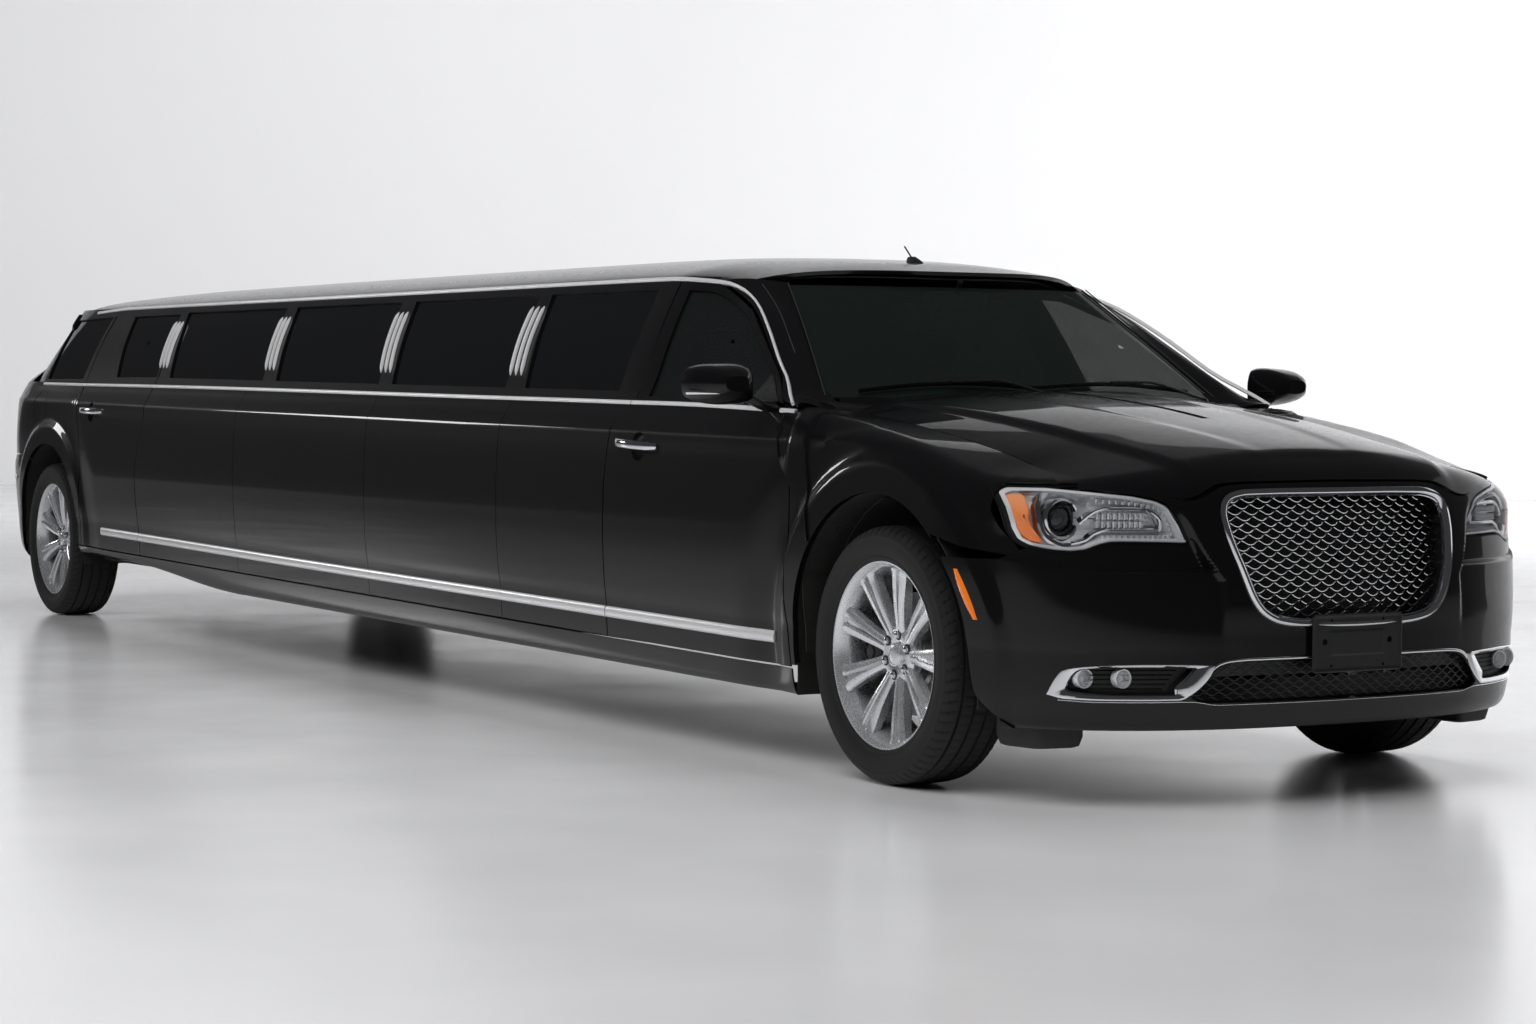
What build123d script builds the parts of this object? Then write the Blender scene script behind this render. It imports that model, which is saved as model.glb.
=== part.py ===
from build123d import *
import os

# Stretch limousine: a four-door body with a long lounge section, built as separate panels.
# Millimetres. X points forward, Y to the car's left, Z up. The origin is on the ground
# under the middle of the whole car's box.

os.makedirs("parts", exist_ok=True)

# ---------------------------------------------------------------- driving dimensions
WHEELBASE = 7310
FRONT_REACH = 918        # front axle to the face of the number plate bracket
REAR_REACH = 1100        # rear axle to the tail of the rear bumper
HALF_WIDTH = 951         # body side at its widest
GAP = 6                  # shut gap round doors, bonnet and boot lid
SEAM = 3                 # seam between fixed panels

TYRE_R = 360
TYRE_WIDTH = 230
RIM_R = 262
WHEEL_MID = 815          # |y| of the tyre's middle
HUB_Z = TYRE_R           # the car stands on its tyres
KINGPIN_Y = 735
ARCH_R = 437
ARCH_Z = HUB_Z + 15     # height of the wheel arches' centres
SPINDLE_R = 30
PIN_FIT = 0.1            # clearance of a pin in its hole

SHELL = 62               # thickness of the lower body side and of a door
PILLAR = 48              # thickness of pillars and window frames
ROOF_SKIN = 34
GLASS_IN = 9             # outer face of the side glass behind the frame's face
GLASS_T = 5
FLOOR_Z = 285
FLOOR_T = 25
TUNNEL_HALF = 135
TUNNEL_Z = 430
REAR_FLOOR_Z = 500
REAR_FLOOR_HALF = 590
RAIL_Z = 1452            # seam between the body sides and the roof panel

FRONT_AXLE = (WHEELBASE + FRONT_REACH + REAR_REACH) / 2 - FRONT_REACH
REAR_AXLE = FRONT_AXLE - WHEELBASE
FAR = 1400               # half-width of cutting tools, clear of the whole body
TOP = 1700               # their height
SIDES = ((1, "left"), (-1, "right"))
AXLES = (("front", FRONT_AXLE), ("rear", REAR_AXLE))


def front(x):
    """Place along the car of a point x ahead of the front axle."""
    return FRONT_AXLE + x


def rear(x):
    """Place along the car of a point x ahead of the rear axle."""
    return REAR_AXLE + x


# ---------------------------------------------------------------- drawing helpers
def outline(steps, place):
    """Closed face through steps. A step is a point (a, b), or an arc (via a, via b, a, b)."""
    start = place(*steps[0])
    last, edges = start, []
    for step in steps[1:]:
        end = place(*step[-2:])
        if len(step) == 2:
            edges.append(Line(last, end))
        else:
            edges.append(ThreePointArc(last, place(*step[:2]), end))
        last = end
    if last != start:
        edges.append(Line(last, start))
    return Face(Wire(edges))


def across(steps, y0, y1):
    """Solid whose outline is given in x and z, running from y0 to y1."""
    face = outline(steps, lambda x, z: (x, y0, z))
    return extrude(face, amount=y1 - y0, dir=(0, 1, 0))


def along(steps, x0, x1):
    """Solid whose outline is given in y and z, running from x0 to x1."""
    face = outline(steps, lambda y, z: (x0, y, z))
    return extrude(face, amount=x1 - x0, dir=(1, 0, 0))


def upright(steps, z0, z1):
    """Solid whose outline is given in x and y, running from z0 to z1."""
    face = outline(steps, lambda x, y: (x, y, z0))
    return extrude(face, amount=z1 - z0, dir=(0, 0, 1))


def block(x0, x1, y0, y1, z0, z1):
    """Box between two corners."""
    box = Box(abs(x1 - x0), abs(y1 - y0), abs(z1 - z0))
    return Pos((x0 + x1) / 2, (y0 + y1) / 2, (z0 + z1) / 2) * box


def rod_y(r, x, z, y0, y1):
    """Cylinder along y."""
    return Pos(x, (y0 + y1) / 2, z) * Rot(90, 0, 0) * Cylinder(r, abs(y1 - y0))


def rod_x(r, y, z, x0, x1):
    """Cylinder along x."""
    return Pos((x0 + x1) / 2, y, z) * Rot(0, 90, 0) * Cylinder(r, abs(x1 - x0))


def rod_z(r, x, y, z0, z1):
    """Cylinder along z."""
    return Pos(x, y, (z0 + z1) / 2) * Cylinder(r, abs(z1 - z0))


def mirrored(part):
    """The same solid on the other side of the car."""
    return mirror(part, about=Plane.XZ)


def save(node, *parts):
    """Write one node's solids to its own STEP file."""
    solids = [s for part in parts for s in part.solids()]
    export_step(Compound(solids), f"parts/{node}.step")


# ---------------------------------------------------------------- body shape
# Half the plan of the lower body, nose to tail: x, y pairs and arcs (via, end).
NOSE_PLAN = ((904, 0), (878, 300, 800, 560), (660, 795, 400, HALF_WIDTH))
TAIL_PLAN = ((-200, HALF_WIDTH), (-640, 872, -860, 780), (-1055, 560, -1100, 0))

# Lower body cross-section: y, z at the cowl, z over the rear axle.
SIDE_SECTION = (
    (900, 216, 250),
    (926, 236, 270),
    (942, 330, 360),
    (951, 500, 520),
    (951, 700, 720),
    (944, 850, 880),
    (928, 975, 1015),
    (906, 1020, 1065),
    (885, 1040, 1098),
)

# Bonnet and front wings: x ahead of the front axle, z on the centreline,
# z at the bonnet's edge and z at the wing's shoulder.
BONNET_TOP = (
    (960, 840, 760, 715),
    (800, 893, 812, 762),
    (600, 950, 848, 800),
    (430, 985, 890, 850),
    (60, 1040, 978, 955),
    (-250, 1068, 1014, 1012),
    (-640, 1092, 1046, 1052),
)
BONNET_EDGE = 700        # |y| of the seam between bonnet and wing
WING_SHOULDER = 880

COWL_X = -555            # the bonnet's rear edge on the centreline
BELT_Z = (1040, 1098)    # waist height at the cowl and over the rear axle
DECK_Z = 1112
GREENHOUSE_Z = (1000, 1455)
WAIST_HALF = 919         # half-width of the greenhouse at its lower outline
RAIL_HALF = 663          # and at its upper one
# Ends of the greenhouse: x on the centreline and at its corner, lower and upper outline.
SCREEN_X = ((-380, -470), (-1010, -1270))
BACKLIGHT_X = ((-830, -670), (-500, -420))
ROOF_Z = 1535


def plan_face(z, inset=0):
    """Plan of the lower body at height z, drawn in by inset."""
    half = [(front(x), y) for x, y in NOSE_PLAN[:1]]
    half += [(front(a), b, front(x), y) for a, b, x, y in NOSE_PLAN[1:]]
    half += [(rear(x), y) for x, y in TAIL_PLAN[:1]]
    half += [(rear(a), b, rear(x), y) for a, b, x, y in TAIL_PLAN[1:]]
    ends = [step[-2:] for step in half]
    vias = [step[:2] if len(step) == 4 else None for step in half]
    back = []
    for i in range(len(half) - 1, 0, -1):
        x, y = ends[i - 1]
        via = vias[i]
        back.append((x, -y) if via is None else (via[0], -via[1], x, -y))
    face = outline(half + back, lambda x, y: (x, y, z))
    return offset(face, amount=-inset) if inset else face


def side_loft():
    """Solid with the lower body's cross-section, cowl height in front, rear height behind."""
    sections = []
    for x, column in ((front(1000), 1), (front(-440), 1), (rear(0), 2), (rear(-1200), 2)):
        half = [(row[0], row[column]) for row in SIDE_SECTION]
        top = half[-1][1] + 120
        points = half + [(half[-1][0] - 60, top)]
        ring = points + [(-y, z) for y, z in reversed(points)]
        sections.append(outline(ring, lambda y, z, x=x: (x, y, z)))
    return loft(sections, ruled=True)


def bonnet_block(drop=0):
    """Everything below the bonnet and wing tops, lowered by drop."""
    sections = []
    for x, z_mid, z_edge, z_wing in BONNET_TOP:
        steps = [
            (-FAR, 100),
            (-FAR, z_wing - drop),
            (-WING_SHOULDER, z_wing - drop),
            (-BONNET_EDGE, z_edge - drop),
            (0, z_mid - drop, BONNET_EDGE, z_edge - drop),
            (WING_SHOULDER, z_wing - drop),
            (FAR, z_wing - drop),
            (FAR, 100),
        ]
        sections.append(outline(steps, lambda y, z, x=x: (front(x), y, z)))
    return loft(sections, ruled=True)


def profile_block():
    """Side view of the lower body, its top open in front of the cowl for the bonnet."""
    steps = (
        (front(795), 1200),
        (front(812), 850),
        (front(862), 500),
        (front(905), 470),
        (front(905), 300),
        (front(870), 205),
        (front(500), 215),
        (front(-440), 216),
        (rear(440), 250),
        (rear(-440), 300),
        (rear(-1060), 330),
        (rear(-1105), 480),
        (rear(-1100), 690),
        (rear(-1045), 745),
        (rear(-1055), 1040),
        (rear(-1020), DECK_Z + 4),
        (rear(-700), DECK_Z),
        (rear(0), BELT_Z[1]),
        (front(-600), BELT_Z[0] + 8),
        (front(-600), 1200),
    )
    return across(steps, -FAR, FAR)


def greenhouse(inset=0, ends=None):
    """The glasshouse from the waist to the roof rail, drawn in by inset, its ends by ends."""
    faces = []
    ends = inset if ends is None else ends
    halves = (WAIST_HALF, RAIL_HALF)
    for z, half, screen, back in zip(GREENHOUSE_Z, halves, SCREEN_X, BACKLIGHT_X):
        y = half - inset
        steps = (
            (front(screen[1]) - ends, -y),
            (front(screen[0]) - ends, 0, front(screen[1]) - ends, y),
            (rear(back[1]) + ends, y),
            (rear(back[0]) + ends, 0, rear(back[1]) + ends, -y),
        )
        faces.append(outline(steps, lambda x, y, z=z: (x, y, z)))
    return loft(faces, ruled=True)


def roof_crown(drop=0, inset=0):
    """The crowned top above the roof rail, lowered by drop and drawn in by inset."""
    low, y = RAIL_Z, RAIL_HALF + 2 - inset
    (_, _), (screen_mid, screen_side) = SCREEN_X
    (_, _), (back_mid, back_side) = BACKLIGHT_X
    plan = (
        (front(screen_side) - inset, -y),
        (front(screen_mid) - inset, 0, front(screen_side) - inset, y),
        (rear(back_side) + inset, y),
        (rear(back_mid) + inset, 0, rear(back_side) + inset, -y),
    )
    body = upright(plan, low - inset, ROOF_Z + 60)
    edge = RAIL_HALF + 60
    side_z = low - 3 - drop
    bow = ((-edge, low - 200), (-edge, side_z), (0, ROOF_Z - drop, edge, side_z), (edge, low - 200))
    spine = (
        (front(-800), low - 300),
        (front(-1000), 1468 - drop),
        (front(-1450), 1522 - drop, front(-2100), ROOF_Z + 4 - drop),
        (rear(600), ROOF_Z + 4 - drop),
        (rear(-150), 1520 - drop, rear(-520), 1478 - drop),
        (rear(-700), low - 300),
    )
    return body & along(bow, rear(-1300), front(0)) & across(spine, -FAR, FAR)


side_block = side_loft()
plan_block = extrude(plan_face(100), amount=1200, dir=(0, 0, 1))
inner_plan = extrude(plan_face(100, SHELL), amount=1200, dir=(0, 0, 1))
profile = profile_block()
lower = side_block & plan_block & profile
nose_top = bonnet_block()
nose_box = block(front(-600), front(1000), -FAR, FAR, 0, TOP)
behind_box = block(rear(-1300), front(-600), -FAR, FAR, 0, TOP)
nose = lower & nose_box & nose_top
tail = lower & behind_box
inner_half = HALF_WIDTH - SHELL
waist_in = 850           # the body side's inner face just under the waist
hollow = inner_plan & (
    block(rear(-1300), front(1000), -inner_half, inner_half, 0, 900)
    + block(rear(-1300), front(1000), -waist_in, waist_in, 0, TOP)
)
nose_hollow = hollow & bonnet_block(drop=34)

cabin_out = greenhouse()
cabin_in = greenhouse(PILLAR)
flank = cabin_out - greenhouse(PILLAR, ends=-200)
glass_layer = greenhouse(GLASS_IN) - greenhouse(GLASS_IN + GLASS_T)


# ---------------------------------------------------------------- doors and windows
SKEW = 0.30              # the doors' edge faces lean forward as they go in
DOOR_IN = 400            # |y| where door and window cutters stop
FRONT_DOOR = (           # x ahead of the front axle, z; clockwise from the sill
    (-455, 300), (-478, 486), (-460, 948), (-417, 1023), (-600, 1056), (-735, 1128),
    (-897, 1226), (-1090, 1335), (-1275, 1397), (-1365, 1424), (-1590, 1424),
    (-1510, 1050), (-1596, 800), (-1572, 300),
)
REAR_DOOR = (            # x ahead of the rear axle, z
    (1280, 330), (1250, 718), (1340, 939), (1325, 1078), (1160, 1426), (265, 1426),
    (395, 1090), (463, 837), (480, 330),
)
FRONT_GLASS = (
    (-655, 1068), (-757, 1122), (-913, 1212), (-1103, 1318), (-1285, 1380), (-1372, 1404),
    (-1512, 1404), (-1432, 1068),
)
REAR_GLASS = ((1310, 1104), (1142, 1408), (528, 1408), (790, 1104))
QUARTER_GLASS = ((310, 1112), (222, 1412), (-320, 1400), (-205, 1112))
# Lounge windows: front edge and rear edge, each at the waist and at the rail, as the
# share of the way from the front door's pillar to the rear door's pillar.
LOUNGE = ((-1620, 1370), (-1660, 1200))
LOUNGE_WINDOWS = (
    (0.008, 0.166, 0.013, 0.186),
    (0.202, 0.425, 0.207, 0.443),
    (0.453, 0.691, 0.472, 0.708),
    (0.724, 0.978, 0.732, 0.996),
)
LOUNGE_GLASS_Z = (1075, 1100, 1412)


def waist_y(z):
    """|y| of the body's outer face at height z."""
    low, high = GREENHOUSE_Z
    if z > low + 40:
        return WAIST_HALF + (RAIL_HALF - WAIST_HALF) * (z - low) / (high - low)
    rows = [(row[1], row[0]) for row in SIDE_SECTION]
    for (z0, y0), (z1, y1) in zip(rows, rows[1:]):
        if z <= z1:
            return y0 + (y1 - y0) * max(0, z - z0) / (z1 - z0)
    return rows[-1][1]


def side_prism(points, side, grow=0, skew=SKEW, inner=DOOR_IN):
    """Cutter through one side of the car, its outline lying on the body's outer face."""
    reach = HALF_WIDTH + 60
    slid = [(x + skew * (waist_y(z) - reach), z) for x, z in points]
    face = outline(slid, lambda x, z: (x, reach, z))
    if grow:
        face = offset(face, amount=grow, kind=Kind.INTERSECTION)
    depth = reach - inner
    tool = extrude(face, amount=depth * (1 + skew * skew) ** 0.5, dir=(skew, -1, 0))
    return tool if side > 0 else mirrored(tool)


def between(a, b, share):
    """Point part of the way from a to b."""
    return a + share * (b - a)


def lounge_windows():
    """Outlines of the windows between the doors."""
    waist, rail = LOUNGE
    rows = []
    for waist_0, waist_1, rail_0, rail_1 in LOUNGE_WINDOWS:
        low = [between(front(waist[0]), rear(waist[1]), share) for share in (waist_0, waist_1)]
        top = [between(front(rail[0]), rear(rail[1]), share) for share in (rail_0, rail_1)]
        z = [between(*LOUNGE_GLASS_Z[:2], share) for share in (waist_0, waist_1)]
        z_top = LOUNGE_GLASS_Z[2]
        rows.append(((low[0], z[0]), (top[0], z_top), (top[1], z_top), (low[1], z[1])))
    return rows


door_front_line = [(front(x), z) for x, z in FRONT_DOOR]
door_rear_line = [(rear(x), z) for x, z in REAR_DOOR]
glass_front_line = [(front(x), z) for x, z in FRONT_GLASS]
glass_rear_line = [(rear(x), z) for x, z in REAR_GLASS]
quarter_line = [(rear(x), z) for x, z in QUARTER_GLASS]
fixed_lines = lounge_windows() + [quarter_line]

arches = [
    rod_y(ARCH_R, x, ARCH_Z, y0, y1)
    for x in (FRONT_AXLE, REAR_AXLE)
    for y0, y1 in ((480, FAR), (-FAR, -480))
]
top_box = block(rear(-1300), front(0), -FAR, FAR, GREENHOUSE_Z[0], RAIL_Z - SEAM)
wall_low = tail - hollow - block(rear(-1300), front(-600), -700, 700, 0, TOP)
wall_low = wall_low - cabin_in
wall_high = (cabin_out - cabin_in) & top_box

# body sides: pillars, sills and the wall between the doors
REAR_END = rear(-1300)   # behind the whole body
FRONT_END = front(1000)  # ahead of it
COWL_Y = 700             # |y| where the cowl panel meets the body side
HINGE_POST = (-560, -462)
SILL_BOX = (842, 905, 224, 292)
SCREEN = ((724, 1078), (582, 1420))      # windscreen's |y| and z, lower and upper corner
BACK = ((750, 1122), (590, 1416))        # rear window's
SCREEN_REACH = (front(-1400), front(-200))
BACK_REACH = (REAR_END, rear(-300))
nose_wall = nose - nose_hollow
low_wall = wall_low + nose_wall


def screen_steps(corners, grow=0):
    """Outline in y and z of a screen with a bowed lower edge."""
    (y0, z0), (y1, z1) = corners
    y0, y1, z1, z0 = y0 + grow, y1 + grow, z1 + grow, z0 - grow
    return ((-y0, z0), (0, z0 + 14, y0, z0), (y1, z1), (0, z1 + 10, -y1, z1))


def door_line_front(reach, gap=GAP):
    """Outline of everything ahead of the front door's front edge, less the gap."""
    edge = [(x + gap, z) for x, z in door_front_line[:4]]
    foot, head = edge[0], edge[-1]
    low, high = foot[1] - 300, head[1] + 100
    return [(reach, low), (foot[0], low)] + edge + [(head[0] - 20, high), (reach, high)]


screen_hole = along(screen_steps(SCREEN, SEAM), *SCREEN_REACH)
back_hole = along(screen_steps(BACK, SEAM), *BACK_REACH)


BONNET_LIP = 830         # lower edge of the bonnet's nose
BONNET_PLAN = (
    (front(-500), -BONNET_EDGE + GAP),
    (front(COWL_X + 30), 0, front(-500), BONNET_EDGE - GAP),
    (FRONT_END, BONNET_EDGE - GAP - 40),
    (FRONT_END, -BONNET_EDGE + GAP + 40),
)
bonnet_tool = upright(BONNET_PLAN, BONNET_LIP, TOP)
bonnet_hole = offset(outline(BONNET_PLAN, lambda x, y: (x, y, BONNET_LIP - GAP)), amount=GAP)
bonnet_hole = extrude(bonnet_hole, amount=TOP, dir=(0, 0, 1))
TAIL_BUMPER_TOP = 750
QUARTER_FRONT = -560     # front edge of the quarter panels, x ahead of the rear axle
BUMPER_FRONT = -440      # and of the rear bumper

for side, name in SIDES:
    ahead = across(door_line_front(FRONT_END, GAP - SEAM), side * 880, side * FAR)
    low_zone = block(rear(QUARTER_FRONT), front(-600), side * 520, side * FAR, 0, TOP) + block(
        front(-600), front(-380), side * 840, side * FAR, 0, 900)
    low_zone = low_zone - block(REAR_END, rear(BUMPER_FRONT), -FAR, FAR, 0, TAIL_BUMPER_TOP)
    post_ends = [front(x) for x in HINGE_POST]
    post = block(*post_ends, side * 800, side * (inner_half - 9), SILL_BOX[2], 880)
    post = post + block(*post_ends, side * 785, side * 832, 860, GREENHOUSE_Z[0])
    sill = block(rear(452), front(-452), side * SILL_BOX[0], side * SILL_BOX[1], *SILL_BOX[2:])
    half = block(REAR_END, FRONT_END, side * 520, side * FAR, 0, TOP)
    shell = (low_wall & low_zone) - ahead + sill + (wall_high & half) - bonnet_hole
    for line in (door_front_line, door_rear_line):
        shell = shell - side_prism(line, side, grow=GAP)
    for line in fixed_lines:
        shell = shell - side_prism(line, side, skew=0)
    for arch in arches:
        shell = shell - arch
    shell = shell - screen_hole - back_hole + post
    save(f"body_side_{name}", shell)

# bonnet, front bumper and front wings
BONNET_SKIN = 28
save("bonnet", (nose - bonnet_block(drop=BONNET_SKIN)) & bonnet_tool)

BUMPER_SEAM = ((378, 655), (395, 624), (463, 488), (500, 150), (1000, 150), (1000, 655))
BUMPER_TOP = 655
HEADLAMP = (
    (470, 696), (540, 816), (640, 828), (727, 836), (960, 834), (960, 745), (880, 690),
    (780, 674), (690, 699), (580, 692),
)
GRILLE = (
    (385, 815), (400, 780), (402, 690), (375, 590), (300, 510), (-300, 510), (-375, 590),
    (-402, 690), (-400, 780), (-385, 815),
)
INTAKE = ((500, 300), (440, 385), (-440, 385), (-500, 300), (-430, 268), (430, 268))
FOG = ((525, 300), (600, 385), (800, 378), (850, 345), (800, 300))
NOSE_DEPTH = 60
nose_core = nose.moved(Location((-NOSE_DEPTH, 0, 0)))
LAMP_BACK = 440          # x ahead of the front axle where the headlamp ends


def both(steps, x0, x1):
    """Cutters along x on both sides of the car."""
    tool = along(steps, x0, x1)
    return [tool, mirrored(tool)]


def without(part, tools):
    """The part less each tool in turn."""
    for tool in tools:
        part = part - tool
    return part


lamp_tools = both(HEADLAMP, front(LAMP_BACK), FRONT_END)
fog_tools = both(FOG, front(400), FRONT_END)
grille_tool = along(GRILLE, front(400), FRONT_END)
intake_tool = along(INTAKE, front(400), FRONT_END)
bumper_zone = across([(front(x), z) for x, z in BUMPER_SEAM], -FAR, FAR) + block(
    front(560), FRONT_END, -620, 620, BUMPER_TOP - 1, TOP)
bumper = without(nose_wall & bumper_zone, lamp_tools + fog_tools + arches)
bumper = bumper - grille_tool - intake_tool - bonnet_hole
save("front_bumper", bumper)

wing_seam = [(x - SEAM, z) for x, z in BUMPER_SEAM[:4]] + [(1000, 100), (1000, BUMPER_TOP + SEAM)]
wing_seam[0] = (wing_seam[0][0], BUMPER_TOP + SEAM)
not_bumper = across([(front(x), z) for x, z in wing_seam], -FAR, FAR) + block(
    front(560) - SEAM, FRONT_END, -620 - SEAM, 620 + SEAM, BUMPER_TOP, TOP)
for side, name in SIDES:
    ahead = across(door_line_front(FRONT_END), side * 888, side * FAR)
    cover = block(front(-600), FRONT_END, side * (COWL_Y + SEAM), side * 888, 700, TOP)
    wing = nose_wall & (ahead + cover)
    wing = without(wing, lamp_tools + arches) - bonnet_hole - not_bumper
    wing = wing - side_prism(door_front_line, side, grow=GAP) - greenhouse(-SEAM)
    save(f"front_wing_{name}", wing)

COWL_ENDS = (-640, -440)
COWL_LOW = 960
cowl_zone = block(*[front(x) for x in COWL_ENDS], 10 - COWL_Y, COWL_Y - 10, COWL_LOW, TOP)
cowl = (nose_wall + (tail - hollow - cabin_in)) & cowl_zone
cowl = cowl - bonnet_hole - (cabin_out - cabin_in) - screen_hole
save("cowl", cowl)

# front and rear screens
SCREEN_T = 14
screen_layer = cabin_out - greenhouse(SCREEN_T)
save("windscreen", screen_layer & along(screen_steps(SCREEN), *SCREEN_REACH))
save("rear_window", screen_layer & along(screen_steps(BACK), *BACK_REACH))

# side glass behind the fixed frames
fixed_glass = []
for side, name in SIDES:
    for line in fixed_lines:
        fixed_glass += (glass_layer & side_prism(line, side, skew=0)).solids()
save("side_glass", *fixed_glass)

# doors: skin, frame and outside handle
HANDLE = (255, 26, 34)   # length, height, stand-off of a door handle
HANDLE_BAR = 14
doors = (
    ("front", door_front_line, glass_front_line, front(-1376), 934),
    ("rear", door_rear_line, glass_rear_line, rear(637), 967),
)
for side, name in SIDES:
    outer_half = block(REAR_END, FRONT_END, side * 840, side * FAR, 0, TOP)
    for place, line, pane, handle_x, handle_z in doors:
        blank = side_prism(line, side)
        hole = side_prism(pane, side, skew=0)
        door = (low_wall & blank & outer_half) + (flank & blank & top_box) - hole
        length, height, stand = HANDLE
        y = waist_y(handle_z)
        ends = [handle_x - length / 2, handle_x + length / 2]
        z0, z1 = handle_z - height / 2, handle_z + height / 2
        door = door + block(*ends, side * (y + stand - HANDLE_BAR), side * (y + stand), z0, z1)
        for end in (ends[0] + 20, ends[1] - 20):
            door = door + block(end - 12, end + 12, side * (y - 25), side * (y + stand), z0, z1)
        save(f"door_{place}_{name}", door)
        save(f"door_glass_{place}_{name}", glass_layer & hole & blank)

# roof
roof = roof_crown() - roof_crown(drop=ROOF_SKIN, inset=70)
save("roof_panel", roof)

# rear: boot lid, quarter panels, bumper and lamps
LID_FRONT = -860         # the boot lid's hinge line, x ahead of the rear axle
LID_HALF = 640
LID_FLOOR = 760
LID_SKIN = 30
TAIL_WALL = 45
deck_core = tail.moved(Location((TAIL_WALL, 0, -LID_SKIN)))
lid_zone = block(REAR_END, rear(LID_FRONT), -LID_HALF, LID_HALF, LID_FLOOR, TOP)
tail_half = inner_half - 20
tail_hollow = deck_core & block(REAR_END, rear(0), -tail_half, tail_half, 0, TOP) & inner_plan
tail_shell = tail - tail_hollow
lid = (tail - deck_core) & lid_zone
lid = lid - greenhouse(-GAP)
save("boot_lid", lid)
lid_side = LID_HALF + GAP
lid_hole = block(REAR_END, rear(LID_FRONT) + GAP, -lid_side, lid_side, LID_FLOOR - GAP, TOP)
LAMP_Z = (770, 1045)
LAMP_Y = 660
LAMP_FRONT = -800
LENS_FIT = 1             # gap between a lamp's lens and the panel round it
lamps = []
for side, name in SIDES:
    lamp_hole = block(REAR_END, rear(LAMP_FRONT), side * LAMP_Y, side * FAR, *LAMP_Z)
    zone = block(REAR_END, rear(QUARTER_FRONT) - SEAM, side * lid_side, side * FAR, TAIL_BUMPER_TOP, TOP)
    quarter = tail_shell & zone
    quarter = quarter - lid_hole - lamp_hole - greenhouse(-SEAM)
    save(f"quarter_{name}", quarter)
    lens = block(REAR_END, rear(LAMP_FRONT) - LENS_FIT, side * (LAMP_Y + LENS_FIT), side * FAR,
                 LAMP_Z[0] + LENS_FIT, LAMP_Z[1] - LENS_FIT)
    lamps += (tail_shell & lens).solids()
save("tail_lamps", *lamps)
tail_zone = block(REAR_END, rear(BUMPER_FRONT) - SEAM, -FAR, FAR, 0, TAIL_BUMPER_TOP - SEAM)
save("rear_bumper", without(tail_shell & tail_zone, arches))


# ---------------------------------------------------------------- floor and running gear
FIREWALL_X = -456
REAR_STEP = 540
FLOOR_HALF = 842
floor_section = (
    (-FLOOR_HALF, FLOOR_Z), (-FLOOR_HALF, FLOOR_Z + FLOOR_T),
    (-TUNNEL_HALF - 20, FLOOR_Z + FLOOR_T), (-TUNNEL_HALF, TUNNEL_Z),
    (TUNNEL_HALF, TUNNEL_Z), (TUNNEL_HALF + 20, FLOOR_Z + FLOOR_T),
    (FLOOR_HALF, FLOOR_Z + FLOOR_T), (FLOOR_HALF, FLOOR_Z),
    (TUNNEL_HALF, FLOOR_Z), (TUNNEL_HALF - 20, TUNNEL_Z - FLOOR_T),
    (20 - TUNNEL_HALF, TUNNEL_Z - FLOOR_T), (-TUNNEL_HALF, FLOOR_Z),
)
step_x = (rear(REAR_STEP), rear(REAR_STEP) + FLOOR_T)
REAR_FLOOR_TOP = REAR_FLOOR_Z + FLOOR_T
FIREWALL_TOP = 985
FIREWALL_HALF = 780
firewall_x = (front(FIREWALL_X - FLOOR_T), front(FIREWALL_X))
floor = along(floor_section, step_x[0], firewall_x[0])
floor = floor + block(*step_x, -REAR_FLOOR_HALF, REAR_FLOOR_HALF, TUNNEL_Z - FLOOR_T, REAR_FLOOR_TOP)
boot_x = (rear(-940), step_x[1])
floor = floor + block(*boot_x, -REAR_FLOOR_HALF, REAR_FLOOR_HALF, REAR_FLOOR_Z, REAR_FLOOR_TOP)
firewall = block(*firewall_x, -FIREWALL_HALF, FIREWALL_HALF, FLOOR_Z, FIREWALL_TOP)
way = TUNNEL_HALF - 20   # half-width of the way through for the gearbox
firewall = firewall - block(firewall_x[0] - 40, firewall_x[1] + 20, -way, way, 0, TUNNEL_Z - FLOOR_T)
floor = floor + firewall
for side in (1, -1):
    floor = floor + block(*step_x, side * (TUNNEL_HALF - 10), side * FLOOR_HALF, FLOOR_Z, REAR_FLOOR_TOP)
    post_room = (front(HINGE_POST[0] - 4), front(FIREWALL_X + 4))
    floor = floor - block(*post_room, side * 785, side * 900, 0, TOP)
save("floor_pan", floor)

ARM_T = 24               # suspension arms: thickness, and the height of each one's underside
ARM_LOW, ARM_HIGH = HUB_Z - 140, HUB_Z + 130
LINER_T = 7
LINER_OUT = 820
LINER_Y = {"front": 484, "rear": 600}
liners = []
for place, x in AXLES:
    y_in = LINER_Y[place]
    dome = rod_y(ARCH_R + LINER_T, x, ARCH_Z, y_in - LINER_T, LINER_OUT)
    dome = dome - rod_y(ARCH_R, x, ARCH_Z, y_in, LINER_OUT + 80)
    low = HUB_Z - 40 if place == "front" else HUB_Z + 60
    dome = dome & block(x - 600, x + 600, 0, FAR, low, 790)
    dome = dome - block(x - 220, x + 220, 0, y_in + 50, ARM_HIGH - 12, ARM_HIGH + ARM_T + 12)
    liners += [dome, mirrored(dome)]
save("wheel_housings", *liners)

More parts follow.
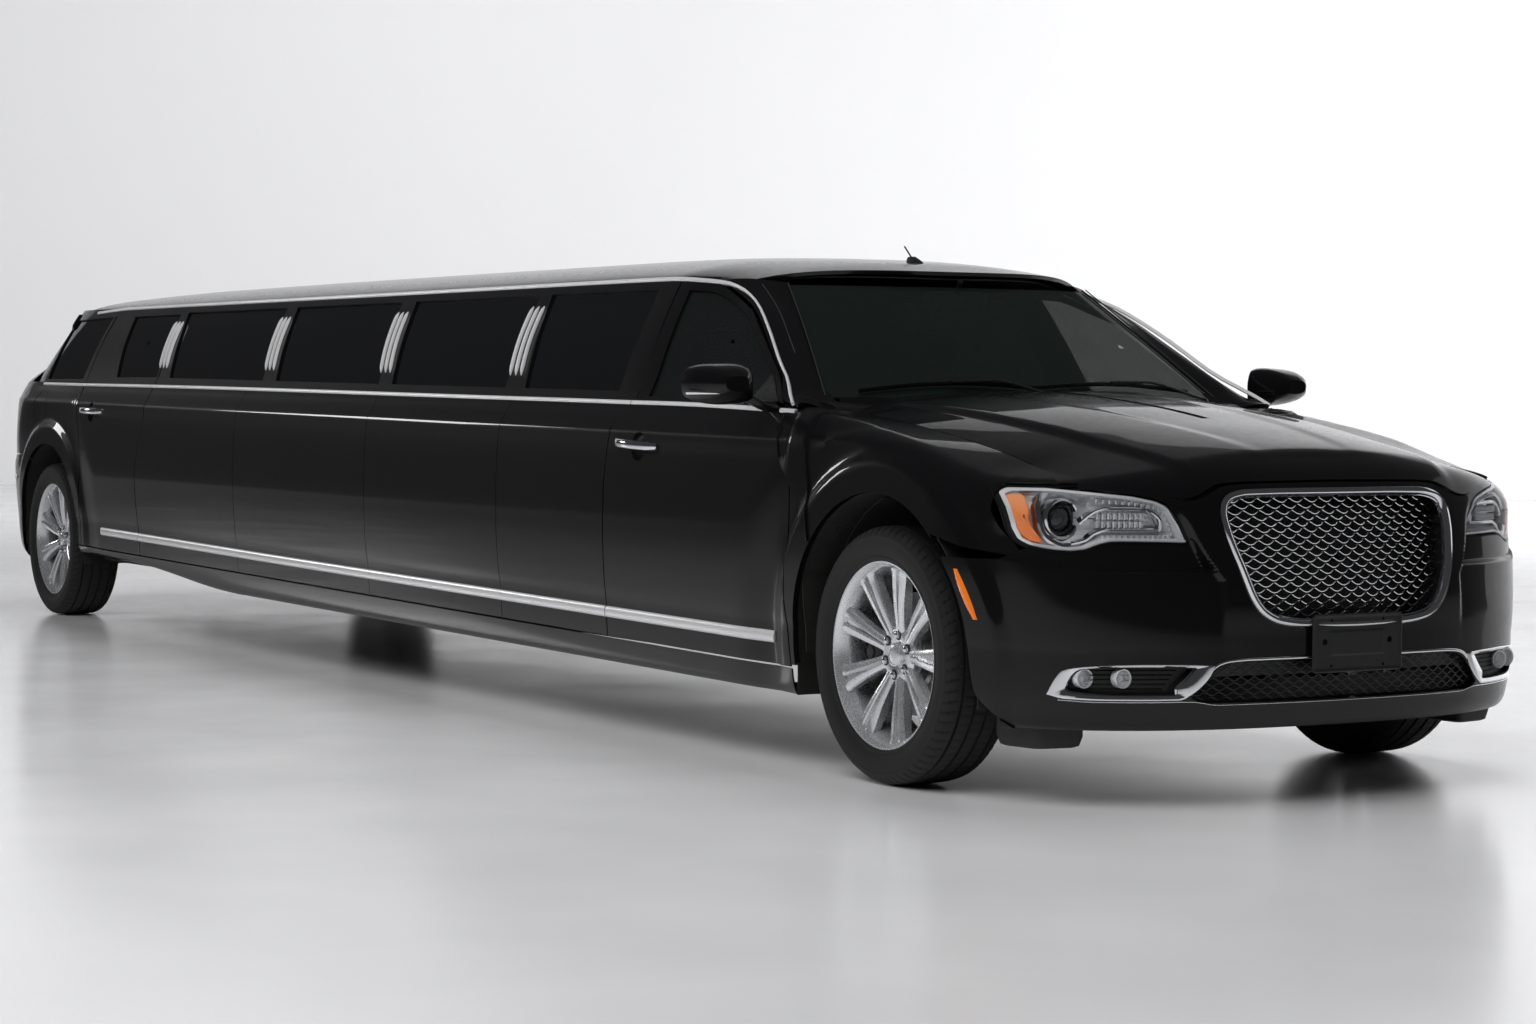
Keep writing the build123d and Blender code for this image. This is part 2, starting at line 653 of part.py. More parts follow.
# wheels: nine pairs of spokes in a rim, with a brake disc behind and a plain centre cap
SPOKE_PAIRS = 9
SPOKE = (13, 24, 6.5)     # spoke half-spread at the hub and at the rim, half-thickness
SPOKE_Y = 846
SPOKE_DEPTH = 46
RIM_FACE = 913
RIM_INNER = 712
RIM_WALL = 9
DISC = (165, 764, 786)
HUB_R = 62
CAP_R = 33


def tyre(side):
    """Tyre as a turned ring with rounded shoulders."""
    half = TYRE_WIDTH / 2
    bead = RIM_R + 1
    section = (
        (WHEEL_MID - half + 18, bead), (WHEEL_MID - half, bead + 40),
        (WHEEL_MID - half + 2, TYRE_R - 42, WHEEL_MID - half + 26, TYRE_R - 8),
        (WHEEL_MID, TYRE_R, WHEEL_MID + half - 26, TYRE_R - 8),
        (WHEEL_MID + half - 2, TYRE_R - 42, WHEEL_MID + half, bead + 40),
        (WHEEL_MID + half - 18, bead),
    )
    ring = revolve(outline(section, lambda y, z: (0, y, z)), Axis.Y)
    return ring if side > 0 else mirrored(ring)


def rim(side):
    """Rim barrel, paired spokes, hub, cap and brake disc."""
    barrel = rod_y(RIM_R, 0, 0, RIM_INNER, RIM_FACE)
    barrel = barrel - rod_y(RIM_R - RIM_WALL, 0, 0, RIM_INNER - 1, RIM_FACE + 1)
    hub = rod_y(HUB_R, 0, 0, 700, 868) + rod_y(CAP_R, 0, 0, 860, 884)
    disc = rod_y(DISC[0], 0, 0, DISC[1], DISC[2])
    body = barrel + hub + disc
    near, far, half = SPOKE
    foot, tip = 35, RIM_R - 4
    for i in range(SPOKE_PAIRS):
        for lean in (-1, 1):
            bar = outline((
                (foot, lean * near - half), (foot, lean * near + half),
                (tip, lean * far + half), (tip, lean * far - half),
            ), lambda x, z: (x, SPOKE_Y, z))
            bar = extrude(bar, amount=SPOKE_DEPTH, dir=(0, 1, 0))
            body = body + Rot(0, 360 / SPOKE_PAIRS * i, 0) * bar
    body = body - rod_y(SPINDLE_R + PIN_FIT, 0, 0, 690, 842)
    return body if side > 0 else mirrored(body)


for side, name in SIDES:
    tyre_part, rim_part = tyre(side), rim(side)
    for place, x in AXLES:
        spot = Pos(x, 0, HUB_Z)
        save(f"tyre_{place}_{name}", spot * tyre_part)
        save(f"rim_{place}_{name}", spot * rim_part)

# front subframe with its arms, and the knuckles that steer on their ends
PIN_R = 11
BALL_R = 20
FRAME_Z = (235, 265)
ARM_ROOT = (190, 330)    # half-length and |y| of a suspension arm's root
subframe = block(front(-330), front(330), -300, 300, *FRAME_Z)
subframe = subframe - block(front(-200), front(200), -190, 190, 200, 300)
for side, name in SIDES:
    for x in (-150, 150):
        tower_z = (FRAME_Z[0] + 8, ARM_HIGH + ARM_T)
        subframe = subframe + block(front(x - 30), front(x + 30), side * 240, side * 380, *tower_z)
    half, root_y = ARM_ROOT
    for z in (ARM_LOW, ARM_HIGH):
        root = ((front(-half), side * root_y), (front(half), side * root_y))
        tip = ((front(BALL_R), side * KINGPIN_Y), (front(-BALL_R), side * KINGPIN_Y))
        arm = upright(root + tip, z, z + ARM_T)
        arm = arm + rod_z(BALL_R, FRONT_AXLE, side * KINGPIN_Y, z, z + ARM_T)
        bore = rod_z(PIN_R + PIN_FIT, FRONT_AXLE, side * KINGPIN_Y, z - 1, z + ARM_T + 1)
        subframe = subframe + (arm - bore)
    ends = (ARM_LOW + ARM_T + 6, ARM_HIGH - 6)
    knuckle = block(front(-24), front(24), side * 668, side * 694, *ends)
    knuckle = knuckle + rod_y(SPINDLE_R, FRONT_AXLE, HUB_Z, side * 680, side * 838)
    knuckle = knuckle + rod_y(HUB_R - 6, FRONT_AXLE, HUB_Z, side * 668, side * 694)
    for low, high, pin in (
        (ends[0], ends[0] + 26, (ARM_LOW, ends[0] + 5)),
        (ends[1] - 26, ends[1], (ends[1] - 5, ARM_HIGH + ARM_T)),
    ):
        knuckle = knuckle + block(front(-24), front(24), side * 668, side * (KINGPIN_Y + 16), low, high)
        knuckle = knuckle + rod_z(PIN_R, FRONT_AXLE, side * KINGPIN_Y, *pin)
    save(f"knuckle_{name}", knuckle)
save("front_subframe", subframe)

# rear axle: final drive, axle tubes and the spindles the rear wheels turn on
AXLE_TUBE = (44, 694)    # radius, and |y| of its end
SPINDLE_END = 838
DRIVE_R = 118            # final drive housing
ARM_Y = (470, 520)
ARM_X = 260              # where a trailing arm's posts stand, ahead of and behind the axle
NOSE_X = 200
axle = rod_y(AXLE_TUBE[0], REAR_AXLE, HUB_Z, -AXLE_TUBE[1], AXLE_TUBE[1])
axle = axle + rod_y(SPINDLE_R, REAR_AXLE, HUB_Z, -SPINDLE_END, SPINDLE_END)
axle = axle + (Pos(REAR_AXLE, 0, HUB_Z) * Sphere(DRIVE_R)) + rod_x(60, 0, HUB_Z, rear(60), rear(NOSE_X))
for side in (1, -1):
    y0, y1 = side * ARM_Y[0], side * ARM_Y[1]
    axle = axle + block(rear(-ARM_X - 40), rear(ARM_X + 40), y0, y1, HUB_Z - 30, HUB_Z + 20)
    for x in (ARM_X, -ARM_X - 50):
        axle = axle + block(rear(x), rear(x + 50), y0, y1, HUB_Z - 20, REAR_FLOOR_Z)
save("rear_axle", axle)

SHAFT_R = 34
GEARBOX_END = -690       # x ahead of the front axle
save("propshaft", rod_x(SHAFT_R, 0, HUB_Z, rear(NOSE_X + 2), front(GEARBOX_END - 10)))
ENGINE = (-330, 330, 230, 300, 830)      # x0, x1, half-width, z0, z1
GEARBOX = (100, HUB_Z - 70, HUB_Z + 40)  # half-width, z0, z1
x0, x1, half, z0, z1 = ENGINE
engine = block(front(x0), front(x1), -half, half, z0, z1)
half, z0, z1 = GEARBOX
engine = engine + block(front(GEARBOX_END), front(x0), -half, half, z0, z1)
save("engine_block", engine)

# exhaust: two pipes with a silencer each under the boot floor
PIPE_R = 27
PIPE_Z = 252
PIPE_Y = 300
SILENCER = (-820, -480, 110)     # x ahead of the rear axle, and half-width
exhaust = []
for side in (1, -1):
    y = side * PIPE_Y
    x0, x1, half = SILENCER
    pipe = rod_x(PIPE_R, y, PIPE_Z, rear(-1072), front(-720))
    pipe = pipe + block(rear(x0), rear(x1), y - half, y + half, PIPE_Z - 40, PIPE_Z + 90)
    exhaust += pipe.solids()
save("exhaust", *exhaust)

# ---------------------------------------------------------------- nose and tail fittings
FOG_SET = 14             # how far the fog lamps sit behind the nose's skin


def set_back(depth):
    """The nose moved back by depth, to cut layers behind its skin."""
    return nose.moved(Location((-depth, 0, 0)))


lamp_skin = nose - nose_core
lamps = []
for tool in both(HEADLAMP, front(LAMP_BACK + 2), FRONT_END):
    lamps += ((lamp_skin & tool) - bonnet_hole).solids()
save("headlamps", *lamps)
fogs = []
for tool in both(FOG, front(600), FRONT_END):
    fogs += ((set_back(FOG_SET) - nose_core) & tool).solids()
save("fog_lamps", *fogs)

GRILLE_FRAME = 24        # width of the bright frame round the grille
GRILLE_MID = 663         # height of the grille's middle
GRILLE_BARS = 20
BAR_HALF = 2
FRAME_LAYER = (2, 44)    # depths behind the nose's skin
BAR_LAYER = (30, 42)
low, high = GRILLE[4][1], GRILLE[0][1]
share = (1 - GRILLE_FRAME / GRILLE[3][0], 1 - 2 * GRILLE_FRAME / (high - low))
inner = [(y * share[0], GRILLE_MID + (z - GRILLE_MID) * share[1]) for y, z in GRILLE]
mesh_zone = along(inner, front(400), FRONT_END)
grille = (set_back(FRAME_LAYER[0]) - set_back(FRAME_LAYER[1])) & (grille_tool - mesh_zone)
bar_layer = (set_back(BAR_LAYER[0]) - set_back(BAR_LAYER[1])) & grille_tool
for i in range(GRILLE_BARS):
    z = between(low, high, (i + 0.5) / GRILLE_BARS)
    grille = grille + (bar_layer & block(front(400), FRONT_END, -FAR, FAR, z - BAR_HALF, z + BAR_HALF))
save("grille", grille)
save("lower_intake", (set_back(BAR_LAYER[0]) - set_back(BAR_LAYER[1])) & intake_tool)

BRACKET = (310, 352, 508)
BRACKET_BACK = 905.5
PLATE_HOLES = (178, 121, 4)     # spacing across, spacing up, hole radius
width, z0, z1 = BRACKET
bracket = block(front(BRACKET_BACK), front(FRONT_REACH), -width / 2, width / 2, z0, z1)
span, rise, hole_r = PLATE_HOLES
for y in (-span / 2, span / 2):
    for z in (-rise / 2, rise / 2):
        hole_x = (front(BRACKET_BACK - 5), front(FRONT_REACH + 12))
        bracket = bracket - rod_x(hole_r, y, (z0 + z1) / 2 + z, *hole_x)
save("plate_bracket", bracket)

# door mirrors: a rounded head on a short arm
MIRROR = (-640, 120, 940, 1100, 1046, 1170)
for side, name in SIDES:
    x, depth, y0, y1, z0, z1 = MIRROR
    head = fillet(block(front(x - depth / 2), front(x + depth / 2), y0, y1, z0, z1).edges(), 44)
    arm = block(front(x - 20), front(x + 40), 905, y0 + 30, 1062, 1092)
    mirror_part = head + arm
    save(f"mirror_{name}", mirror_part if side > 0 else mirrored(mirror_part))

# ---------------------------------------------------------------- inside the cabin
SEAT_Z = FLOOR_Z + FLOOR_T
WHEEL_AT = (-1090, 390, 930)     # steering wheel's middle: x ahead of the front axle, y, z
WHEEL_LEAN = 68
DASH = (-860, -520, 770, 700, 985)
KNEE_ROOM = (-800, 820)
x0, x1, half, z0, z1 = DASH
dash = block(front(x0), front(x1), -half, half, z0, z1)
dash = dash - block(front(x0 - 10), front(KNEE_ROOM[0]), -half - 10, half + 10, z0 - 10, KNEE_ROOM[1])
column = Pos(front(-960), WHEEL_AT[1], WHEEL_AT[2] - 25) * Rot(0, 78, 0) * Cylinder(26, 260)
steering_wheel = Torus(180, 14) + Box(30, 340, 16) + Cylinder(46, 30)
steering_wheel = Pos(front(WHEEL_AT[0]), *WHEEL_AT[1:]) * Rot(0, WHEEL_LEAN, 0) * steering_wheel
save("dashboard", dash + column + steering_wheel)

SEAT_Y = 400
CUSHION_TOP = 560
seats = []
for side in (1, -1):
    y = side * SEAT_Y
    cushion = block(front(-1660), front(-1170), y - 230, y + 230, SEAT_Z, CUSHION_TOP)
    back_side = ((-1560, 540), (-1760, 1130), (-1860, 1120), (-1700, 540))
    back = across([(front(x), z) for x, z in back_side], y - 225, y + 225)
    head = block(front(-1880), front(-1790), y - 130, y + 130, 1140, 1310)
    head = head + block(front(-1850), front(-1810), y - 60, y + 60, 1100, 1160)
    seats += (cushion + back + head).solids()
save("front_seats", *seats)

PARTITION_X = -2430
PARTITION_T = 40
wall_x = (front(PARTITION_X - PARTITION_T), front(PARTITION_X))
partition = block(*wall_x, -812, 812, SEAT_Z, 1080)
partition = partition + along(((-800, 1070), (800, 1070), (610, 1446), (-610, 1446)), *wall_x)
hatch = along(((-620, 1130), (620, 1130), (500, 1370), (-500, 1370)), wall_x[0] - 20, wall_x[1] + 20)
tunnel_room = TUNNEL_HALF + 24
tunnel = block(REAR_END, FRONT_END, -tunnel_room, tunnel_room, 0, TUNNEL_Z + 4)
save("partition", partition - hatch - tunnel)

bench_x = (rear(1500), front(-2700))
side_seat = block(*bench_x, 330, 820, SEAT_Z, 720) + block(*bench_x, 720, 840, 700, 1040)
rear_seat = block(rear(640), rear(REAR_STEP) + 40, -580, 580, SEAT_Z, 740)
rear_seat = rear_seat + block(rear(80), rear(REAR_STEP) + 30, -580, 580, REAR_FLOOR_TOP, 780)
rear_seat = rear_seat + block(rear(-60), rear(140), -580, 580, REAR_FLOOR_TOP, 1040)
rear_seat = rear_seat + block(step_x[1], rear(1060), -640, 640, SEAT_Z, 740)
save("lounge_seats", side_seat, rear_seat - tunnel)

# panel between the boot lid and the rear window, with the parcel shelf
strip_x = (rear(LID_FRONT) + GAP, rear(QUARTER_FRONT))
strip = tail_shell & block(*strip_x, -LID_HALF, LID_HALF, DECK_Z - 60, TOP)
strip = strip - greenhouse(-SEAM)
shelf = block(rear(LID_FRONT) + 60, rear(-64), -510, 510, DECK_Z - 40, DECK_Z - 12)
save("rear_deck", strip + shelf)

ANTENNA_X = -1250
antenna = rod_z(16, front(ANTENNA_X), 0, 1470, 1510) + rod_z(4, front(ANTENNA_X), 0, 1500, 1560)
save("roof_antenna", antenna - roof)
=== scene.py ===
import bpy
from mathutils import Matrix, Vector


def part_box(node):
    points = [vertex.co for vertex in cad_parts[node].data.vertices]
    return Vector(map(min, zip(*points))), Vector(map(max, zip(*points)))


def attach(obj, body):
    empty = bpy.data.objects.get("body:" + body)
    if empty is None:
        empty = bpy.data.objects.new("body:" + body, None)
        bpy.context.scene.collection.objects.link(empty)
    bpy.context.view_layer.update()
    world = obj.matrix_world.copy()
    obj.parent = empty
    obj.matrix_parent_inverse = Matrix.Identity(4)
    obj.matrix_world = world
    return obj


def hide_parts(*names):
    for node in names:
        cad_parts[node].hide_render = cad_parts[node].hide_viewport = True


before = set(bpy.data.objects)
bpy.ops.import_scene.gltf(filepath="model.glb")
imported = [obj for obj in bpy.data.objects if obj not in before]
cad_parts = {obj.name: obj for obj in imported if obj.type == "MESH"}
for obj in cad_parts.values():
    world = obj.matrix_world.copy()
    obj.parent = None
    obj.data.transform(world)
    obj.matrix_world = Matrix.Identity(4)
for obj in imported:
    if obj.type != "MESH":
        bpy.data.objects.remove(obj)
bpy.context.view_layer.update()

import math

import bpy
import numpy as np
from mathutils import Matrix, Vector

bl_info = {
    "name": "Stretch Limousine Dressing",
    "version": (1, 0, 0),
    "blender": (4, 5, 0),
    "location": "View3D > Sidebar > Limousine",
    "description": "Dresses the packed limousine with panels, glass, bright trim, wheels and a cabin",
    "category": "Object",
}

# ---------------------------------------------------------------- places taken from the frame
SIDES = ((1, "left"), (-1, "right"))
tyre_low, tyre_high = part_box("tyre_front_left")
rear_low, rear_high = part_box("tyre_rear_left")
FRONT_AXLE = (tyre_low.x + tyre_high.x) / 2
REAR_AXLE = (rear_low.x + rear_high.x) / 2
HUB_Z = (tyre_high.z + tyre_low.z) / 2
WHEEL_MID = (tyre_high.y + tyre_low.y) / 2
HALF = 0.951                     # body side at its widest
ARCH_Z = HUB_Z + 0.015
ARCH_R = 0.437
GAP = 0.003                      # half of a shut gap
SKIN = 0.006                     # thickness of a pressed panel


def front(x):
    """Place along the car of a point x ahead of the front axle."""
    return FRONT_AXLE + x


def rear(x):
    """Place along the car of a point x ahead of the rear axle."""
    return REAR_AXLE + x


# ---------------------------------------------------------------- numbers and curves
def smooth(t):
    """0 below 0, 1 above 1, and 3t^2 - 2t^3 between."""
    t = np.clip(t, 0, 1)
    return t * t * (3 - 2 * t)


def lerp(a, b, t):
    """Point part of the way from a to b."""
    return a + (b - a) * t


def curve(knots):
    """Smooth function through (place, value) knots: cubic pieces whose slope is the mean of its
    neighbours'."""
    table = np.asarray(knots, float)
    x, y = table[:, 0], table[:, 1:]
    slope = np.gradient(y, x, axis=0)
    step = np.diff(y, axis=0) / np.diff(x)[:, None]
    same = step[:-1] * step[1:] > 0
    slope[1:-1] = np.where(same, 2 * step[:-1] * step[1:] / np.where(same, step[:-1] + step[1:], 1), 0)
    slope[0], slope[-1] = step[0], step[-1]

    def at(place):
        place = np.asarray(place, float)
        i = np.clip(np.searchsorted(x, place, side="right") - 1, 0, len(x) - 2)
        h = x[i + 1] - x[i]
        t = np.clip((place - x[i]) / h, 0, 1)[..., None]
        h = h[..., None]
        value = (
            (1 + 2 * t) * (1 - t) ** 2 * y[i] + t * (1 - t) ** 2 * h * slope[i]
            + t * t * (3 - 2 * t) * y[i + 1] + t * t * (t - 1) * h * slope[i + 1]
        )
        return value[..., 0] if y.shape[1] == 1 else value

    return at


def bent(points, per=8):
    """Points along a smooth line through the given points, spaced by their distance apart."""
    points = np.asarray(points, float)
    gone = np.concatenate([[0], np.cumsum(np.linalg.norm(np.diff(points, axis=0), axis=1))])
    places = np.linspace(0, gone[-1], per * (len(points) - 1) + 1)
    return curve(np.column_stack([gone, points]))(places)


def straight(points, per=8):
    """Points along straight runs between the given points, each run cut into equal steps."""
    points = np.asarray(points, float)
    share = np.linspace(0, 1, per, endpoint=False)[:, None]
    runs = [lerp(a, b, share) for a, b in zip(points[:-1], points[1:])]
    return np.concatenate(runs + [points[-1:]])


def rounded(corners, radius, per=7):
    """Closed outline whose corners are turned with arcs: each arc blends the two runs beside it."""
    corners = np.asarray(corners, float)
    before = np.roll(corners, 1, axis=0) - corners
    after = np.roll(corners, -1, axis=0) - corners
    a_len = np.linalg.norm(before, axis=1, keepdims=True)
    b_len = np.linalg.norm(after, axis=1, keepdims=True)
    cut = np.minimum(radius, 0.45 * np.minimum(a_len, b_len))
    start, end = corners + before / a_len * cut, corners + after / b_len * cut
    t = np.linspace(0, 1, per)[None, :, None]
    turned = (1 - t) ** 2 * start[:, None] + 2 * t * (1 - t) * corners[:, None] + t * t * end[:, None]
    return turned.reshape(-1, corners.shape[1])


def unit(v):
    """Vectors scaled to length one."""
    return v / np.maximum(np.linalg.norm(v, axis=-1, keepdims=True), 1e-12)


def spots(*parts):
    """Points from their coordinates, each an array or a number that spreads over the others."""
    return np.stack(np.broadcast_arrays(*parts), axis=-1)


# ---------------------------------------------------------------- meshes
class Shell:
    """Corners and faces gathered for one object, each closed part turned to face outwards."""

    def __init__(self):
        self.corners, self.faces, self.count = [], [], 0

    def add(self, corners, faces, turn=True):
        """Add one closed part: faces is an (n, 3) or (n, 4) array of rows of corner numbers."""
        corners = np.asarray(corners, float).reshape(-1, 3)
        groups = faces if isinstance(faces, list) else [faces]
        if turn:
            volume = 0.0
            for group in groups:
                a = corners[group[:, 0]]
                for k in range(1, group.shape[1] - 1):
                    volume += np.einsum(
                        "ij,ij->i", a, np.cross(corners[group[:, k]], corners[group[:, k + 1]])
                    ).sum()
            if volume < 0:
                groups = [group[:, ::-1] for group in groups]
        self.corners.append(corners)
        self.faces += [group + self.count for group in groups]
        self.count += len(corners)
        return self

    def rod(self, path, up, radius, count=8, shape=(1, 1), closed=False):
        """Add a round rod along a path, or an oval one by the shape's two factors."""
        return self.add(*bead(path, up, round_section(radius, count) * shape, closed))

    def changed(self, change, turn_over=False):
        """A new shell whose corners are changed by a function, its faces turned over if that mirrors them."""
        other = Shell()
        other.corners = [change(corners) for corners in self.corners]
        other.faces = [group[:, ::-1] if turn_over else group for group in self.faces]
        other.count = self.count
        return other

    def flipped(self):
        """The same parts on the other side of the car, as a new shell."""
        return self.changed(lambda corners: corners * (1, -1, 1), True)

    def on(self, way):
        """These parts, or their mirror image where way is negative."""
        return self if way > 0 else self.flipped()

    def turned_about_wheel(self, angle):
        """The same parts turned about the car's Y axis by an angle, as a new shell."""
        c, s = math.cos(angle), math.sin(angle)
        turn = np.array([[c, 0, -s], [0, 1, 0], [s, 0, c]])
        return self.changed(lambda corners: corners @ turn)

    def moved(self, x=0.0, y=0.0, z=0.0):
        """The same parts moved, as a new shell."""
        return self.changed(lambda corners: corners + (x, y, z))

    def join(self, *others):
        """Add the parts of other shells."""
        for other in others:
            self.corners += other.corners
            self.faces += [group + self.count for group in other.faces]
            self.count += other.count
        return self

    def mirror(self):
        """Add the same parts on the other side of the car."""
        return self.join(self.flipped())


def grid_faces(rows, columns, wrap_rows=False, wrap_columns=False):
    """Corner numbers of the quads of a grid stored row by row."""
    i = np.arange(rows if wrap_rows else rows - 1)
    j = np.arange(columns if wrap_columns else columns - 1)
    i, j = [k.ravel() for k in np.meshgrid(i, j, indexing="ij")]
    i2, j2 = (i + 1) % rows, (j + 1) % columns
    return np.stack([i * columns + j, i2 * columns + j, i2 * columns + j2, i * columns + j2], axis=1)


def meshed(grid):
    """A grid of corners with the faces between them."""
    return grid, grid_faces(*grid.shape[:2])


def slab(outer, inner):
    """Closed plate between two grids of the same size: both faces and the four strips round the rim."""
    rows, columns = outer.shape[:2]
    face = grid_faces(rows, columns)
    size = rows * columns
    number = np.arange(size).reshape(rows, columns)
    ring = np.concatenate([number[0, :], number[1:, -1], number[-1, -2::-1], number[-2:0:-1, 0]])
    after = np.roll(ring, -1)
    rim = np.stack([after, ring, ring + size, after + size], axis=1)
    corners = np.concatenate([outer.reshape(-1, 3), inner.reshape(-1, 3)])
    return corners, np.concatenate([face, face[:, ::-1] + size, rim])


def tube(rings, caps=True):
    """Closed tube through rings of corners, an (n, k, 3) array; its ends are closed with a fan each."""
    rows, columns = rings.shape[:2]
    sides = grid_faces(rows, columns, wrap_columns=True)
    corners = rings.reshape(-1, 3)
    if not caps:
        return corners, sides
    corners = np.concatenate([corners, rings[0].mean(0)[None], rings[-1].mean(0)[None]])
    j = np.arange(columns)
    j2 = (j + 1) % columns
    size = rows * columns
    last = size - columns
    start = np.stack([np.full(columns, size), j, j2], axis=1)
    end = np.stack([np.full(columns, size + 1), last + j2, last + j], axis=1)
    return corners, [sides, start, end]


def loop_tube(rings):
    """Closed ring-shaped tube through rings of corners: the last ring joins the first."""
    rows, columns = rings.shape[:2]
    return rings.reshape(-1, 3), grid_faces(rows, columns, wrap_rows=True, wrap_columns=True)


def bead(path, up, section, closed=False):
    """A section carried along a path: each of its points is path + a * side + b * up, side being up x
    tangent."""
    path = np.asarray(path, float)
    up = np.broadcast_to(np.asarray(up, float), path.shape)
    if closed:
        tangent = np.roll(path, -1, axis=0) - np.roll(path, 1, axis=0)
    else:
        tangent = np.gradient(path, axis=0)
    tangent = unit(tangent)
    side = unit(np.cross(up, tangent))
    above = np.cross(tangent, side)
    section = np.asarray(section, float)
    if section.ndim == 2:
        section = np.broadcast_to(section, (len(path),) + section.shape)
    rings = path[:, None] + section[..., :1] * side[:, None] + section[..., 1:] * above[:, None]
    return loop_tube(rings) if closed else tube(rings)


def dome(width, height, base=0.0, steps=7):
    """Bead section: half an ellipse over a flat foot."""
    angle = np.linspace(0, math.pi, steps)
    top = spots(np.cos(angle) * width / 2, np.sin(angle) * height)
    foot = np.array([[-width / 2, base - 0.001], [width / 2, base - 0.001]])
    return np.concatenate([top, foot])


def round_section(radius, count=8):
    """Bead section: a circle."""
    angle = np.linspace(0, 2 * math.pi, count, endpoint=False)
    return spots(np.cos(angle) * radius, np.sin(angle) * radius)


def lathe(profile, count, centre=(0, 0, 0), axis="y"):
    """Closed ring: an (along, out) profile turned round the axis, in count steps."""
    profile = np.asarray(profile, float)
    angle = np.linspace(0, 2 * math.pi, count, endpoint=False)[:, None]
    along = np.broadcast_to(profile[:, 0], (count, len(profile)))
    a, b = np.cos(angle) * profile[:, 1], np.sin(angle) * profile[:, 1]
    order = {"y": (a, along, b), "x": (along, a, b), "z": (a, b, along)}[axis]
    return loop_tube(np.stack(order, axis=2) + np.asarray(centre, float))


def plug(profile, count, centre=(0, 0, 0), axis="y"):
    """Closed solid of revolution: its (along, out) profile starts and ends on the axis."""
    profile = np.asarray(profile, float)
    ring = profile[1:-1]
    angle = np.linspace(0, 2 * math.pi, count, endpoint=False)[None, :]
    along = np.broadcast_to(ring[:, :1], (len(ring), count))
    a, b = ring[:, 1:] * np.cos(angle), ring[:, 1:] * np.sin(angle)
    place = {"y": (a, along, b), "x": (along, a, b), "z": (a, b, along)}[axis]
    corners, faces = tube(np.stack(place, axis=2))
    ends = np.zeros((2, 3))
    ends[:, {"x": 0, "y": 1, "z": 2}[axis]] = profile[[0, -1], 0]
    corners[-2:] = ends
    return corners + np.asarray(centre, float), faces


def make(name, shell, look, body=None, replaces=(), sharp=35.0):
    """Mesh object from a shell, shaded smooth with edges above the given angle kept sharp."""
    if not shell.faces:
        raise RuntimeError(name + " has no faces")
    corners = np.concatenate(shell.corners)
    mesh = bpy.data.meshes.new(name)
    sizes = np.concatenate([np.full(len(f), f.shape[1]) for f in shell.faces])
    order = np.concatenate([f.ravel() for f in shell.faces])
    mesh.vertices.add(len(corners))
    mesh.vertices.foreach_set("co", corners.astype(np.float32).ravel())
    mesh.loops.add(len(order))
    mesh.loops.foreach_set("vertex_index", order.astype(np.int32))
    mesh.polygons.add(len(sizes))
    mesh.polygons.foreach_set("loop_start", np.concatenate([[0], np.cumsum(sizes)[:-1]]).astype(np.int32))
    mesh.polygons.foreach_set("use_smooth", np.ones(len(sizes), bool))
    mesh.update(calc_edges=True)
    mesh.validate()
    mesh.set_sharp_from_angle(angle=math.radians(sharp))
    obj = bpy.data.objects.new(name, mesh)
    bpy.context.scene.collection.objects.link(obj)
    mesh.materials.append(material(look))
    if body:
        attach(obj, body)
    if replaces:
        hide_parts(*replaces)
    return obj


# ---------------------------------------------------------------- the body's shape
# A point is inside the lower body where body_field is negative. The field is the larger of
# two: how far the point lies outside the side walls and how far above the top.
NOSE_START, NOSE_REACH, NOSE_POWER = front(0.25), 0.654, 2.4
TAIL_START, TAIL_REACH, TAIL_POWER = rear(-0.15), 0.950, 2.9
WING_EDGE = 0.700                # |y| of the seam between bonnet and wing
SHOULDER = 0.880
PIVOT_DROP = 0.140               # pivot of the rays over the wing, below the bonnet's edge

# Height above the sill line, and how far the side is drawn in there.
side_inset = curve((
    (0.190, 0.075), (0.205, 0.048), (0.218, 0.034), (0.240, 0.025), (0.290, 0.018), (0.350, 0.015),
    (0.410, 0.013), (0.440, 0.009), (0.520, 0.003), (0.620, 0.000), (0.750, 0.002), (0.880, 0.009),
    (0.930, 0.0145), (0.949, 0.0165), (0.958, 0.021), (0.980, 0.035), (1.005, 0.0495), (1.035, 0.0645),
    (1.060, 0.090), (1.120, 0.170),
))
# The nose is drawn in by one amount round the grille and by another beside it, where a ledge
# steps back to the headlamps.
grille_inset = curve((
    (0.180, 0.110), (0.200, 0.060), (0.215, 0.034), (0.245, 0.020), (0.262, 0.016), (0.300, 0.004),
    (0.370, 0.000), (0.450, 0.000), (0.520, -0.002), (0.600, 0.003), (0.700, 0.032), (0.800, 0.072),
    (0.850, 0.092), (0.880, 0.112), (0.920, 0.150),
))
lamp_inset = curve((
    (0.180, 0.110), (0.200, 0.060), (0.215, 0.034), (0.245, 0.020), (0.262, 0.016), (0.300, 0.004),
    (0.370, 0.000), (0.450, 0.001), (0.520, 0.006), (0.600, 0.018), (0.700, 0.036), (0.800, 0.074),
    (0.850, 0.094), (0.880, 0.112), (0.920, 0.150),
))
surround_edge = curve((
    (0.600, 0.405), (0.622, 0.420), (0.655, 0.440), (0.700, 0.460), (0.740, 0.474), (0.800, 0.510),
    (0.850, 0.590),
))
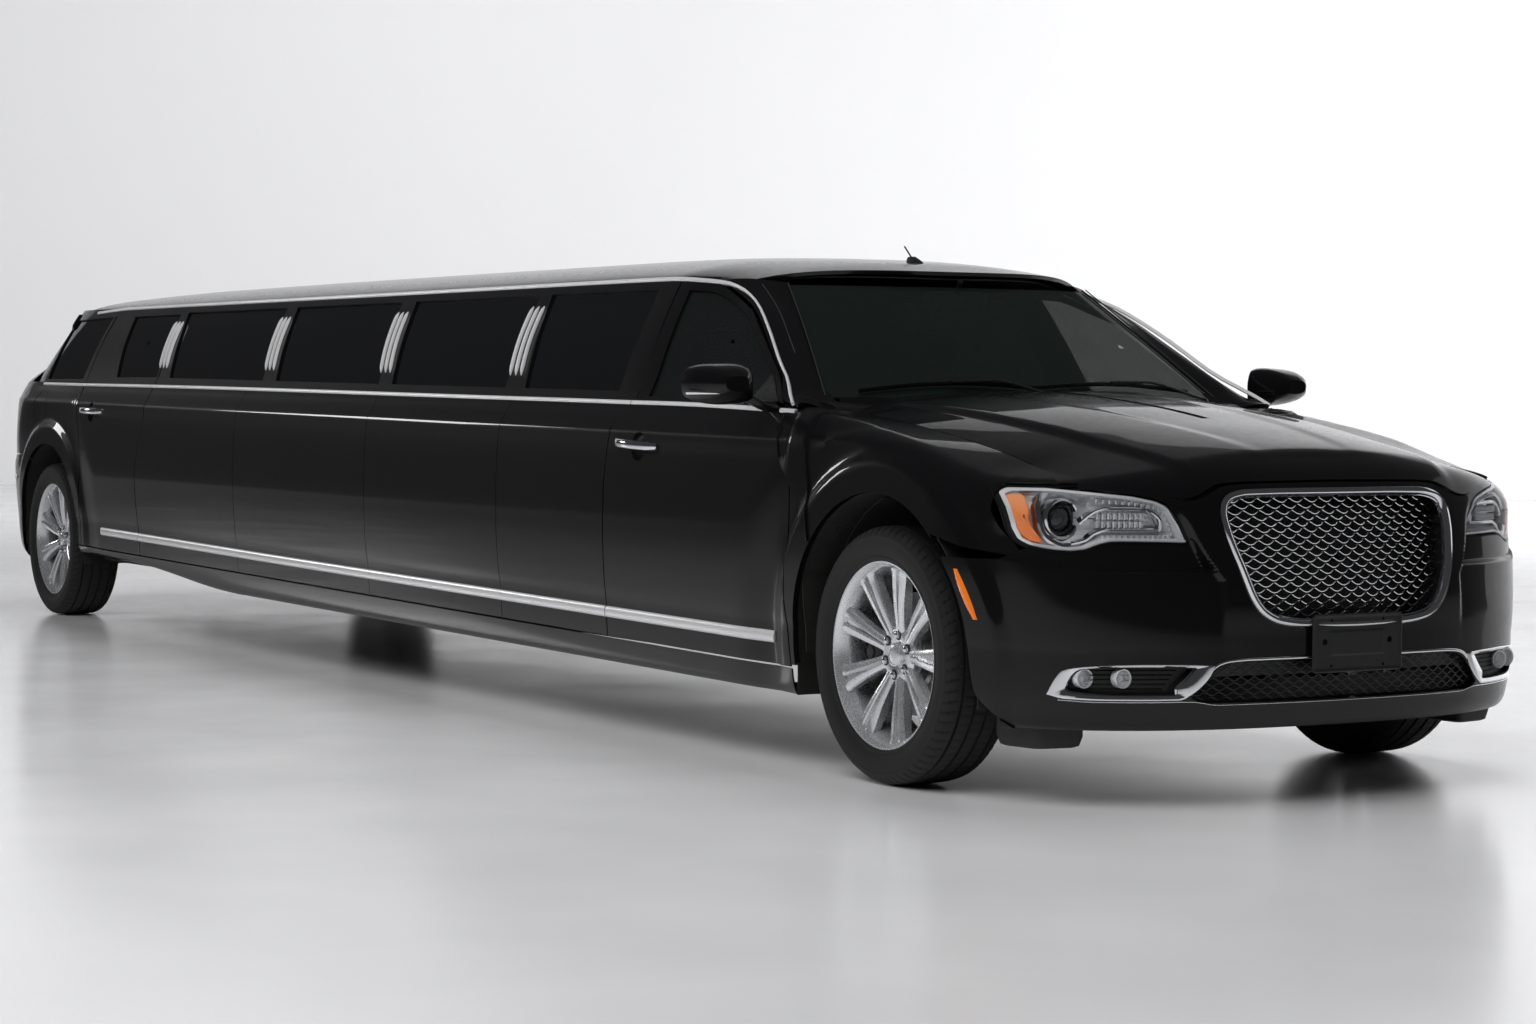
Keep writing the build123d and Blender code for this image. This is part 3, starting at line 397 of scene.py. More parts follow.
tail_inset = curve((
    (0.280, 0.110), (0.300, 0.075), (0.330, 0.045), (0.400, 0.012), (0.480, 0.000), (0.690, 0.000),
    (0.720, 0.012), (0.745, 0.050), (0.780, 0.056), (0.860, 0.050), (0.980, 0.045), (1.050, 0.045),
    (1.090, 0.056), (1.116, 0.085), (1.150, 0.130),
))
# Bonnet and wings, x ahead of the front axle: height on the centreline, at the bonnet's edge
# and at the wing's shoulder.
top_heights = curve((
    (-0.640, 1.094, 1.040, 1.054), (-0.250, 1.070, 1.004, 1.012), (0.060, 1.040, 0.961, 0.957),
    (0.300, 1.006, 0.919, 0.892), (0.430, 0.986, 0.889, 0.860), (0.600, 0.952, 0.862, 0.824),
    (0.720, 0.920, 0.842, 0.800), (0.800, 0.894, 0.826, 0.780), (0.960, 0.815, 0.780, 0.740),
))


def belt_rise(x):
    """How far the body's lines have climbed at x, going back from the windscreen's foot."""
    return 0.0092 * np.clip(front(-0.57) - x, 0, 7.2)


def plan_gap(x, y):
    """Distance outside the plan outline: straight sides, closed by a superellipse at each end."""
    ahead = np.maximum(x - NOSE_START, 0) / NOSE_REACH
    behind = np.maximum(TAIL_START - x, 0) / TAIL_REACH
    wide = np.abs(y) / HALF
    power = np.where(ahead > 0, NOSE_POWER, TAIL_POWER)
    long = ahead + behind
    size = np.maximum((wide ** power + long ** power), 1e-9) ** (1 / power)
    reach = np.hypot(y, ahead * NOSE_REACH + behind * TAIL_REACH)
    at_nose = (ahead / size) ** NOSE_POWER
    at_tail = (behind / size) ** TAIL_POWER
    return reach * (1 - 1 / size), at_nose, at_tail


def arch_flare(x, z, axle, strength):
    """Raised ring round a wheel arch, with a hollow outside it."""
    out = np.hypot(x - axle, z - ARCH_Z)
    ring = 1 - smooth((out - 0.512) / 0.046)
    hollow = smooth((out - 0.512) / 0.046) * (1 - smooth((out - 0.56) / 0.20))
    return strength * (hollow - 0.15 * ring)


def wing_dome(x, z):
    """The wing's muscle over the front wheel: flanks drawn in round a raised dome."""
    ahead = x - FRONT_AXLE
    crest = 0.985 - 0.42 * np.maximum(ahead - 0.05, 0) ** 1.3 - 0.35 * np.maximum(-ahead - 0.1, 0) ** 1.6
    band = smooth((z - crest + 0.012) / 0.024) * (1 - smooth((z - crest - 0.05) / 0.10))
    reach = smooth((ahead + 0.42) / 0.10) * (1 - smooth((ahead - 0.42) / 0.12))
    return 0.010 * band * reach


def nose_inset(y, z):
    """How far the nose is drawn in: the grille's surround, or the bumper's ledge and the pocket above it."""
    wide = np.abs(y)
    ledge = 0.620 + 0.004 * smooth((wide - 0.70) / 0.06) + 0.42 * np.maximum(wide - 0.775, 0) ** 1.15
    step = 0.036 * smooth((z - ledge) / 0.014) * (1 - smooth((z - 0.705) / 0.09))
    beside = lamp_inset(z) + step * (1 - smooth((wide - 0.87) / 0.04))
    return lerp(grille_inset(z), beside, smooth((wide - surround_edge(z)) / 0.014))


def side_field(x, y, z):
    """How far a point lies outside the side, nose and tail walls."""
    gap, at_nose, at_tail = plan_gap(x, y)
    low = np.clip(0.62 + (z - 0.213) * 5, 0.60, 1)
    drawn_in = side_inset(z - belt_rise(x) * low) * (1 - at_nose - at_tail)
    drawn_in = drawn_in + nose_inset(y, z) * at_nose + tail_inset(z) * at_tail
    on_side = 1 - smooth((at_nose + at_tail) / 0.5)
    drawn_in = drawn_in + arch_flare(x, z, FRONT_AXLE, 0.013) * on_side
    drawn_in = drawn_in + arch_flare(x, z, REAR_AXLE, 0.012) * on_side
    drawn_in = drawn_in + wing_dome(x, z) * on_side
    return gap + drawn_in


def top_field(x, y, z):
    """How far a point lies above the bonnet and the wings."""
    ahead = x - FRONT_AXLE
    wide = np.abs(y)
    mid, edge, wing = np.moveaxis(top_heights(ahead), -1, 0)
    inner = mid - (mid - edge) * np.minimum(wide / WING_EDGE, 1) ** 2.2
    slope = np.clip((wide - WING_EDGE) / (SHOULDER - WING_EDGE), 0, 1.6)
    height = inner + (wing - edge) * slope
    ridge = lerp(0.430, 0.560, np.clip((0.80 - ahead) / 1.35, 0, 1))
    height = height + 0.011 * (1 - smooth((wide - ridge) / 0.028)) * smooth((0.86 - ahead) / 0.16)
    vee = lerp(0.12, 0.30, np.clip((0.80 - ahead) / 1.35, 0, 1))
    height = height - 0.005 * (1 - smooth((wide - vee) / 0.05)) * smooth((0.80 - ahead) / 0.3)
    return z - height


def deck_field(x, y, z):
    """How far a point lies above the rear deck, whose rear edge turns up a little."""
    height = 1.118 - 0.006 * (y / 0.70) ** 2 + 0.010 * smooth((rear(-0.96) - x) / 0.09)
    return z - height


def soft_max(a, b, width):
    """Larger of two fields, with the edge between them rounded over a width."""
    share = np.clip(0.5 + 0.5 * (b - a) / width, 0, 1)
    return lerp(a, b, share) + width * share * (1 - share)


def body_field(p):
    """The side walls' field, joined softly with the bonnet's field ahead and the rear deck's behind."""
    x, y, z = p[..., 0], p[..., 1], p[..., 2]
    side = side_field(x, y, z)
    ahead, behind = x - FRONT_AXLE, REAR_AXLE - x
    lift = 0.6 * np.maximum(-0.56 - ahead, 0)
    edge = lerp(0.040, 0.085, smooth((ahead + 0.5) / 0.8)) * smooth((ahead + 0.95) / 0.40) + 0.002
    whole = np.where(ahead > -1.0, soft_max(side, top_field(x, y, z) - lift, edge), side)
    lift = 0.6 * np.maximum(0.60 - behind, 0)
    edge = 0.045 * smooth((behind - 0.30) / 0.35) + 0.002
    return np.where(behind > 0.25, soft_max(side, deck_field(x, y, z) - lift, edge), whole)


def cast(field, start, way, reach=1.3):
    """Where rays leave the body: the interval that holds the field's change of sign is halved again and
    again."""
    start = np.asarray(start, float)
    way = np.broadcast_to(np.asarray(way, float), start.shape)
    near, far = np.zeros(start.shape[:-1]), np.full(start.shape[:-1], float(reach))
    for _ in range(24):
        mid = (near + far) / 2
        inside = field(start + mid[..., None] * way) < 0
        near, far = np.where(inside, mid, near), np.where(inside, far, mid)
    return start + near[..., None] * way


def flank(x, z):
    """Points of the left side at x and z."""
    x, z = np.broadcast_arrays(x, z)
    start = spots(x, np.full(x.shape, 0.30), z)
    return cast(body_field, start, (0, 1, 0))


def over_wing(x, climb):
    """Points of the left wing: level rays up to a pivot height, then rays that turn up to the bonnet's
    edge."""
    x, climb = np.broadcast_arrays(x, climb)
    pivot = top_heights(x - FRONT_AXLE)[..., 1] - PIVOT_DROP
    angle = np.clip(climb / (1.5 * PIVOT_DROP), 0, 1) * math.pi / 2
    start = spots(x, np.full(x.shape, WING_EDGE), pivot + np.minimum(climb, 0))
    way = spots(np.zeros(x.shape), np.cos(angle), np.sin(angle))
    return cast(body_field, start, way)


# ---------------------------------------------------------------- plan of the nose and the tail
def plan_table(start, reach, power, way):
    """Plan outline from the centre of an end round the left corner, then along the flank: place, x, y
    and normal."""
    angle = np.linspace(0, math.pi / 2, 500)
    x = start + way * reach * np.cos(angle) ** (2 / power)
    y = HALF * np.sin(angle) ** (2 / power)
    x = np.concatenate([x, start - way * np.linspace(0.01, 1.6, 160)])
    y = np.concatenate([y, np.full(160, HALF)])
    place = np.concatenate([[0], np.cumsum(np.hypot(np.diff(x), np.diff(y)))])
    even = np.linspace(0, place[-1], 900)
    x, y = np.interp(even, place, x), np.interp(even, place, y)
    normal = unit(spots(way * np.gradient(y), np.abs(np.gradient(x))))
    return even, x, y, normal


NOSE_PLAN = plan_table(NOSE_START, NOSE_REACH, NOSE_POWER, 1)
TAIL_PLAN = plan_table(TAIL_START, TAIL_REACH, TAIL_POWER, -1)


def spread(low, high, count, power=1.0):
    """Even places from low to high, drawn towards both ends when the power is below one."""
    t = np.linspace(-1, 1, count)
    return low + (high - low) * (0.5 + 0.5 * np.sign(t) * np.abs(t) ** power)


def place_at_y(plan, y):
    """Place along a plan outline at a distance y from the centre."""
    return np.interp(y, plan[2][:500], plan[0][:500])


def place_at_x(plan, x):
    """Place along a plan outline at x."""
    order = np.argsort(plan[1])
    return np.interp(x, plan[1][order], plan[0][order])


def wrap(plan, s, z, deep=0.0):
    """Body points at places s along a plan outline and heights z, found by level rays square to the
    outline."""
    s, z = np.broadcast_arrays(s, z)
    nx, ny = np.interp(s, plan[0], plan[3][:, 0]), np.interp(s, plan[0], plan[3][:, 1])
    way = unit(spots(nx, ny, np.zeros(s.shape)))
    foot = spots(np.interp(s, plan[0], plan[1]), np.interp(s, plan[0], plan[2]), z)
    return cast(body_field, foot - 0.24 * way, way, 0.5) - deep * way


def inside(points, outline):
    """Which flat points lie in a closed outline: a ray to one side crosses it an odd number of times."""
    within = np.zeros(len(points), bool)
    u, v = points[:, 0], points[:, 1]
    for a, b in zip(outline, np.roll(outline, -1, axis=0)):
        crosses = (a[1] > v) != (b[1] > v)
        rise = b[1] - a[1] if b[1] != a[1] else 1e-9
        within ^= crosses & (u < (b[0] - a[0]) * (v - a[1]) / rise + a[0])
    return within


def nearest(points, outline):
    """Nearest places on a closed outline."""
    a, run = outline[None], (np.roll(outline, -1, axis=0) - outline)[None]
    share = ((points[:, None] - a) * run).sum(-1) / np.maximum((run ** 2).sum(-1), 1e-12)
    foot = a + np.clip(share, 0, 1)[..., None] * run
    best = np.linalg.norm(foot - points[:, None], axis=-1).argmin(1)
    return foot[np.arange(len(points)), best]


def pierce(s, z, outlines):
    """Flat grid without the quads in any opening; the corners left round an opening are drawn onto its
    outline."""
    faces = grid_faces(*s.shape)
    flat = spots(s.ravel(), z.ravel())
    keep = np.ones(len(faces), bool)
    for outline in outlines:
        within = inside(flat[faces].mean(1), outline)
        edge = np.intersect1d(faces[within], faces[~within])
        flat[edge] = nearest(flat[edge], outline)
        keep &= ~within
    return flat, faces[keep]


def weld(*patches):
    """One sheet from patches of (corners, faces) that share their border corners."""
    corners, faces, count = [], [], 0
    for points, quads in patches:
        points = points.reshape(-1, 3)
        corners.append(points)
        faces.append(quads + count)
        count += len(points)
    corners, faces = np.concatenate(corners), np.concatenate(faces)
    used, faces = np.unique(faces, return_inverse=True)
    corners, faces = corners[used], faces.reshape(-1, 4)
    _, first, to = np.unique(
        np.round(corners / 2e-5).astype(np.int64), axis=0, return_index=True, return_inverse=True
    )
    faces = to.ravel()[faces]
    bad = (faces == np.roll(faces, -1, axis=1)).any(1)
    return corners[first], faces[~bad]


def sheet_normals(corners, faces):
    """Normals of a sheet's corners: the sum of its faces' normals, by area."""
    a, b, c, d = np.moveaxis(corners[faces], 1, 0)
    area = np.cross(c - a, d - b)
    total = np.zeros_like(corners)
    for k in range(4):
        np.add.at(total, faces[:, k], area)
    return unit(total)


def thicken(shell, corners, faces, thickness=0.006, outward=None):
    """Add a sheet as a closed plate: the sheet, the sheet moved in, and a strip along every free edge."""
    normal = sheet_normals(corners, faces)
    if outward is not None and (normal * outward(corners)).sum() < 0:
        faces, normal = faces[:, ::-1], -normal
    a, b = faces, np.roll(faces, -1, axis=1)
    n = len(corners)
    one_way, other_way = (a * n + b).ravel(), (b * n + a).ravel()
    free = ~np.isin(one_way, other_way)
    a, b = a.ravel()[free], b.ravel()[free]
    rim = spots(b, a, a + n, b + n)
    both = np.concatenate([corners, corners - thickness * normal])
    return shell.add(both, np.concatenate([faces, faces[:, ::-1] + n, rim]))


def from_axis(p):
    """Direction from a line through the car's middle to each point."""
    middle = spots(np.clip(p[:, 0], rear(-0.2), front(0.2)), 0 * p[:, 1], 0.70)
    return p - middle


def panel(grid, thickness=0.006, shell=None):
    """Closed plate whose outer face is one grid."""
    shell = shell or Shell()
    return thicken(shell, *weld(meshed(grid)), thickness, from_axis)


def both_sides(*patches):
    """The patches and their mirror images across the car."""
    return patches + tuple((p.reshape(-1, 3) * (1, -1, 1), f[:, ::-1]) for p, f in patches)


# ---------------------------------------------------------------- greenhouse
RAIL_Z, RAIL_Y, BELT_Y = 1.451, 0.665, 0.885


def belt_z(x):
    """Height of the belt line."""
    return 1.041 + belt_rise(x)


def house(x, z, deep=0.0):
    """Points of the left side of the greenhouse: straight from belt to rail with a slight bow, drawn in
    by the screen."""
    x, z = np.broadcast_arrays(np.asarray(x, float), np.asarray(z, float))
    t = (z - belt_z(x)) / (RAIL_Z - belt_z(x))
    y = BELT_Y - 0.003 - (BELT_Y - RAIL_Y) * t + 0.012 * np.sin(math.pi * np.clip(t, 0, 1))
    y = y - 0.035 * smooth((x - front(-1.62)) / 0.45) * smooth(t / 0.25)
    y = y - 0.060 * smooth((rear(-0.10) - x) / 0.45) ** 2
    return spots(x, y - deep * 0.88, z - deep * 0.47)


def roof_z(x):
    """Height of the roof along its centreline."""
    return roof_line(x - FRONT_AXLE)


roof_line = curve((
    (-7.87, 1.450), (-7.82, 1.478), (-7.70, 1.498), (-7.46, 1.518), (-7.0, 1.530), (-6.4, 1.538),
    (-4.5, 1.542), (-2.4, 1.541), (-2.0, 1.538), (-1.45, 1.520), (-1.20, 1.500), (-1.00, 1.466),
))


def screen_point(v, z):
    """Points of the windscreen: at height z it is bowed across, x = xc - c y^2; v runs from the middle
    to its side."""
    t = (z - 1.070) / 0.350
    mid, bow = front(lerp(-0.500, -0.990, t)) + 0.012 * np.sin(math.pi * t), lerp(0.227, 0.346, t)
    y = v * lerp(0.724, 0.566, t)
    return spots(mid - bow * y ** 2, y, z + 0 * y)


def back_point(v, z):
    """Points of the back window, bowed across like the windscreen."""
    t = (z - 1.100) / 0.310
    mid, bow = rear(lerp(-0.760, -0.520, t)), 0.250
    y = v * lerp(0.760, 0.600, t)
    return spots(mid + bow * y ** 2, y, z + 0 * y)


# ---------------------------------------------------------------- settings
class LIMO_PG_looks(bpy.types.PropertyGroup):
    """Sizes and colours that a user would change"""
    paint_colour: bpy.props.FloatVectorProperty(
        name="Paint colour", description="Colour of the body paint under its clear coat", subtype="COLOR",
        size=3, min=0.0, max=1.0, default=(0.0035, 0.0035, 0.004))
    leather_colour: bpy.props.FloatVectorProperty(
        name="Leather colour", description="Colour of the seats", subtype="COLOR",
        size=3, min=0.0, max=1.0, default=(0.012, 0.012, 0.012))
    floor_colour: bpy.props.FloatVectorProperty(
        name="Floor colour", description="Colour of the poured floor", subtype="COLOR",
        size=3, min=0.0, max=1.0, default=(0.70, 0.70, 0.7125))
    privacy: bpy.props.FloatProperty(
        name="Privacy glass", description="How much light the lounge windows stop", subtype="FACTOR",
        min=0.3, max=1.0, default=0.955)
    belt_width: bpy.props.FloatProperty(
        name="Belt trim width", description="Width of the bright line under the side windows", unit="LENGTH",
        min=0.008, max=0.030, default=0.015)
    handle_size: bpy.props.FloatProperty(
        name="Handle thickness", description="Half thickness of a door handle's bar", unit="LENGTH",
        min=0.004, max=0.010, default=0.0068)


def looks():
    """The car's settings, kept on the scene."""
    return bpy.context.scene.limo_looks


def toned(colour, share):
    """A colour made lighter or darker by a share of itself."""
    return tuple(part * share for part in colour)


# ---------------------------------------------------------------- materials
class Expr:
    """Value in a shader: arithmetic on it adds Math nodes, or Vector Math nodes where it is a vector."""

    def __init__(self, shader, socket, vector=False):
        self.shader, self.socket, self.vector = shader, socket, vector

    def _math(self, operation, *values, vector=None):
        vector = self.vector if vector is None else vector
        kind = "ShaderNodeVectorMath" if vector else "ShaderNodeMath"
        node = self.shader.node(kind, {"operation": operation}, dict(enumerate(values)))
        return Expr(self.shader, node.outputs[0], vector)

    def sin(self):
        return self._math("SINE", self, vector=False)

    def above(self, limit):
        """0 below a limit and 1 above it."""
        return self._math("GREATER_THAN", self, limit, vector=False)

    def range(self, low, high, to_low, to_high):
        """Linear map of one range onto another, held at its ends."""
        node = self.shader.node("ShaderNodeMapRange", {}, {
            "Value": self, "From Min": low, "From Max": high, "To Min": to_low, "To Max": to_high})
        return Expr(self.shader, node.outputs[0])

    def axis(self, index):
        """One component of a vector."""
        node = self.shader.node("ShaderNodeSeparateXYZ", {}, {0: self})
        return Expr(self.shader, node.outputs[index])

    @classmethod
    def overload(cls, sign, operation):
        """Give the class one arithmetic sign and its reflected form."""
        setattr(cls, f"__{sign}__", lambda self, other: self._math(operation, self, other))
        setattr(cls, f"__r{sign}__", lambda self, other: self._math(operation, other, self))


for sign, operation in (("add", "ADD"), ("sub", "SUBTRACT"), ("mul", "MULTIPLY"), ("pow", "POWER")):
    Expr.overload(sign, operation)


class Shader:
    """Node tree of one material, with one Principled surface."""

    def __init__(self, name, colour, roughness=0.5, metallic=0.0, coat=0.0, **fixed):
        self.material = bpy.data.materials.new(name)
        self.material.use_nodes = True
        self.tree = self.material.node_tree
        self.surface = next(n for n in self.tree.nodes if n.type == "BSDF_PRINCIPLED")
        self.set("Base Color", colour)
        self.set("Roughness", roughness)
        self.set("Metallic", metallic)
        self.set("Coat Weight", coat)
        for name, value in fixed.items():
            self.set(name.replace("_", " "), value)
        self.place = Expr(self, self.node("ShaderNodeTexCoord").outputs["Object"], True)

    def node(self, kind, settings=None, inputs=None):
        """Add one node with its settings and inputs; an input may be a number, a colour or an expression."""
        node = self.tree.nodes.new(kind)
        for key, value in (settings or {}).items():
            setattr(node, key, value)
        for key, value in (inputs or {}).items():
            self._feed(node.inputs[key], value)
        return node

    def _feed(self, socket, value):
        if isinstance(value, Expr):
            self.tree.links.new(value.socket, socket)
        elif socket.type == "RGBA" and len(value) == 3:
            socket.default_value = (*value, 1.0)
        elif socket.type == "VECTOR" and not hasattr(value, "__len__"):
            socket.default_value = (value, value, value)
        else:
            socket.default_value = value

    def set(self, name, value):
        """Set or link one input of the surface."""
        self._feed(self.surface.inputs[name], value)

    def noise(self, scale, detail=2.0, rough=0.5, stretch=None):
        """Fractal noise over the object, from 0 to 1."""
        place = self.place * stretch if stretch else self.place
        node = self.node("ShaderNodeTexNoise", {}, {
            "Vector": place, "Scale": scale, "Detail": detail, "Roughness": rough})
        return Expr(self, node.outputs[0])

    def cells(self, scale, feature="F1"):
        """Cell pattern over the object."""
        node = self.node("ShaderNodeTexVoronoi", {"feature": feature}, {"Vector": self.place, "Scale": scale})
        return Expr(self, node.outputs["Distance"])

    def mix(self, share, a, b):
        """Colour between two colours."""
        node = self.node("ShaderNodeMix", {"data_type": "RGBA"})
        self._feed(node.inputs[0], share)
        self._feed(node.inputs[6], a)
        self._feed(node.inputs[7], b)
        return Expr(self, node.outputs[2])

    def bump(self, height, strength, distance=0.001):
        """Small relief on the surface."""
        node = self.node("ShaderNodeBump", {}, {"Height": height, "Strength": strength, "Distance": distance})
        self.surface.inputs["Normal"].default_value = (0, 0, 0)
        self.tree.links.new(node.outputs[0], self.surface.inputs["Normal"])
        return self

    def facing(self):
        """0 where a surface faces the viewer and 1 at its edge."""
        node = self.node("ShaderNodeLayerWeight", {}, {"Blend": 0.5})
        return Expr(self, node.outputs["Facing"])


def paint():
    """Deep black gloss: near-black base under a clear coat with fine orange peel and a trace of dust low
    down."""
    shader = Shader("black_gloss_paint", (0.004, 0.004, 0.0045), 0.32, coat=0.6, Coat_Roughness=0.025,
                    Specular_IOR_Level=0.06)
    dust = shader.noise(3.0, 5.0) * shader.place.axis(2).range(0.15, 0.55, 1.0, 0.0)
    shader.set("Base Color", shader.mix(dust * 0.5, tuple(looks().paint_colour), (0.012, 0.0115, 0.011)))
    shader.set("Roughness", 0.30 + 0.10 * shader.noise(40.0, 3.0))
    return shader.bump(shader.noise(160.0, 2.0), 0.012).material


def chrome():
    """Bright plated metal with faint polishing haze."""
    shader = Shader("bright_chrome", (0.80, 0.81, 0.82), 0.08, 1.0)
    haze = shader.noise(30.0, 4.0)
    shader.set("Roughness", 0.05 + 0.10 * haze)
    shader.set("Base Color", shader.mix(haze, (0.86, 0.87, 0.88), (0.72, 0.73, 0.75)))
    return shader.material


def mirror_silver():
    """Silvered mirror with a faint haze of wiping marks."""
    shader = Shader("mirror_silver", (0.80, 0.82, 0.84), 0.02, 1.0)
    haze = shader.noise(9.0, 4.0, 0.6, (1.0, 3.0, 0.6))
    shader.set("Base Color", shader.mix(haze, (0.78, 0.80, 0.82), (0.84, 0.85, 0.86)))
    shader.set("Roughness", 0.015 + 0.05 * haze)
    return shader.material


def bright_trim():
    """Brushed bright trim: pale satin metal with a fine grain along the car."""
    shader = Shader("bright_trim", (0.80, 0.80, 0.81), 0.3, 0.45, coat=0.3, Coat_Roughness=0.05)
    grain = shader.noise(60.0, 4.0, 0.6, (0.2, 8.0, 8.0))
    shader.set("Base Color", shader.mix(grain, (0.74, 0.74, 0.75), (0.88, 0.88, 0.89)))
    shader.set("Roughness", 0.22 + 0.16 * grain)
    return shader.bump(grain, 0.04).material


def alloy():
    """Polished silver alloy: satin metal with fine turning marks."""
    shader = Shader("polished_alloy", (0.70, 0.71, 0.73), 0.18, 0.80, coat=0.4, Coat_Roughness=0.05)
    grain = shader.noise(220.0, 3.0)
    shader.set("Roughness", 0.20 + 0.12 * grain)
    shader.set("Base Color", shader.mix(shader.noise(9.0, 4.0), (0.86, 0.87, 0.89), (0.72, 0.73, 0.75)))
    return shader.bump(grain, 0.03).material


def rubber(name="tyre_rubber", tone=0.012):
    """Matt black rubber with a fine mottled grain."""
    shader = Shader(name, (tone, tone, tone), 0.75)
    mottle = shader.noise(26.0, 5.0)
    dark, light = (tone * 0.7,) * 3, (tone * 1.5,) * 3
    shader.set("Base Color", shader.mix(mottle, dark, light))
    shader.set("Roughness", 0.62 + 0.20 * mottle)
    return shader.bump(shader.noise(420.0, 3.0), 0.15).material


def plastic(name="black_plastic", tone=0.012, rough=0.5, grain=900.0):
    """Black moulded plastic with a pebbled grain."""
    shader = Shader(name, (tone, tone, tone), rough)
    pebble = shader.cells(grain)
    shader.set("Base Color", shader.mix(shader.noise(12.0, 3.0), (tone * 0.8,) * 3, (tone * 1.3,) * 3))
    shader.set("Roughness", (rough - 0.06) + 0.14 * shader.noise(60.0, 3.0))
    return shader.bump(pebble, 0.12).material


def glass(name, tint, alpha, rough=0.015):
    """Tinted pane: a dark skin that lets part of the light through and mirrors more towards its edges."""
    shader = Shader(name, tint, rough, Specular_IOR_Level=0.5)
    haze = shader.noise(5.0, 4.0)
    shader.set("Roughness", rough + 0.02 * haze)
    edge = shader.facing() ** 4.0
    shader.set("Alpha", alpha + (1.0 - alpha) * 0.6 * edge)
    return shader.material


def leather(name, tone, scale=260.0):
    """Leather: small rounded cells with creases between them, and slow variation in tone and sheen."""
    shader = Shader(name, tone, 0.45, coat=0.08)
    cell = shader.cells(scale, feature="SMOOTH_F1")
    wear = shader.noise(7.0, 5.0)
    shader.set("Base Color", shader.mix(wear, toned(tone, 0.7), toned(tone, 1.35)))
    shader.set("Roughness", 0.36 + 0.22 * shader.noise(24.0, 4.0))
    return shader.bump(cell + 0.4 * shader.noise(900.0, 3.0), 0.35).material


def disc_steel():
    """Turned steel: grey speckled darker with a trace of rust, and a fine relief."""
    shader = Shader("turned_disc_steel", (0.45, 0.45, 0.46), 0.3, 1.0)
    speck = shader.noise(60.0, 5.0)
    shader.set("Base Color", shader.mix(speck, (0.50, 0.50, 0.51), (0.32, 0.31, 0.30)))
    shader.set("Roughness", 0.24 + 0.2 * shader.noise(30.0, 4.0))
    return shader.bump(shader.noise(300.0, 2.0), 0.1).material


def reflector():
    """Vacuum-coated reflector: bright, with fine fluting in its relief."""
    shader = Shader("bright_reflector", (0.82, 0.83, 0.85), 0.16, 0.40, coat=0.4, Coat_Roughness=0.04)
    flute = (shader.place.axis(1) * 900.0).sin() + (shader.place.axis(2) * 900.0).sin()
    shader.set("Roughness", 0.10 + 0.12 * shader.noise(40.0, 4.0))
    shader.set("Base Color", shader.mix(shader.noise(25.0, 3.0), (0.90, 0.91, 0.93), (0.66, 0.67, 0.70)))
    return shader.bump(flute, 0.10).material


def amber():
    """Amber reflector: moulded prisms under a smooth skin, paler towards the top, with a faint painted glow
    that glints in the prism cells.
    """
    shader = Shader("amber_reflector", (0.80, 0.25, 0.05), 0.22, coat=1.0, Coat_Roughness=0.04)
    prism_and_glint = shader.cells(240.0, feature="F1")
    height = shader.place.axis(2).range(0.70, 0.82, 0.0, 1.0)
    shader.set("Base Color", shader.mix(height, (0.80, 0.17, 0.01), (0.66, 0.27, 0.12)))
    # Painted glow and glint: emission in the prism cells, though the reflector is no lit lamp.
    shader.set("Emission Color", shader.mix(prism_and_glint, (0.30, 0.06, 0.0), (0.10, 0.02, 0.0)))
    shader.surface.inputs["Emission Strength"].default_value = 0.35
    return shader.bump(prism_and_glint, 0.5).material


def cast_metal():
    """Rough cast iron and alloy: grey with darker grime in patches."""
    shader = Shader("cast_metal", (0.10, 0.10, 0.105), 0.6, 0.7)
    grime = shader.noise(22.0, 6.0)
    shader.set("Base Color", shader.mix(grime, (0.13, 0.13, 0.135), (0.05, 0.047, 0.043)))
    shader.set("Roughness", 0.45 + 0.3 * grime)
    return shader.bump(shader.noise(180.0, 4.0), 0.3).material


def carpet():
    """Cut-pile carpet: dark tufts with lighter tips."""
    shader = Shader("cut_pile_carpet", (0.016, 0.016, 0.018), 0.95)
    tuft = shader.cells(700.0)
    shader.set(
        "Base Color", shader.mix(shader.noise(15.0, 4.0), (0.010, 0.010, 0.011), (0.026, 0.026, 0.028))
    )
    shader.set("Roughness", 0.88 + 0.1 * tuft)
    return shader.bump(tuft, 0.8, 0.002).material


def headliner():
    """Grey woven headliner."""
    shader = Shader("headliner_cloth", (0.16, 0.16, 0.155), 0.9)
    weave = (shader.place.axis(0) * 2400.0).sin() * (shader.place.axis(1) * 2400.0).sin()
    shader.set("Base Color", shader.mix(shader.noise(4.0, 4.0), (0.13, 0.13, 0.125), (0.19, 0.19, 0.18)))
    shader.set("Roughness", 0.84 + 0.1 * shader.noise(80.0))
    return shader.bump(weave, 0.3).material


def wood():
    """Dark burr veneer under lacquer: rings about a wandering axis."""
    shader = Shader("lacquered_veneer", (0.06, 0.022, 0.010), 0.3, coat=1.0, Coat_Roughness=0.05)
    drift = shader.noise(3.0, 5.0, 0.6, (1.0, 4.0, 4.0))
    ring = ((drift * 60.0).sin() + 1.0) * 0.5
    shader.set("Base Color", shader.mix(ring, (0.030, 0.010, 0.005), (0.115, 0.045, 0.018)))
    shader.set("Roughness", 0.25 + 0.15 * drift)
    return shader.material


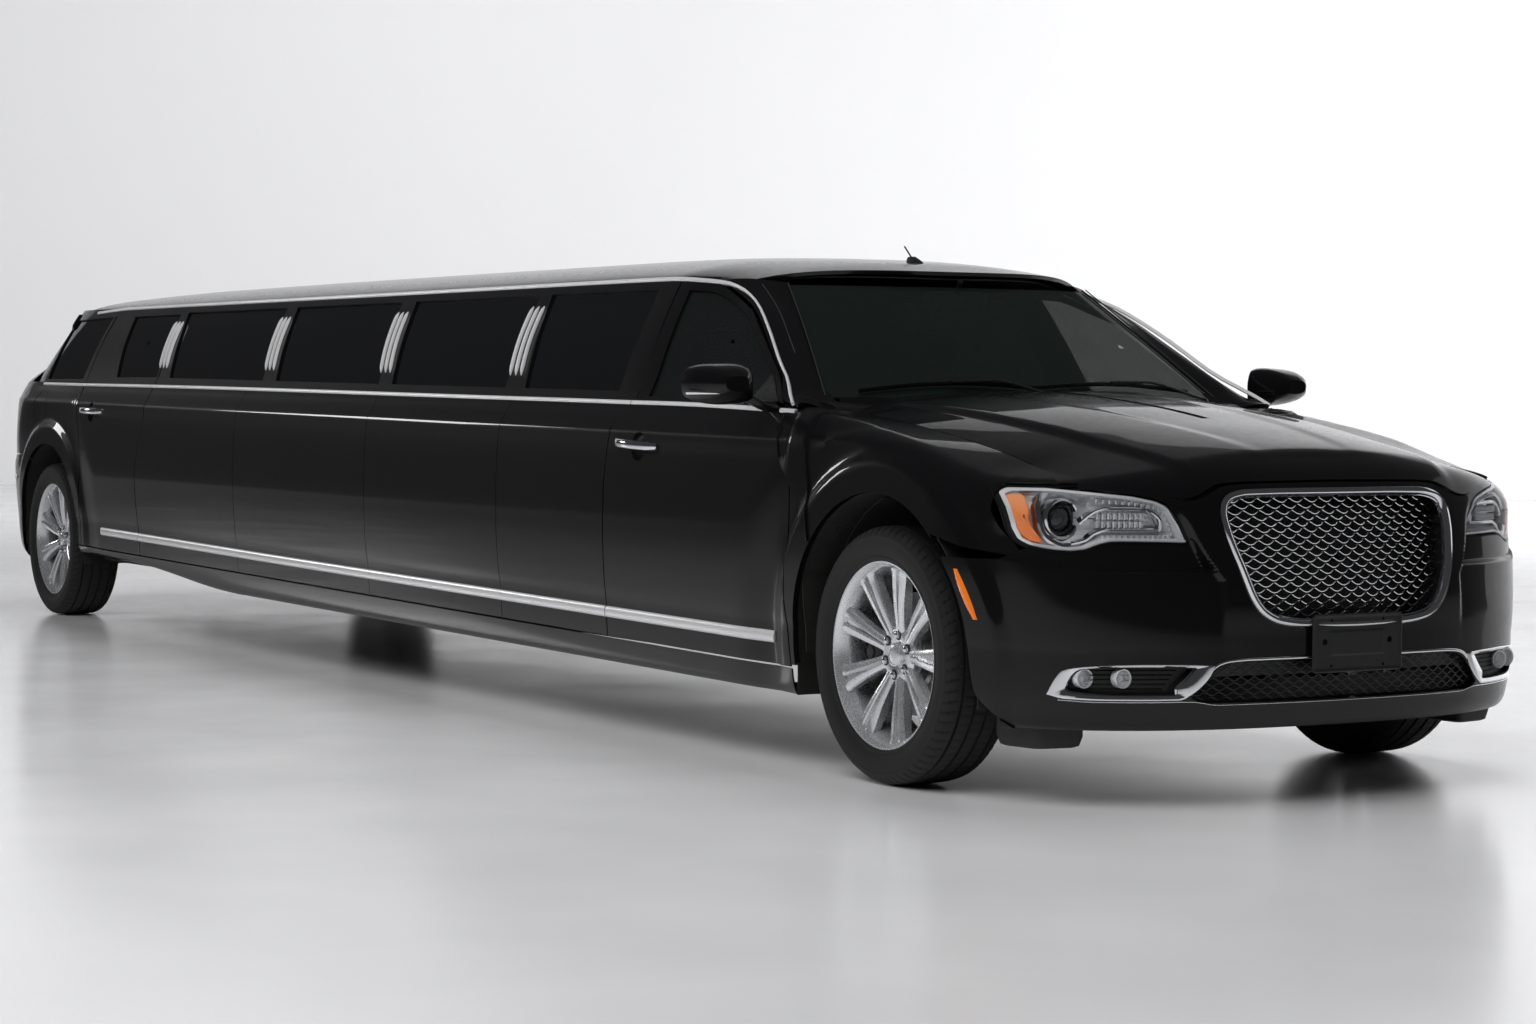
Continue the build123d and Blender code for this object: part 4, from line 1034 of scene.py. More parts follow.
def dial_screen():
    """Unlit glass display with a faint grid of segments."""
    shader = Shader("display_glass", (0.008, 0.010, 0.014), 0.08, coat=1.0)
    line = (shader.place.axis(1) * 420.0).sin().above(0.97) + (shader.place.axis(2) * 420.0).sin().above(0.97)
    shader.set("Base Color", shader.mix(line * 0.5, (0.006, 0.008, 0.012), (0.05, 0.07, 0.10)))
    shader.set("Roughness", 0.06 + 0.05 * shader.noise(20.0))
    return shader.material


def under_steel():
    """Chassis steel: satin black coating, dusty, worn lighter in patches."""
    shader = Shader("chassis_steel", (0.03, 0.03, 0.031), 0.55, 0.3)
    dirt = shader.noise(9.0, 6.0)
    shader.set("Base Color", shader.mix(dirt, (0.018, 0.018, 0.019), (0.075, 0.068, 0.058)))
    shader.set("Roughness", 0.45 + 0.4 * dirt)
    return shader.bump(shader.noise(120.0, 5.0), 0.3).material


def under_coating():
    """Sprayed underbody coating: black with a coarse orange-peel relief."""
    shader = Shader("underbody_coating", (0.012, 0.012, 0.012), 0.8)
    shader.set("Base Color", shader.mix(shader.noise(6.0, 5.0), (0.008, 0.008, 0.008), (0.028, 0.026, 0.023)))
    shader.set("Roughness", 0.68 + 0.25 * shader.noise(30.0, 4.0))
    return shader.bump(shader.cells(150.0), 0.6, 0.002).material


def exhaust_steel():
    """Stainless pipe, blued and browned by heat in bands."""
    shader = Shader("exhaust_steel", (0.35, 0.33, 0.31), 0.35, 0.95)
    heat = shader.noise(2.2, 4.0, 0.6, (2.0, 1.0, 1.0))
    shader.set(
        "Base Color", shader.mix(heat.range(0.35, 0.65, 0.0, 1.0), (0.38, 0.36, 0.33), (0.20, 0.15, 0.11))
    )
    shader.set("Roughness", 0.28 + 0.3 * shader.noise(40.0, 4.0))
    return shader.bump(shader.noise(200.0, 3.0), 0.15).material


MATERIALS = {}


def material(name):
    """Material by name, made once."""
    makers = {
        "paint": paint,
        "chrome": chrome,
        "trim": bright_trim,
        "alloy": alloy,
        "tyre": rubber,
        "disc": disc_steel,
        "reflector": reflector,
        "lamp_glass": lambda: glass("fluted_lamp_glass", (0.75, 0.77, 0.78), 0.25, 0.05),
        "lamp_cover": lambda: glass("clear_lamp_cover", (0.02, 0.021, 0.022), 0.04, 0.01),
        "thick_lens": lambda: glass("projector_glass", (0.05, 0.055, 0.06), 0.75, 0.01),
        "amber": amber,
        "cast": cast_metal,
        "seal": lambda: rubber("seal_rubber", 0.006),
        "plastic": plastic,
        "satin": lambda: plastic("satin_black_plastic", 0.006, 0.28, 1500.0),
        "dark_glass": lambda: glass("privacy_glass", (0.004, 0.0045, 0.005), looks().privacy),
        "smoked_glass": lambda: glass("smoked_door_glass", (0.010, 0.012, 0.012), 0.62),
        "screen_glass": lambda: glass("windscreen_glass", (0.012, 0.017, 0.015), 0.40),
        "mirror": mirror_silver,
        "tail_red": lambda: glass("red_tail_lens", (0.30, 0.006, 0.008), 0.72, 0.04),
        "plate": lambda: plastic("blank_plate", 0.6, 0.4, 500.0),
        "carpet": carpet,
        "headliner": headliner,
        "wood": wood,
        "dial": dial_screen,
        "steel": under_steel,
        "coated": under_coating,
        "exhaust": exhaust_steel,
        "black_leather": lambda: leather("black_leather", tuple(looks().leather_colour)),
        "floor": floor_material,
        "backdrop": wall_material,
    }
    if name not in MATERIALS:
        MATERIALS[name] = makers[name]()
    return MATERIALS[name]


# ---------------------------------------------------------------- body panels
HEIGHTS = np.array((
    0.294, 0.306, 0.320, 0.340, 0.365, 0.390, 0.410, 0.425, 0.440, 0.458, 0.480, 0.510, 0.550, 0.600,
    0.660, 0.720, 0.780, 0.830, 0.880, 0.910, 0.930, 0.941, 0.949, 0.954, 0.959, 0.965, 0.973, 0.984,
    0.998, 1.013, 1.028, 1.041,
))
BONNET_EDGE = curve((
    (0.000, 0.857), (0.300, 0.854), (0.375, 0.849), (0.415, 0.834), (0.455, 0.817), (0.490, 0.811),
    (0.530, 0.818), (0.600, 0.836), (0.680, 0.848), (0.757, 0.855),
))
DOOR_AHEAD = ((0.300, -0.455), (0.486, -0.478), (0.948, -0.460), (1.023, -0.417), (1.056, -0.600))
DOOR_BEHIND = ((0.300, -1.600), (0.800, -1.604), (0.975, -1.585), (1.050, -1.525))
REAR_DOOR_AHEAD = ((0.330, 1.280), (0.718, 1.250), (0.939, 1.340), (1.078, 1.325), (1.110, 1.310))
REAR_DOOR_BEHIND = ((0.330, 0.480), (0.837, 0.463), (1.090, 0.395), (1.110, 0.388))


def line_x(table, origin):
    """Function giving x along the car from a height, through (height, x from an axle) points."""
    z, x = np.array(table).T
    return lambda height: origin(np.interp(height, z, x))


door_ahead, door_behind = line_x(DOOR_AHEAD, front), line_x(DOOR_BEHIND, front)
rear_door_ahead, rear_door_behind = line_x(REAR_DOOR_AHEAD, rear), line_x(REAR_DOOR_BEHIND, rear)


def flank_grid(behind, ahead, columns, heights=HEIGHTS, power=1.0):
    """Grid of the flank between two edges given as x at a height; the rows follow the climbing belt line."""
    share = spread(0, 1, columns, power)[None, :]
    rough = (behind(0.7) + ahead(0.7)) / 2
    level = heights + belt_rise(rough)
    x = lerp(behind(level)[:, None], ahead(level)[:, None], share)
    return flank(x, heights[:, None] + belt_rise(x))


def build_bonnet():
    """Bonnet: upright rays over its length, then rays fanning forward about a line to its front edge."""
    across = spread(-1, 1, 91)[None, :]
    back = front(-0.600)
    x = np.linspace(back, front(0.55), 52)[:, None]
    wide = WING_EDGE - GAP + 0.055 * smooth((x - front(0.38)) / 0.28)
    cowl = front(-0.600) + 0.100 * (1 - across ** 2) + GAP
    x = lerp(cowl, front(0.55), (x - back) / (front(0.55) - back))
    start = spots(x, wide * across, 0.80)
    top = cast(body_field, start, (0, 0, 1))
    turn = np.linspace(0, 1, 24)[1:, None]
    y = lerp(wide[-1], 0.757, turn) * across
    edge = wrap(NOSE_PLAN, place_at_y(NOSE_PLAN, np.abs(y)), BONNET_EDGE(np.abs(y)) + GAP)
    last = np.arctan2(edge[..., 2] - 0.80, edge[..., 0] - front(0.55))
    angle = lerp(math.pi / 2, last, turn)
    start = spots(front(0.55), y, 0.80)
    way = spots(np.cos(angle), 0 * y, np.sin(angle))
    fan = cast(body_field, start, way)
    return panel(np.concatenate([top, fan]), 0.010)


def climb_of(points):
    """Climb of points on the wing: the inverse of over_wing."""
    pivot = top_heights(points[..., 0] - FRONT_AXLE)[..., 1] - PIVOT_DROP
    rise, out = points[..., 2] - pivot, points[..., 1] - WING_EDGE
    return np.where(rise < 0, rise, np.arctan2(rise, out) / (math.pi / 2) * 1.5 * PIVOT_DROP)


FULL_CLIMB = 1.5 * PIVOT_DROP    # climb at the bonnet's edge
LAMP_END = 0.490                 # the headlamp's outer end, x ahead of the front axle
WING_FOOT = 0.655                # seam between wing and bumper


def arch_rim(axle, degrees):
    """Points of a wheel arch's rim as (x, z), at angles up from straight ahead."""
    angle = np.radians(degrees)
    return axle + ARCH_R * np.cos(angle), ARCH_Z + ARCH_R * np.sin(angle)


def build_wing():
    """Front wing: ruled from the arch to the door, the bonnet, the lamp and the bumper, plus its tip
    over the lamp."""
    low, high = 50.2, 189.9
    x_foot, lamp_x = front(0.580), front(LAMP_END) - 0.006
    edge_low = [
        (x_foot, WING_FOOT + GAP), (front(0.560), 0.690), (front(0.520), 0.732), (front(LAMP_END), 0.780),
        (lamp_x, 0.848)
    ]
    edge_low = straight(edge_low, 7)
    low_climb = climb_of(flank(edge_low[:, 0], edge_low[:, 1]))
    corner = flank(lamp_x, 0.848)
    up = np.linspace(climb_of(corner), FULL_CLIMB, 14)
    seam_up = spots(lamp_x, up)[1:]
    back_top = np.linspace(lamp_x, front(-0.640), 60)[1:]
    along_top = spots(back_top, FULL_CLIMB)
    tongue = flank(front(-0.600) - GAP, 1.058)
    down = np.linspace(FULL_CLIMB, climb_of(tongue), 12)[1:]
    behind = spots(np.linspace(front(-0.640), front(-0.600) - GAP, 12)[1:], down)
    door_z = straight([(-0.600, 1.058, 0), (-0.417, 1.026, 0)], 12)[1:, :2]
    door_x, door_z = front(door_z[:, 0]) + GAP, door_z[:, 1] + 0.002
    upper = spots(door_x, climb_of(flank(door_x, door_z)))
    z = np.linspace(1.020, 0.300, 44)
    x = door_ahead(z) + GAP
    lower = spots(x, climb_of(flank(x, z)))
    outer = np.concatenate([spots(edge_low[:, 0], low_climb), seam_up, along_top, behind, upper, lower])
    centre = np.arctan2(outer[:, 1] + 0.75 - ARCH_Z, outer[:, 0] - FRONT_AXLE)
    angle = np.degrees(np.unwrap(centre))
    angle = np.maximum.accumulate(angle)
    angle = low + (high - low) * (angle - angle[0]) / (angle[-1] - angle[0])
    arch_x, arch_z = arch_rim(FRONT_AXLE, angle)
    arch = spots(arch_x, climb_of(flank(arch_x, arch_z)))
    share = (np.linspace(0, 1, 34) ** 1.25)[:, None, None]
    flat = lerp(arch[None], outer[None], share)
    body = over_wing(flat[..., 0], flat[..., 1])
    first = len(edge_low) - 1
    join = flat[-1, first:first + 14]
    tip_low = np.linspace(0, 1, 22)
    s = lerp(place_at_x(NOSE_PLAN, lamp_x), place_at_y(NOSE_PLAN, 0.772), tip_low)
    lamp_top = wrap(NOSE_PLAN, s, 0.848)
    rim = over_wing(*join.T)
    seam_y = WING_EDGE + 0.062 * smooth((lamp_top[:, 0] - front(0.38)) / 0.28)
    foot = spots(lamp_top[:, 0], np.minimum(seam_y, lamp_top[:, 1] - 0.002), 0.70)
    crest = cast(body_field, foot, (0, 0, 1))
    up = ((join[:, 1] - join[0, 1]) / (join[-1, 1] - join[0, 1]))[:, None, None]
    flat_low = spots(lamp_top[:, 0], climb_of(lamp_top))
    flat_high = spots(crest[:, 0], climb_of(crest))
    tip = over_wing(*np.moveaxis(lerp(flat_low[None], flat_high[None], up), -1, 0))
    tip[:, 0] = rim
    sheet = weld(meshed(body), meshed(tip))
    return thicken(Shell(), *sheet, SKIN, from_axis)


# |y| of the nose at even places along its plan, one row for each height.
NOSE_STEPS = np.linspace(0, place_at_x(NOSE_PLAN, front(0.20)), 260)
NOSE_LEVELS = np.linspace(0.20, 0.92, 361)
NOSE_TABLE = np.maximum.accumulate(wrap(NOSE_PLAN, NOSE_STEPS[None, :], NOSE_LEVELS[:, None])[..., 1], axis=1)


def nose_places(points):
    """Places along the nose's plan of body points given as (|y|, height) rows."""
    points = np.asarray(points, float)
    row = (points[:, 1] - NOSE_LEVELS[0]) / (NOSE_LEVELS[1] - NOSE_LEVELS[0])
    low = np.clip(row.astype(int), 0, len(NOSE_LEVELS) - 2)
    rows = lerp(NOSE_TABLE[low], NOSE_TABLE[low + 1], (row - low)[:, None])
    s = [np.interp(y, found, NOSE_STEPS) for y, found in zip(points[:, 0], rows)]
    return spots(s, points[:, 1])


# Openings in the nose, each as (|y|, height) corners of its left half or of the left one of a pair.
GRILLE = (
    (-0.10, 0.824), (0.220, 0.824), (0.352, 0.822), (0.392, 0.800), (0.392, 0.765), (0.377, 0.690),
    (0.352, 0.615), (0.324, 0.552), (0.285, 0.507), (0.225, 0.488), (0.140, 0.480), (-0.10, 0.478)
)
HEADLAMP = ((0.472, 0.700), (0.490, 0.740), (0.528, 0.798), (0.556, 0.813), (0.615, 0.826), (0.700, 0.836),
            (0.784, 0.846), (0.850, 0.846), (0.874, 0.832), (0.878, 0.800), (0.872, 0.737), (0.860, 0.702),
            (0.838, 0.684), (0.800, 0.674), (0.760, 0.671), (0.728, 0.675), (0.700, 0.688), (0.671, 0.696),
            (0.480, 0.692))
INTAKE = ((-0.10, 0.392), (0.250, 0.392), (0.380, 0.388), (0.425, 0.372), (0.458, 0.340), (0.500, 0.296),
          (0.470, 0.280), (-0.10, 0.280))
FOG = (
    (0.485, 0.374), (0.611, 0.376), (0.751, 0.370), (0.772, 0.348), (0.778, 0.322), (0.770, 0.313),
    (0.690, 0.304), (0.531, 0.304), (0.532, 0.318)
)


def build_front_bumper():
    """Nose below the bonnet: a (place, height) grid cut for the grille, the lamps, the intake and the
    fog lamps."""
    ends = np.array([
        (0.655, 0.3355), (0.56, 0.396), (0.47, 0.4265), (0.375, 0.437), (0.30, 0.452), (0.25, 0.500),
        (0.205, 0.560)
    ])[::-1]
    end = curve(ends)
    mid = place_at_y(NOSE_PLAN, 0.90)
    share = np.linspace(0, 1, 172)[None, :]
    up = np.concatenate([
        np.linspace(0, 0.60, 56), np.linspace(0.60, 0.74, 50)[1:], np.linspace(0.74, 1, 24)[1:]
    ])[:, None]
    low = 0.208
    y_of = np.interp(np.linspace(0, place_at_x(NOSE_PLAN, front(0.3)), 400), NOSE_PLAN[0], NOSE_PLAN[2])
    s_of = np.linspace(0, place_at_x(NOSE_PLAN, front(0.3)), 400)
    top_edge = np.interp(s_of, [place_at_y(NOSE_PLAN, 0.757), place_at_y(NOSE_PLAN, 0.80),
                                place_at_y(NOSE_PLAN, 0.84), place_at_y(NOSE_PLAN, 0.90)],
                         [0.855, 0.80, 0.70, WING_FOOT]) - GAP
    flat = y_of <= 0.757
    top_edge[flat] = BONNET_EDGE(y_of[flat]) - GAP
    top_z = lambda s: np.interp(s, s_of, top_edge)
    s = mid * share + 0 * up
    z = low + up * (top_z(s) - low)
    rear_share = np.linspace(0, 1, 34)[None, 1:]
    z2 = low + up * (WING_FOOT - GAP - low)
    last = place_at_x(NOSE_PLAN, front(end(z2)))
    s2 = lerp(mid, last, rear_share)
    z2 = np.broadcast_to(z2, s2.shape)
    s, z = np.concatenate([s, s2], axis=1), np.concatenate([z, z2], axis=1)
    openings = [rounded(nose_places(o), 0.02) for o in (GRILLE, HEADLAMP, INTAKE, FOG)]
    flat, faces = pierce(s, z, openings)
    points = wrap(NOSE_PLAN, flat[:, 0], flat[:, 1])
    return thicken(Shell(), *weld(*both_sides((points, faces))), SKIN, from_axis)


CUP_R = 0.045                    # radius of the cup behind a door handle
FRONT_CUP = (front(-1.385), 0.912)
REAR_CUP = (rear(0.632), 0.967)


def door_skin(behind, ahead, cup, columns):
    """Door skin below the belt: a grid drawn together round the handle's cup and cut out there."""
    spot = (cup[0] - behind(cup[1])) / (ahead(cup[1]) - behind(cup[1]))
    near = spot + np.linspace(-0.055, 0.055, 21)
    share = np.linspace(0, 1, columns)
    share = np.concatenate([share[np.abs(share - spot) > 0.065], near])
    share = np.sort(share)[None, :]
    level = cup[1] - belt_rise(cup[0])
    rows = HEIGHTS[(HEIGHTS < level - 0.055) | (HEIGHTS > level + 0.052)]
    rows = np.sort(np.concatenate([rows, level + np.linspace(-0.05, 0.048, 20)]))[:, None]
    rough = (behind(0.7) + ahead(0.7)) / 2
    x = lerp(behind(rows + belt_rise(rough)), ahead(rows + belt_rise(rough)), share)
    ring = round_section(CUP_R, 40) + cup
    flat, faces = pierce(x, rows + belt_rise(x), [ring])
    points = flank(flat[:, 0], flat[:, 1])
    return thicken(Shell(), *weld((points, faces)), SKIN, from_axis)


def build_front_door():
    """Skin of the front door below the belt."""
    return door_skin(lambda z: door_behind(z) + GAP, lambda z: door_ahead(z) - GAP, FRONT_CUP, 40)


def build_rear_door():
    """Skin of the rear door below the belt."""
    return door_skin(lambda z: rear_door_behind(z) + GAP, lambda z: rear_door_ahead(z) - GAP, REAR_CUP, 40)


PANEL_SEAMS = (-2.380, -3.510, -4.850)


def build_middle_wall():
    """Long wall between the doors: four panels with narrow seams between, and the sill below the doors."""
    shell = Shell()
    edges = [lambda z: rear_door_ahead(z) + GAP]
    for place in PANEL_SEAMS[::-1]:
        edges.append(lambda z, place=place: front(place + 0.030 * (1.0 - z) - 0.02 * np.sin(2.2 * z)))
    edges.append(lambda z: door_behind(z) - GAP)
    for number, (behind, ahead) in enumerate(zip(edges[:-1], edges[1:])):
        first, last = (0.0015 if number else 0), (0.0015 if number < 3 else 0)
        grid = flank_grid(lambda z: behind(z) + first, lambda z: ahead(z) - last, 10)
        panel(grid, 0.006, shell)
    low = np.array((0.2135, 0.218, 0.225, 0.235, 0.250, 0.268, 0.282, 0.288))[:, None]
    x = np.linspace(rear(0.444), front(-0.452), 60)[None, :]
    climb = 0.058 * smooth((front(-4.9) - x) / 1.35)
    low = low + belt_rise(x) * np.clip(0.62 + (low - 0.213) * 5, 0.6, 1)
    wall = flank(x, low)
    wall[..., 2] += climb * (low[-1:] - low) / (low[-1:] - low[:1])
    under = wall[:1] + np.array([(0.0, -0.10, 0.01), (0.0, -0.05, 0.0)])[:, None]
    panel(np.concatenate([under, wall]), 0.005, shell)
    return shell


TAIL_TOP = 0.753                 # top of the rear bumper
LID_SIDE, LID_FRONT = 0.643, -0.860
DECK_PIVOT = 1.050


def orbit(px, py, azimuth, height, climb):
    """Rays round a pivot: level at a height below the deck's pivot, then rising to upright as climb goes
    0 to 1."""
    px, py, azimuth, height, climb = np.broadcast_arrays(px, py, azimuth, height, climb)
    rise = climb * math.pi / 2
    way = spots(np.cos(rise) * np.cos(azimuth), np.cos(rise) * np.sin(azimuth), np.sin(rise))
    return cast(body_field, spots(px, py, height), way)


def build_quarter():
    """Rear quarter: ruled from the arch to the door, the belt and the bumper, then turned round the
    tail's corner."""
    belt, turn_x = 1.105, rear(-0.444)
    door_z = np.linspace(0.352, belt, 36)
    corner = [(rear_door_behind(z) - GAP, z) for z in door_z]
    top = [(x, belt) for x in np.linspace(rear(0.385), turn_x, 34)[1:]]
    down = [(turn_x, z) for z in np.linspace(belt, TAIL_TOP, 22)[1:]]
    low = [(turn_x, z) for z in np.linspace(TAIL_TOP, 0.376, 16)[1:]]
    outer = np.array(corner + top + down + low)
    angle = np.degrees(np.unwrap(np.arctan2(outer[:, 1] - ARCH_Z, outer[:, 0] - REAR_AXLE)))
    angle = np.clip(np.maximum.accumulate(angle), -4.0, 180)
    arch = spots(*arch_rim(REAR_AXLE, angle))
    share = (np.linspace(0, 1, 30) ** 1.2)[:, None, None]
    flat = lerp(arch[None], outer[None], share)
    main = flank(flat[..., 0], flat[..., 1])
    x = np.linspace(turn_x, rear(LID_FRONT), 14)
    azimuth = np.radians(np.linspace(90, 180, 40))[1:]
    px = np.concatenate([x, np.full(39, rear(LID_FRONT))])[None, :]
    around = np.concatenate([np.full(14, math.pi / 2), azimuth])[None, :]
    height = np.linspace(TAIL_TOP, belt, 22)
    height = np.concatenate([height[height < DECK_PIVOT], np.full(13, DECK_PIVOT)])[:, None]
    level = len(height) - 13
    climb = np.concatenate([np.zeros(level), np.linspace(0, 0.985, 14)[1:]])[:, None]
    wall = orbit(px, LID_SIDE + GAP, around, height, climb)
    number = np.broadcast_to(np.arange(px.shape[1])[None, :], wall.shape[:2]).astype(float)
    outline = rounded(TAIL_LAMP_FIELD, 1.2)
    flat, faces = pierce(number, wall[..., 2] * 100, [outline])
    moved = np.abs(flat - spots(number.ravel(), wall[..., 2].ravel() * 100)).max(1) > 1e-9
    points = wall.reshape(-1, 3).copy()
    column = np.clip(flat[moved, 0], 0, px.shape[1] - 1)
    az = np.interp(column, np.arange(px.shape[1]), around[0])
    foot = np.interp(column, np.arange(px.shape[1]), px[0])
    points[moved] = orbit(foot, LID_SIDE + GAP, az, flat[moved, 1] / 100, 0.0)
    return thicken(Shell(), *weld(meshed(main), (points, faces)), SKIN, from_axis)


# Tail lamp outline on the corner: column number of the corner's grid, and height in centimetres.
TAIL_LAMP_FIELD = np.array(((12.4, 78.5), (13.2, 102.5), (50.5, 103.5), (51.2, 96.0), (50.8, 77.5)))


def build_rear_bumper():
    """Rear bumper, from the arch round the tail."""
    up = np.array((
        0.246, 0.262, 0.285, 0.31, 0.33, 0.36, 0.39, 0.42, 0.46, 0.50, 0.56, 0.62, 0.67, 0.69, 0.705, 0.72,
        0.735, 0.747
    ))[:, None]
    end = curve(((0.20, -0.56), (0.25, -0.50), (0.30, -0.462), (0.375, -0.444), (0.80, -0.444)))
    last = place_at_x(TAIL_PLAN, rear(end(up)))
    s = last * np.linspace(0, 1, 110)[None, :]
    grid = wrap(TAIL_PLAN, s, up)
    sheet = weld(*both_sides(meshed(grid)))
    return thicken(Shell(), *sheet, SKIN, from_axis)


def build_lid():
    """Boot lid: level rays up the tail, then rays turned upright over the deck."""
    y = spread(-1, 1, 61)[None, :] * (LID_SIDE - GAP)
    height = np.linspace(0.763, DECK_PIVOT, 18)
    height = np.concatenate([height, np.full(24, DECK_PIVOT)])[:, None]
    climb = np.concatenate([np.zeros(18), np.linspace(0, 1, 25)[1:]])[:, None]
    plate_recess = smooth((0.36 - np.abs(y)) / 0.03) * smooth((height - 0.80) / 0.02)
    plate_recess = plate_recess * (1 - smooth((height - 0.955) / 0.02)) * (climb == 0)
    grid = orbit(rear(LID_FRONT) + GAP, y, math.pi, height, climb)
    grid[..., 0] += 0.018 * plate_recess
    return panel(grid, 0.010)


def build_rear_deck():
    """Strip between the back window and the boot lid."""
    y = np.linspace(-1, 1, 41)[None, :] * (LID_SIDE - GAP)
    t = np.linspace(0, 1, 10)[:, None]
    ahead = rear(-0.700)
    x = lerp(rear(LID_FRONT) + 3 * GAP, ahead, t) + 0 * y
    start = spots(x, y, 1.0)
    return panel(cast(body_field, start, (0, 0, 1)), 0.010)


# ---------------------------------------------------------------- roof, pillars and glass
DOOR_FRAME = (
    (-0.600, 1.050), (-0.735, 1.128), (-0.897, 1.226), (-1.090, 1.335), (-1.275, 1.397), (-1.365, 1.424),
    (-1.590, 1.440), (-1.508, 1.044)
)
DOOR_GLASS = (
    (-0.665, 1.062), (-0.760, 1.122), (-0.916, 1.212), (-1.106, 1.318), (-1.285, 1.378), (-1.372, 1.400),
    (-1.514, 1.408), (-1.440, 1.062)
)
REAR_FRAME = ((1.328, 1.100), (1.244, 1.270), (1.160, 1.440), (0.700, 1.440), (0.270, 1.440), (0.330, 1.270),
              (0.391, 1.100))
REAR_DOOR_GLASS = (
    (1.304, 1.122), (1.226, 1.265), (1.146, 1.408), (0.870, 1.408), (0.540, 1.408), (0.650, 1.265),
    (0.780, 1.122)
)
QUARTER_PANE = ((0.322, 1.118), (0.228, 1.412), (-0.320, 1.402), (-0.205, 1.118))
# Lounge windows, x ahead of the front axle: belt ends and rail ends.
LOUNGE_PANES = (
    (-5.844, -4.749, -6.080, -4.917), (-4.607, -3.576, -4.809, -3.759), (-3.456, -2.494, -3.630, -2.582),
    (-2.338, -1.653, -2.489, -1.716)
)
PANE_Z = (0.034, 1.414)          # above the belt, and height of the upper edge
SCREEN_Z = (1.072, 1.420)
BACK_Z = (1.100, 1.410)


def strip(shell, lower, upper, rows=8, thickness=0.012, deep=0.0, columns=24):
    """Plate on the greenhouse ruled between a lower and an upper line, each given as two (x, height)
    ends or more."""
    lower, upper = np.asarray(lower, float), np.asarray(upper, float)
    t = np.linspace(0, 1, columns)
    low = np.stack([np.interp(t, np.linspace(0, 1, len(lower)), lower[:, k]) for k in (0, 1)], axis=-1)
    high = np.stack([np.interp(t, np.linspace(0, 1, len(upper)), upper[:, k]) for k in (0, 1)], axis=-1)
    flat = lerp(low[None], high[None], np.linspace(0, 1, rows)[:, None, None])
    return panel(house(flat[..., 0], flat[..., 1], deep), thickness, shell)


def frame_between(shell, outer, inner, origin, per=10, thickness=0.014, across=4):
    """Window frame ruled between two open lines of (x, height) corners that correspond one to one."""
    outer, inner = straight(outer, per), straight(inner, per)
    flat = lerp(outer[None], inner[None], np.linspace(0, 1, across)[:, None, None])
    return panel(house(origin(flat[..., 0]), flat[..., 1]), thickness, shell)


def pane(shell, outline, origin, deep=0.008, rows=10, columns=20, thickness=0.004, grow=0.010):
    """Glass pane on the greenhouse: a quarter-by-quarter blend of its four sides, set in behind the frame."""
    corners = np.asarray(outline, float)
    middle = corners.mean(0)
    corners = corners + grow * unit(corners - middle)
    u = np.linspace(0, 1, columns)[None, :, None]
    v = np.linspace(0, 1, rows)[:, None, None]
    a, b, c, d = corners
    flat = lerp(lerp(a, b, v), lerp(d, c, v), u)
    return panel(house(origin(flat[..., 0]), flat[..., 1], deep), thickness, shell)


def outline_pane(shell, outline, origin, deep=0.008, thickness=0.004, grow=0.008, rings=7):
    """Glass pane of any outline: rings shrinking from its edge towards its middle, the last one filled."""
    edge = straight(np.concatenate([outline, outline[:1]]), 8)[:-1]
    middle = edge.mean(0)
    edge = edge + grow * unit(edge - middle)
    share = np.linspace(1, 0.04, rings)[:, None, None]
    flat = middle + share * (edge[None] - middle)
    grid = house(origin(flat[..., 0]), flat[..., 1], deep)
    faces = grid_faces(rings, len(edge), wrap_columns=True)
    return thicken(shell, *weld((grid, faces)), thickness, from_axis)


def pillar_points(t):
    """Screen pillar: ruled from the door frame's upper line in to the windscreen's side, with a rounded
    section."""
    rail = bent([(-0.530, 1.046), (-0.600, 1.053), (-0.735, 1.131), (-0.897, 1.229), (-1.090, 1.338),
                 (-1.275, 1.401), (-1.365, 1.428)], 6)
    out = house(front(rail[:, 0] + 0.006), rail[:, 1] + 0.003)
    height = np.interp(np.linspace(0, 1, len(out)), [0, 0.15, 1], [1.030, 1.090, 1.424])
    inner = screen_point(np.full(len(out), 1.0), height)
    t = np.asarray(t, float)[:, None, None]
    rounding = 0.016 * np.sin(math.pi * t ** 0.7) * np.array([0.3, 0.65, 0.7])
    return lerp(out[None], inner[None], t) + rounding


def pillar_c(shell):
    """Rear pillar: from the quarter glass round the corner to the back window's side."""
    z = np.linspace(1.098, 1.424, 20)
    x = rear(lerp(-0.190, -0.335, (z - 1.098) / 0.326))
    out = house(x, z)
    inner = back_point(np.full(20, 1.0), z)
    t = np.linspace(0, 1, 16)[:, None, None]
    square = spots(inner[:, 0] + 0.16, out[:, 1] - 0.004, z)
    curve_between = (1 - t) ** 2 * out[None] + 2 * t * (1 - t) * square[None] + t * t * inner[None]
    return panel(curve_between, 0.012, shell)


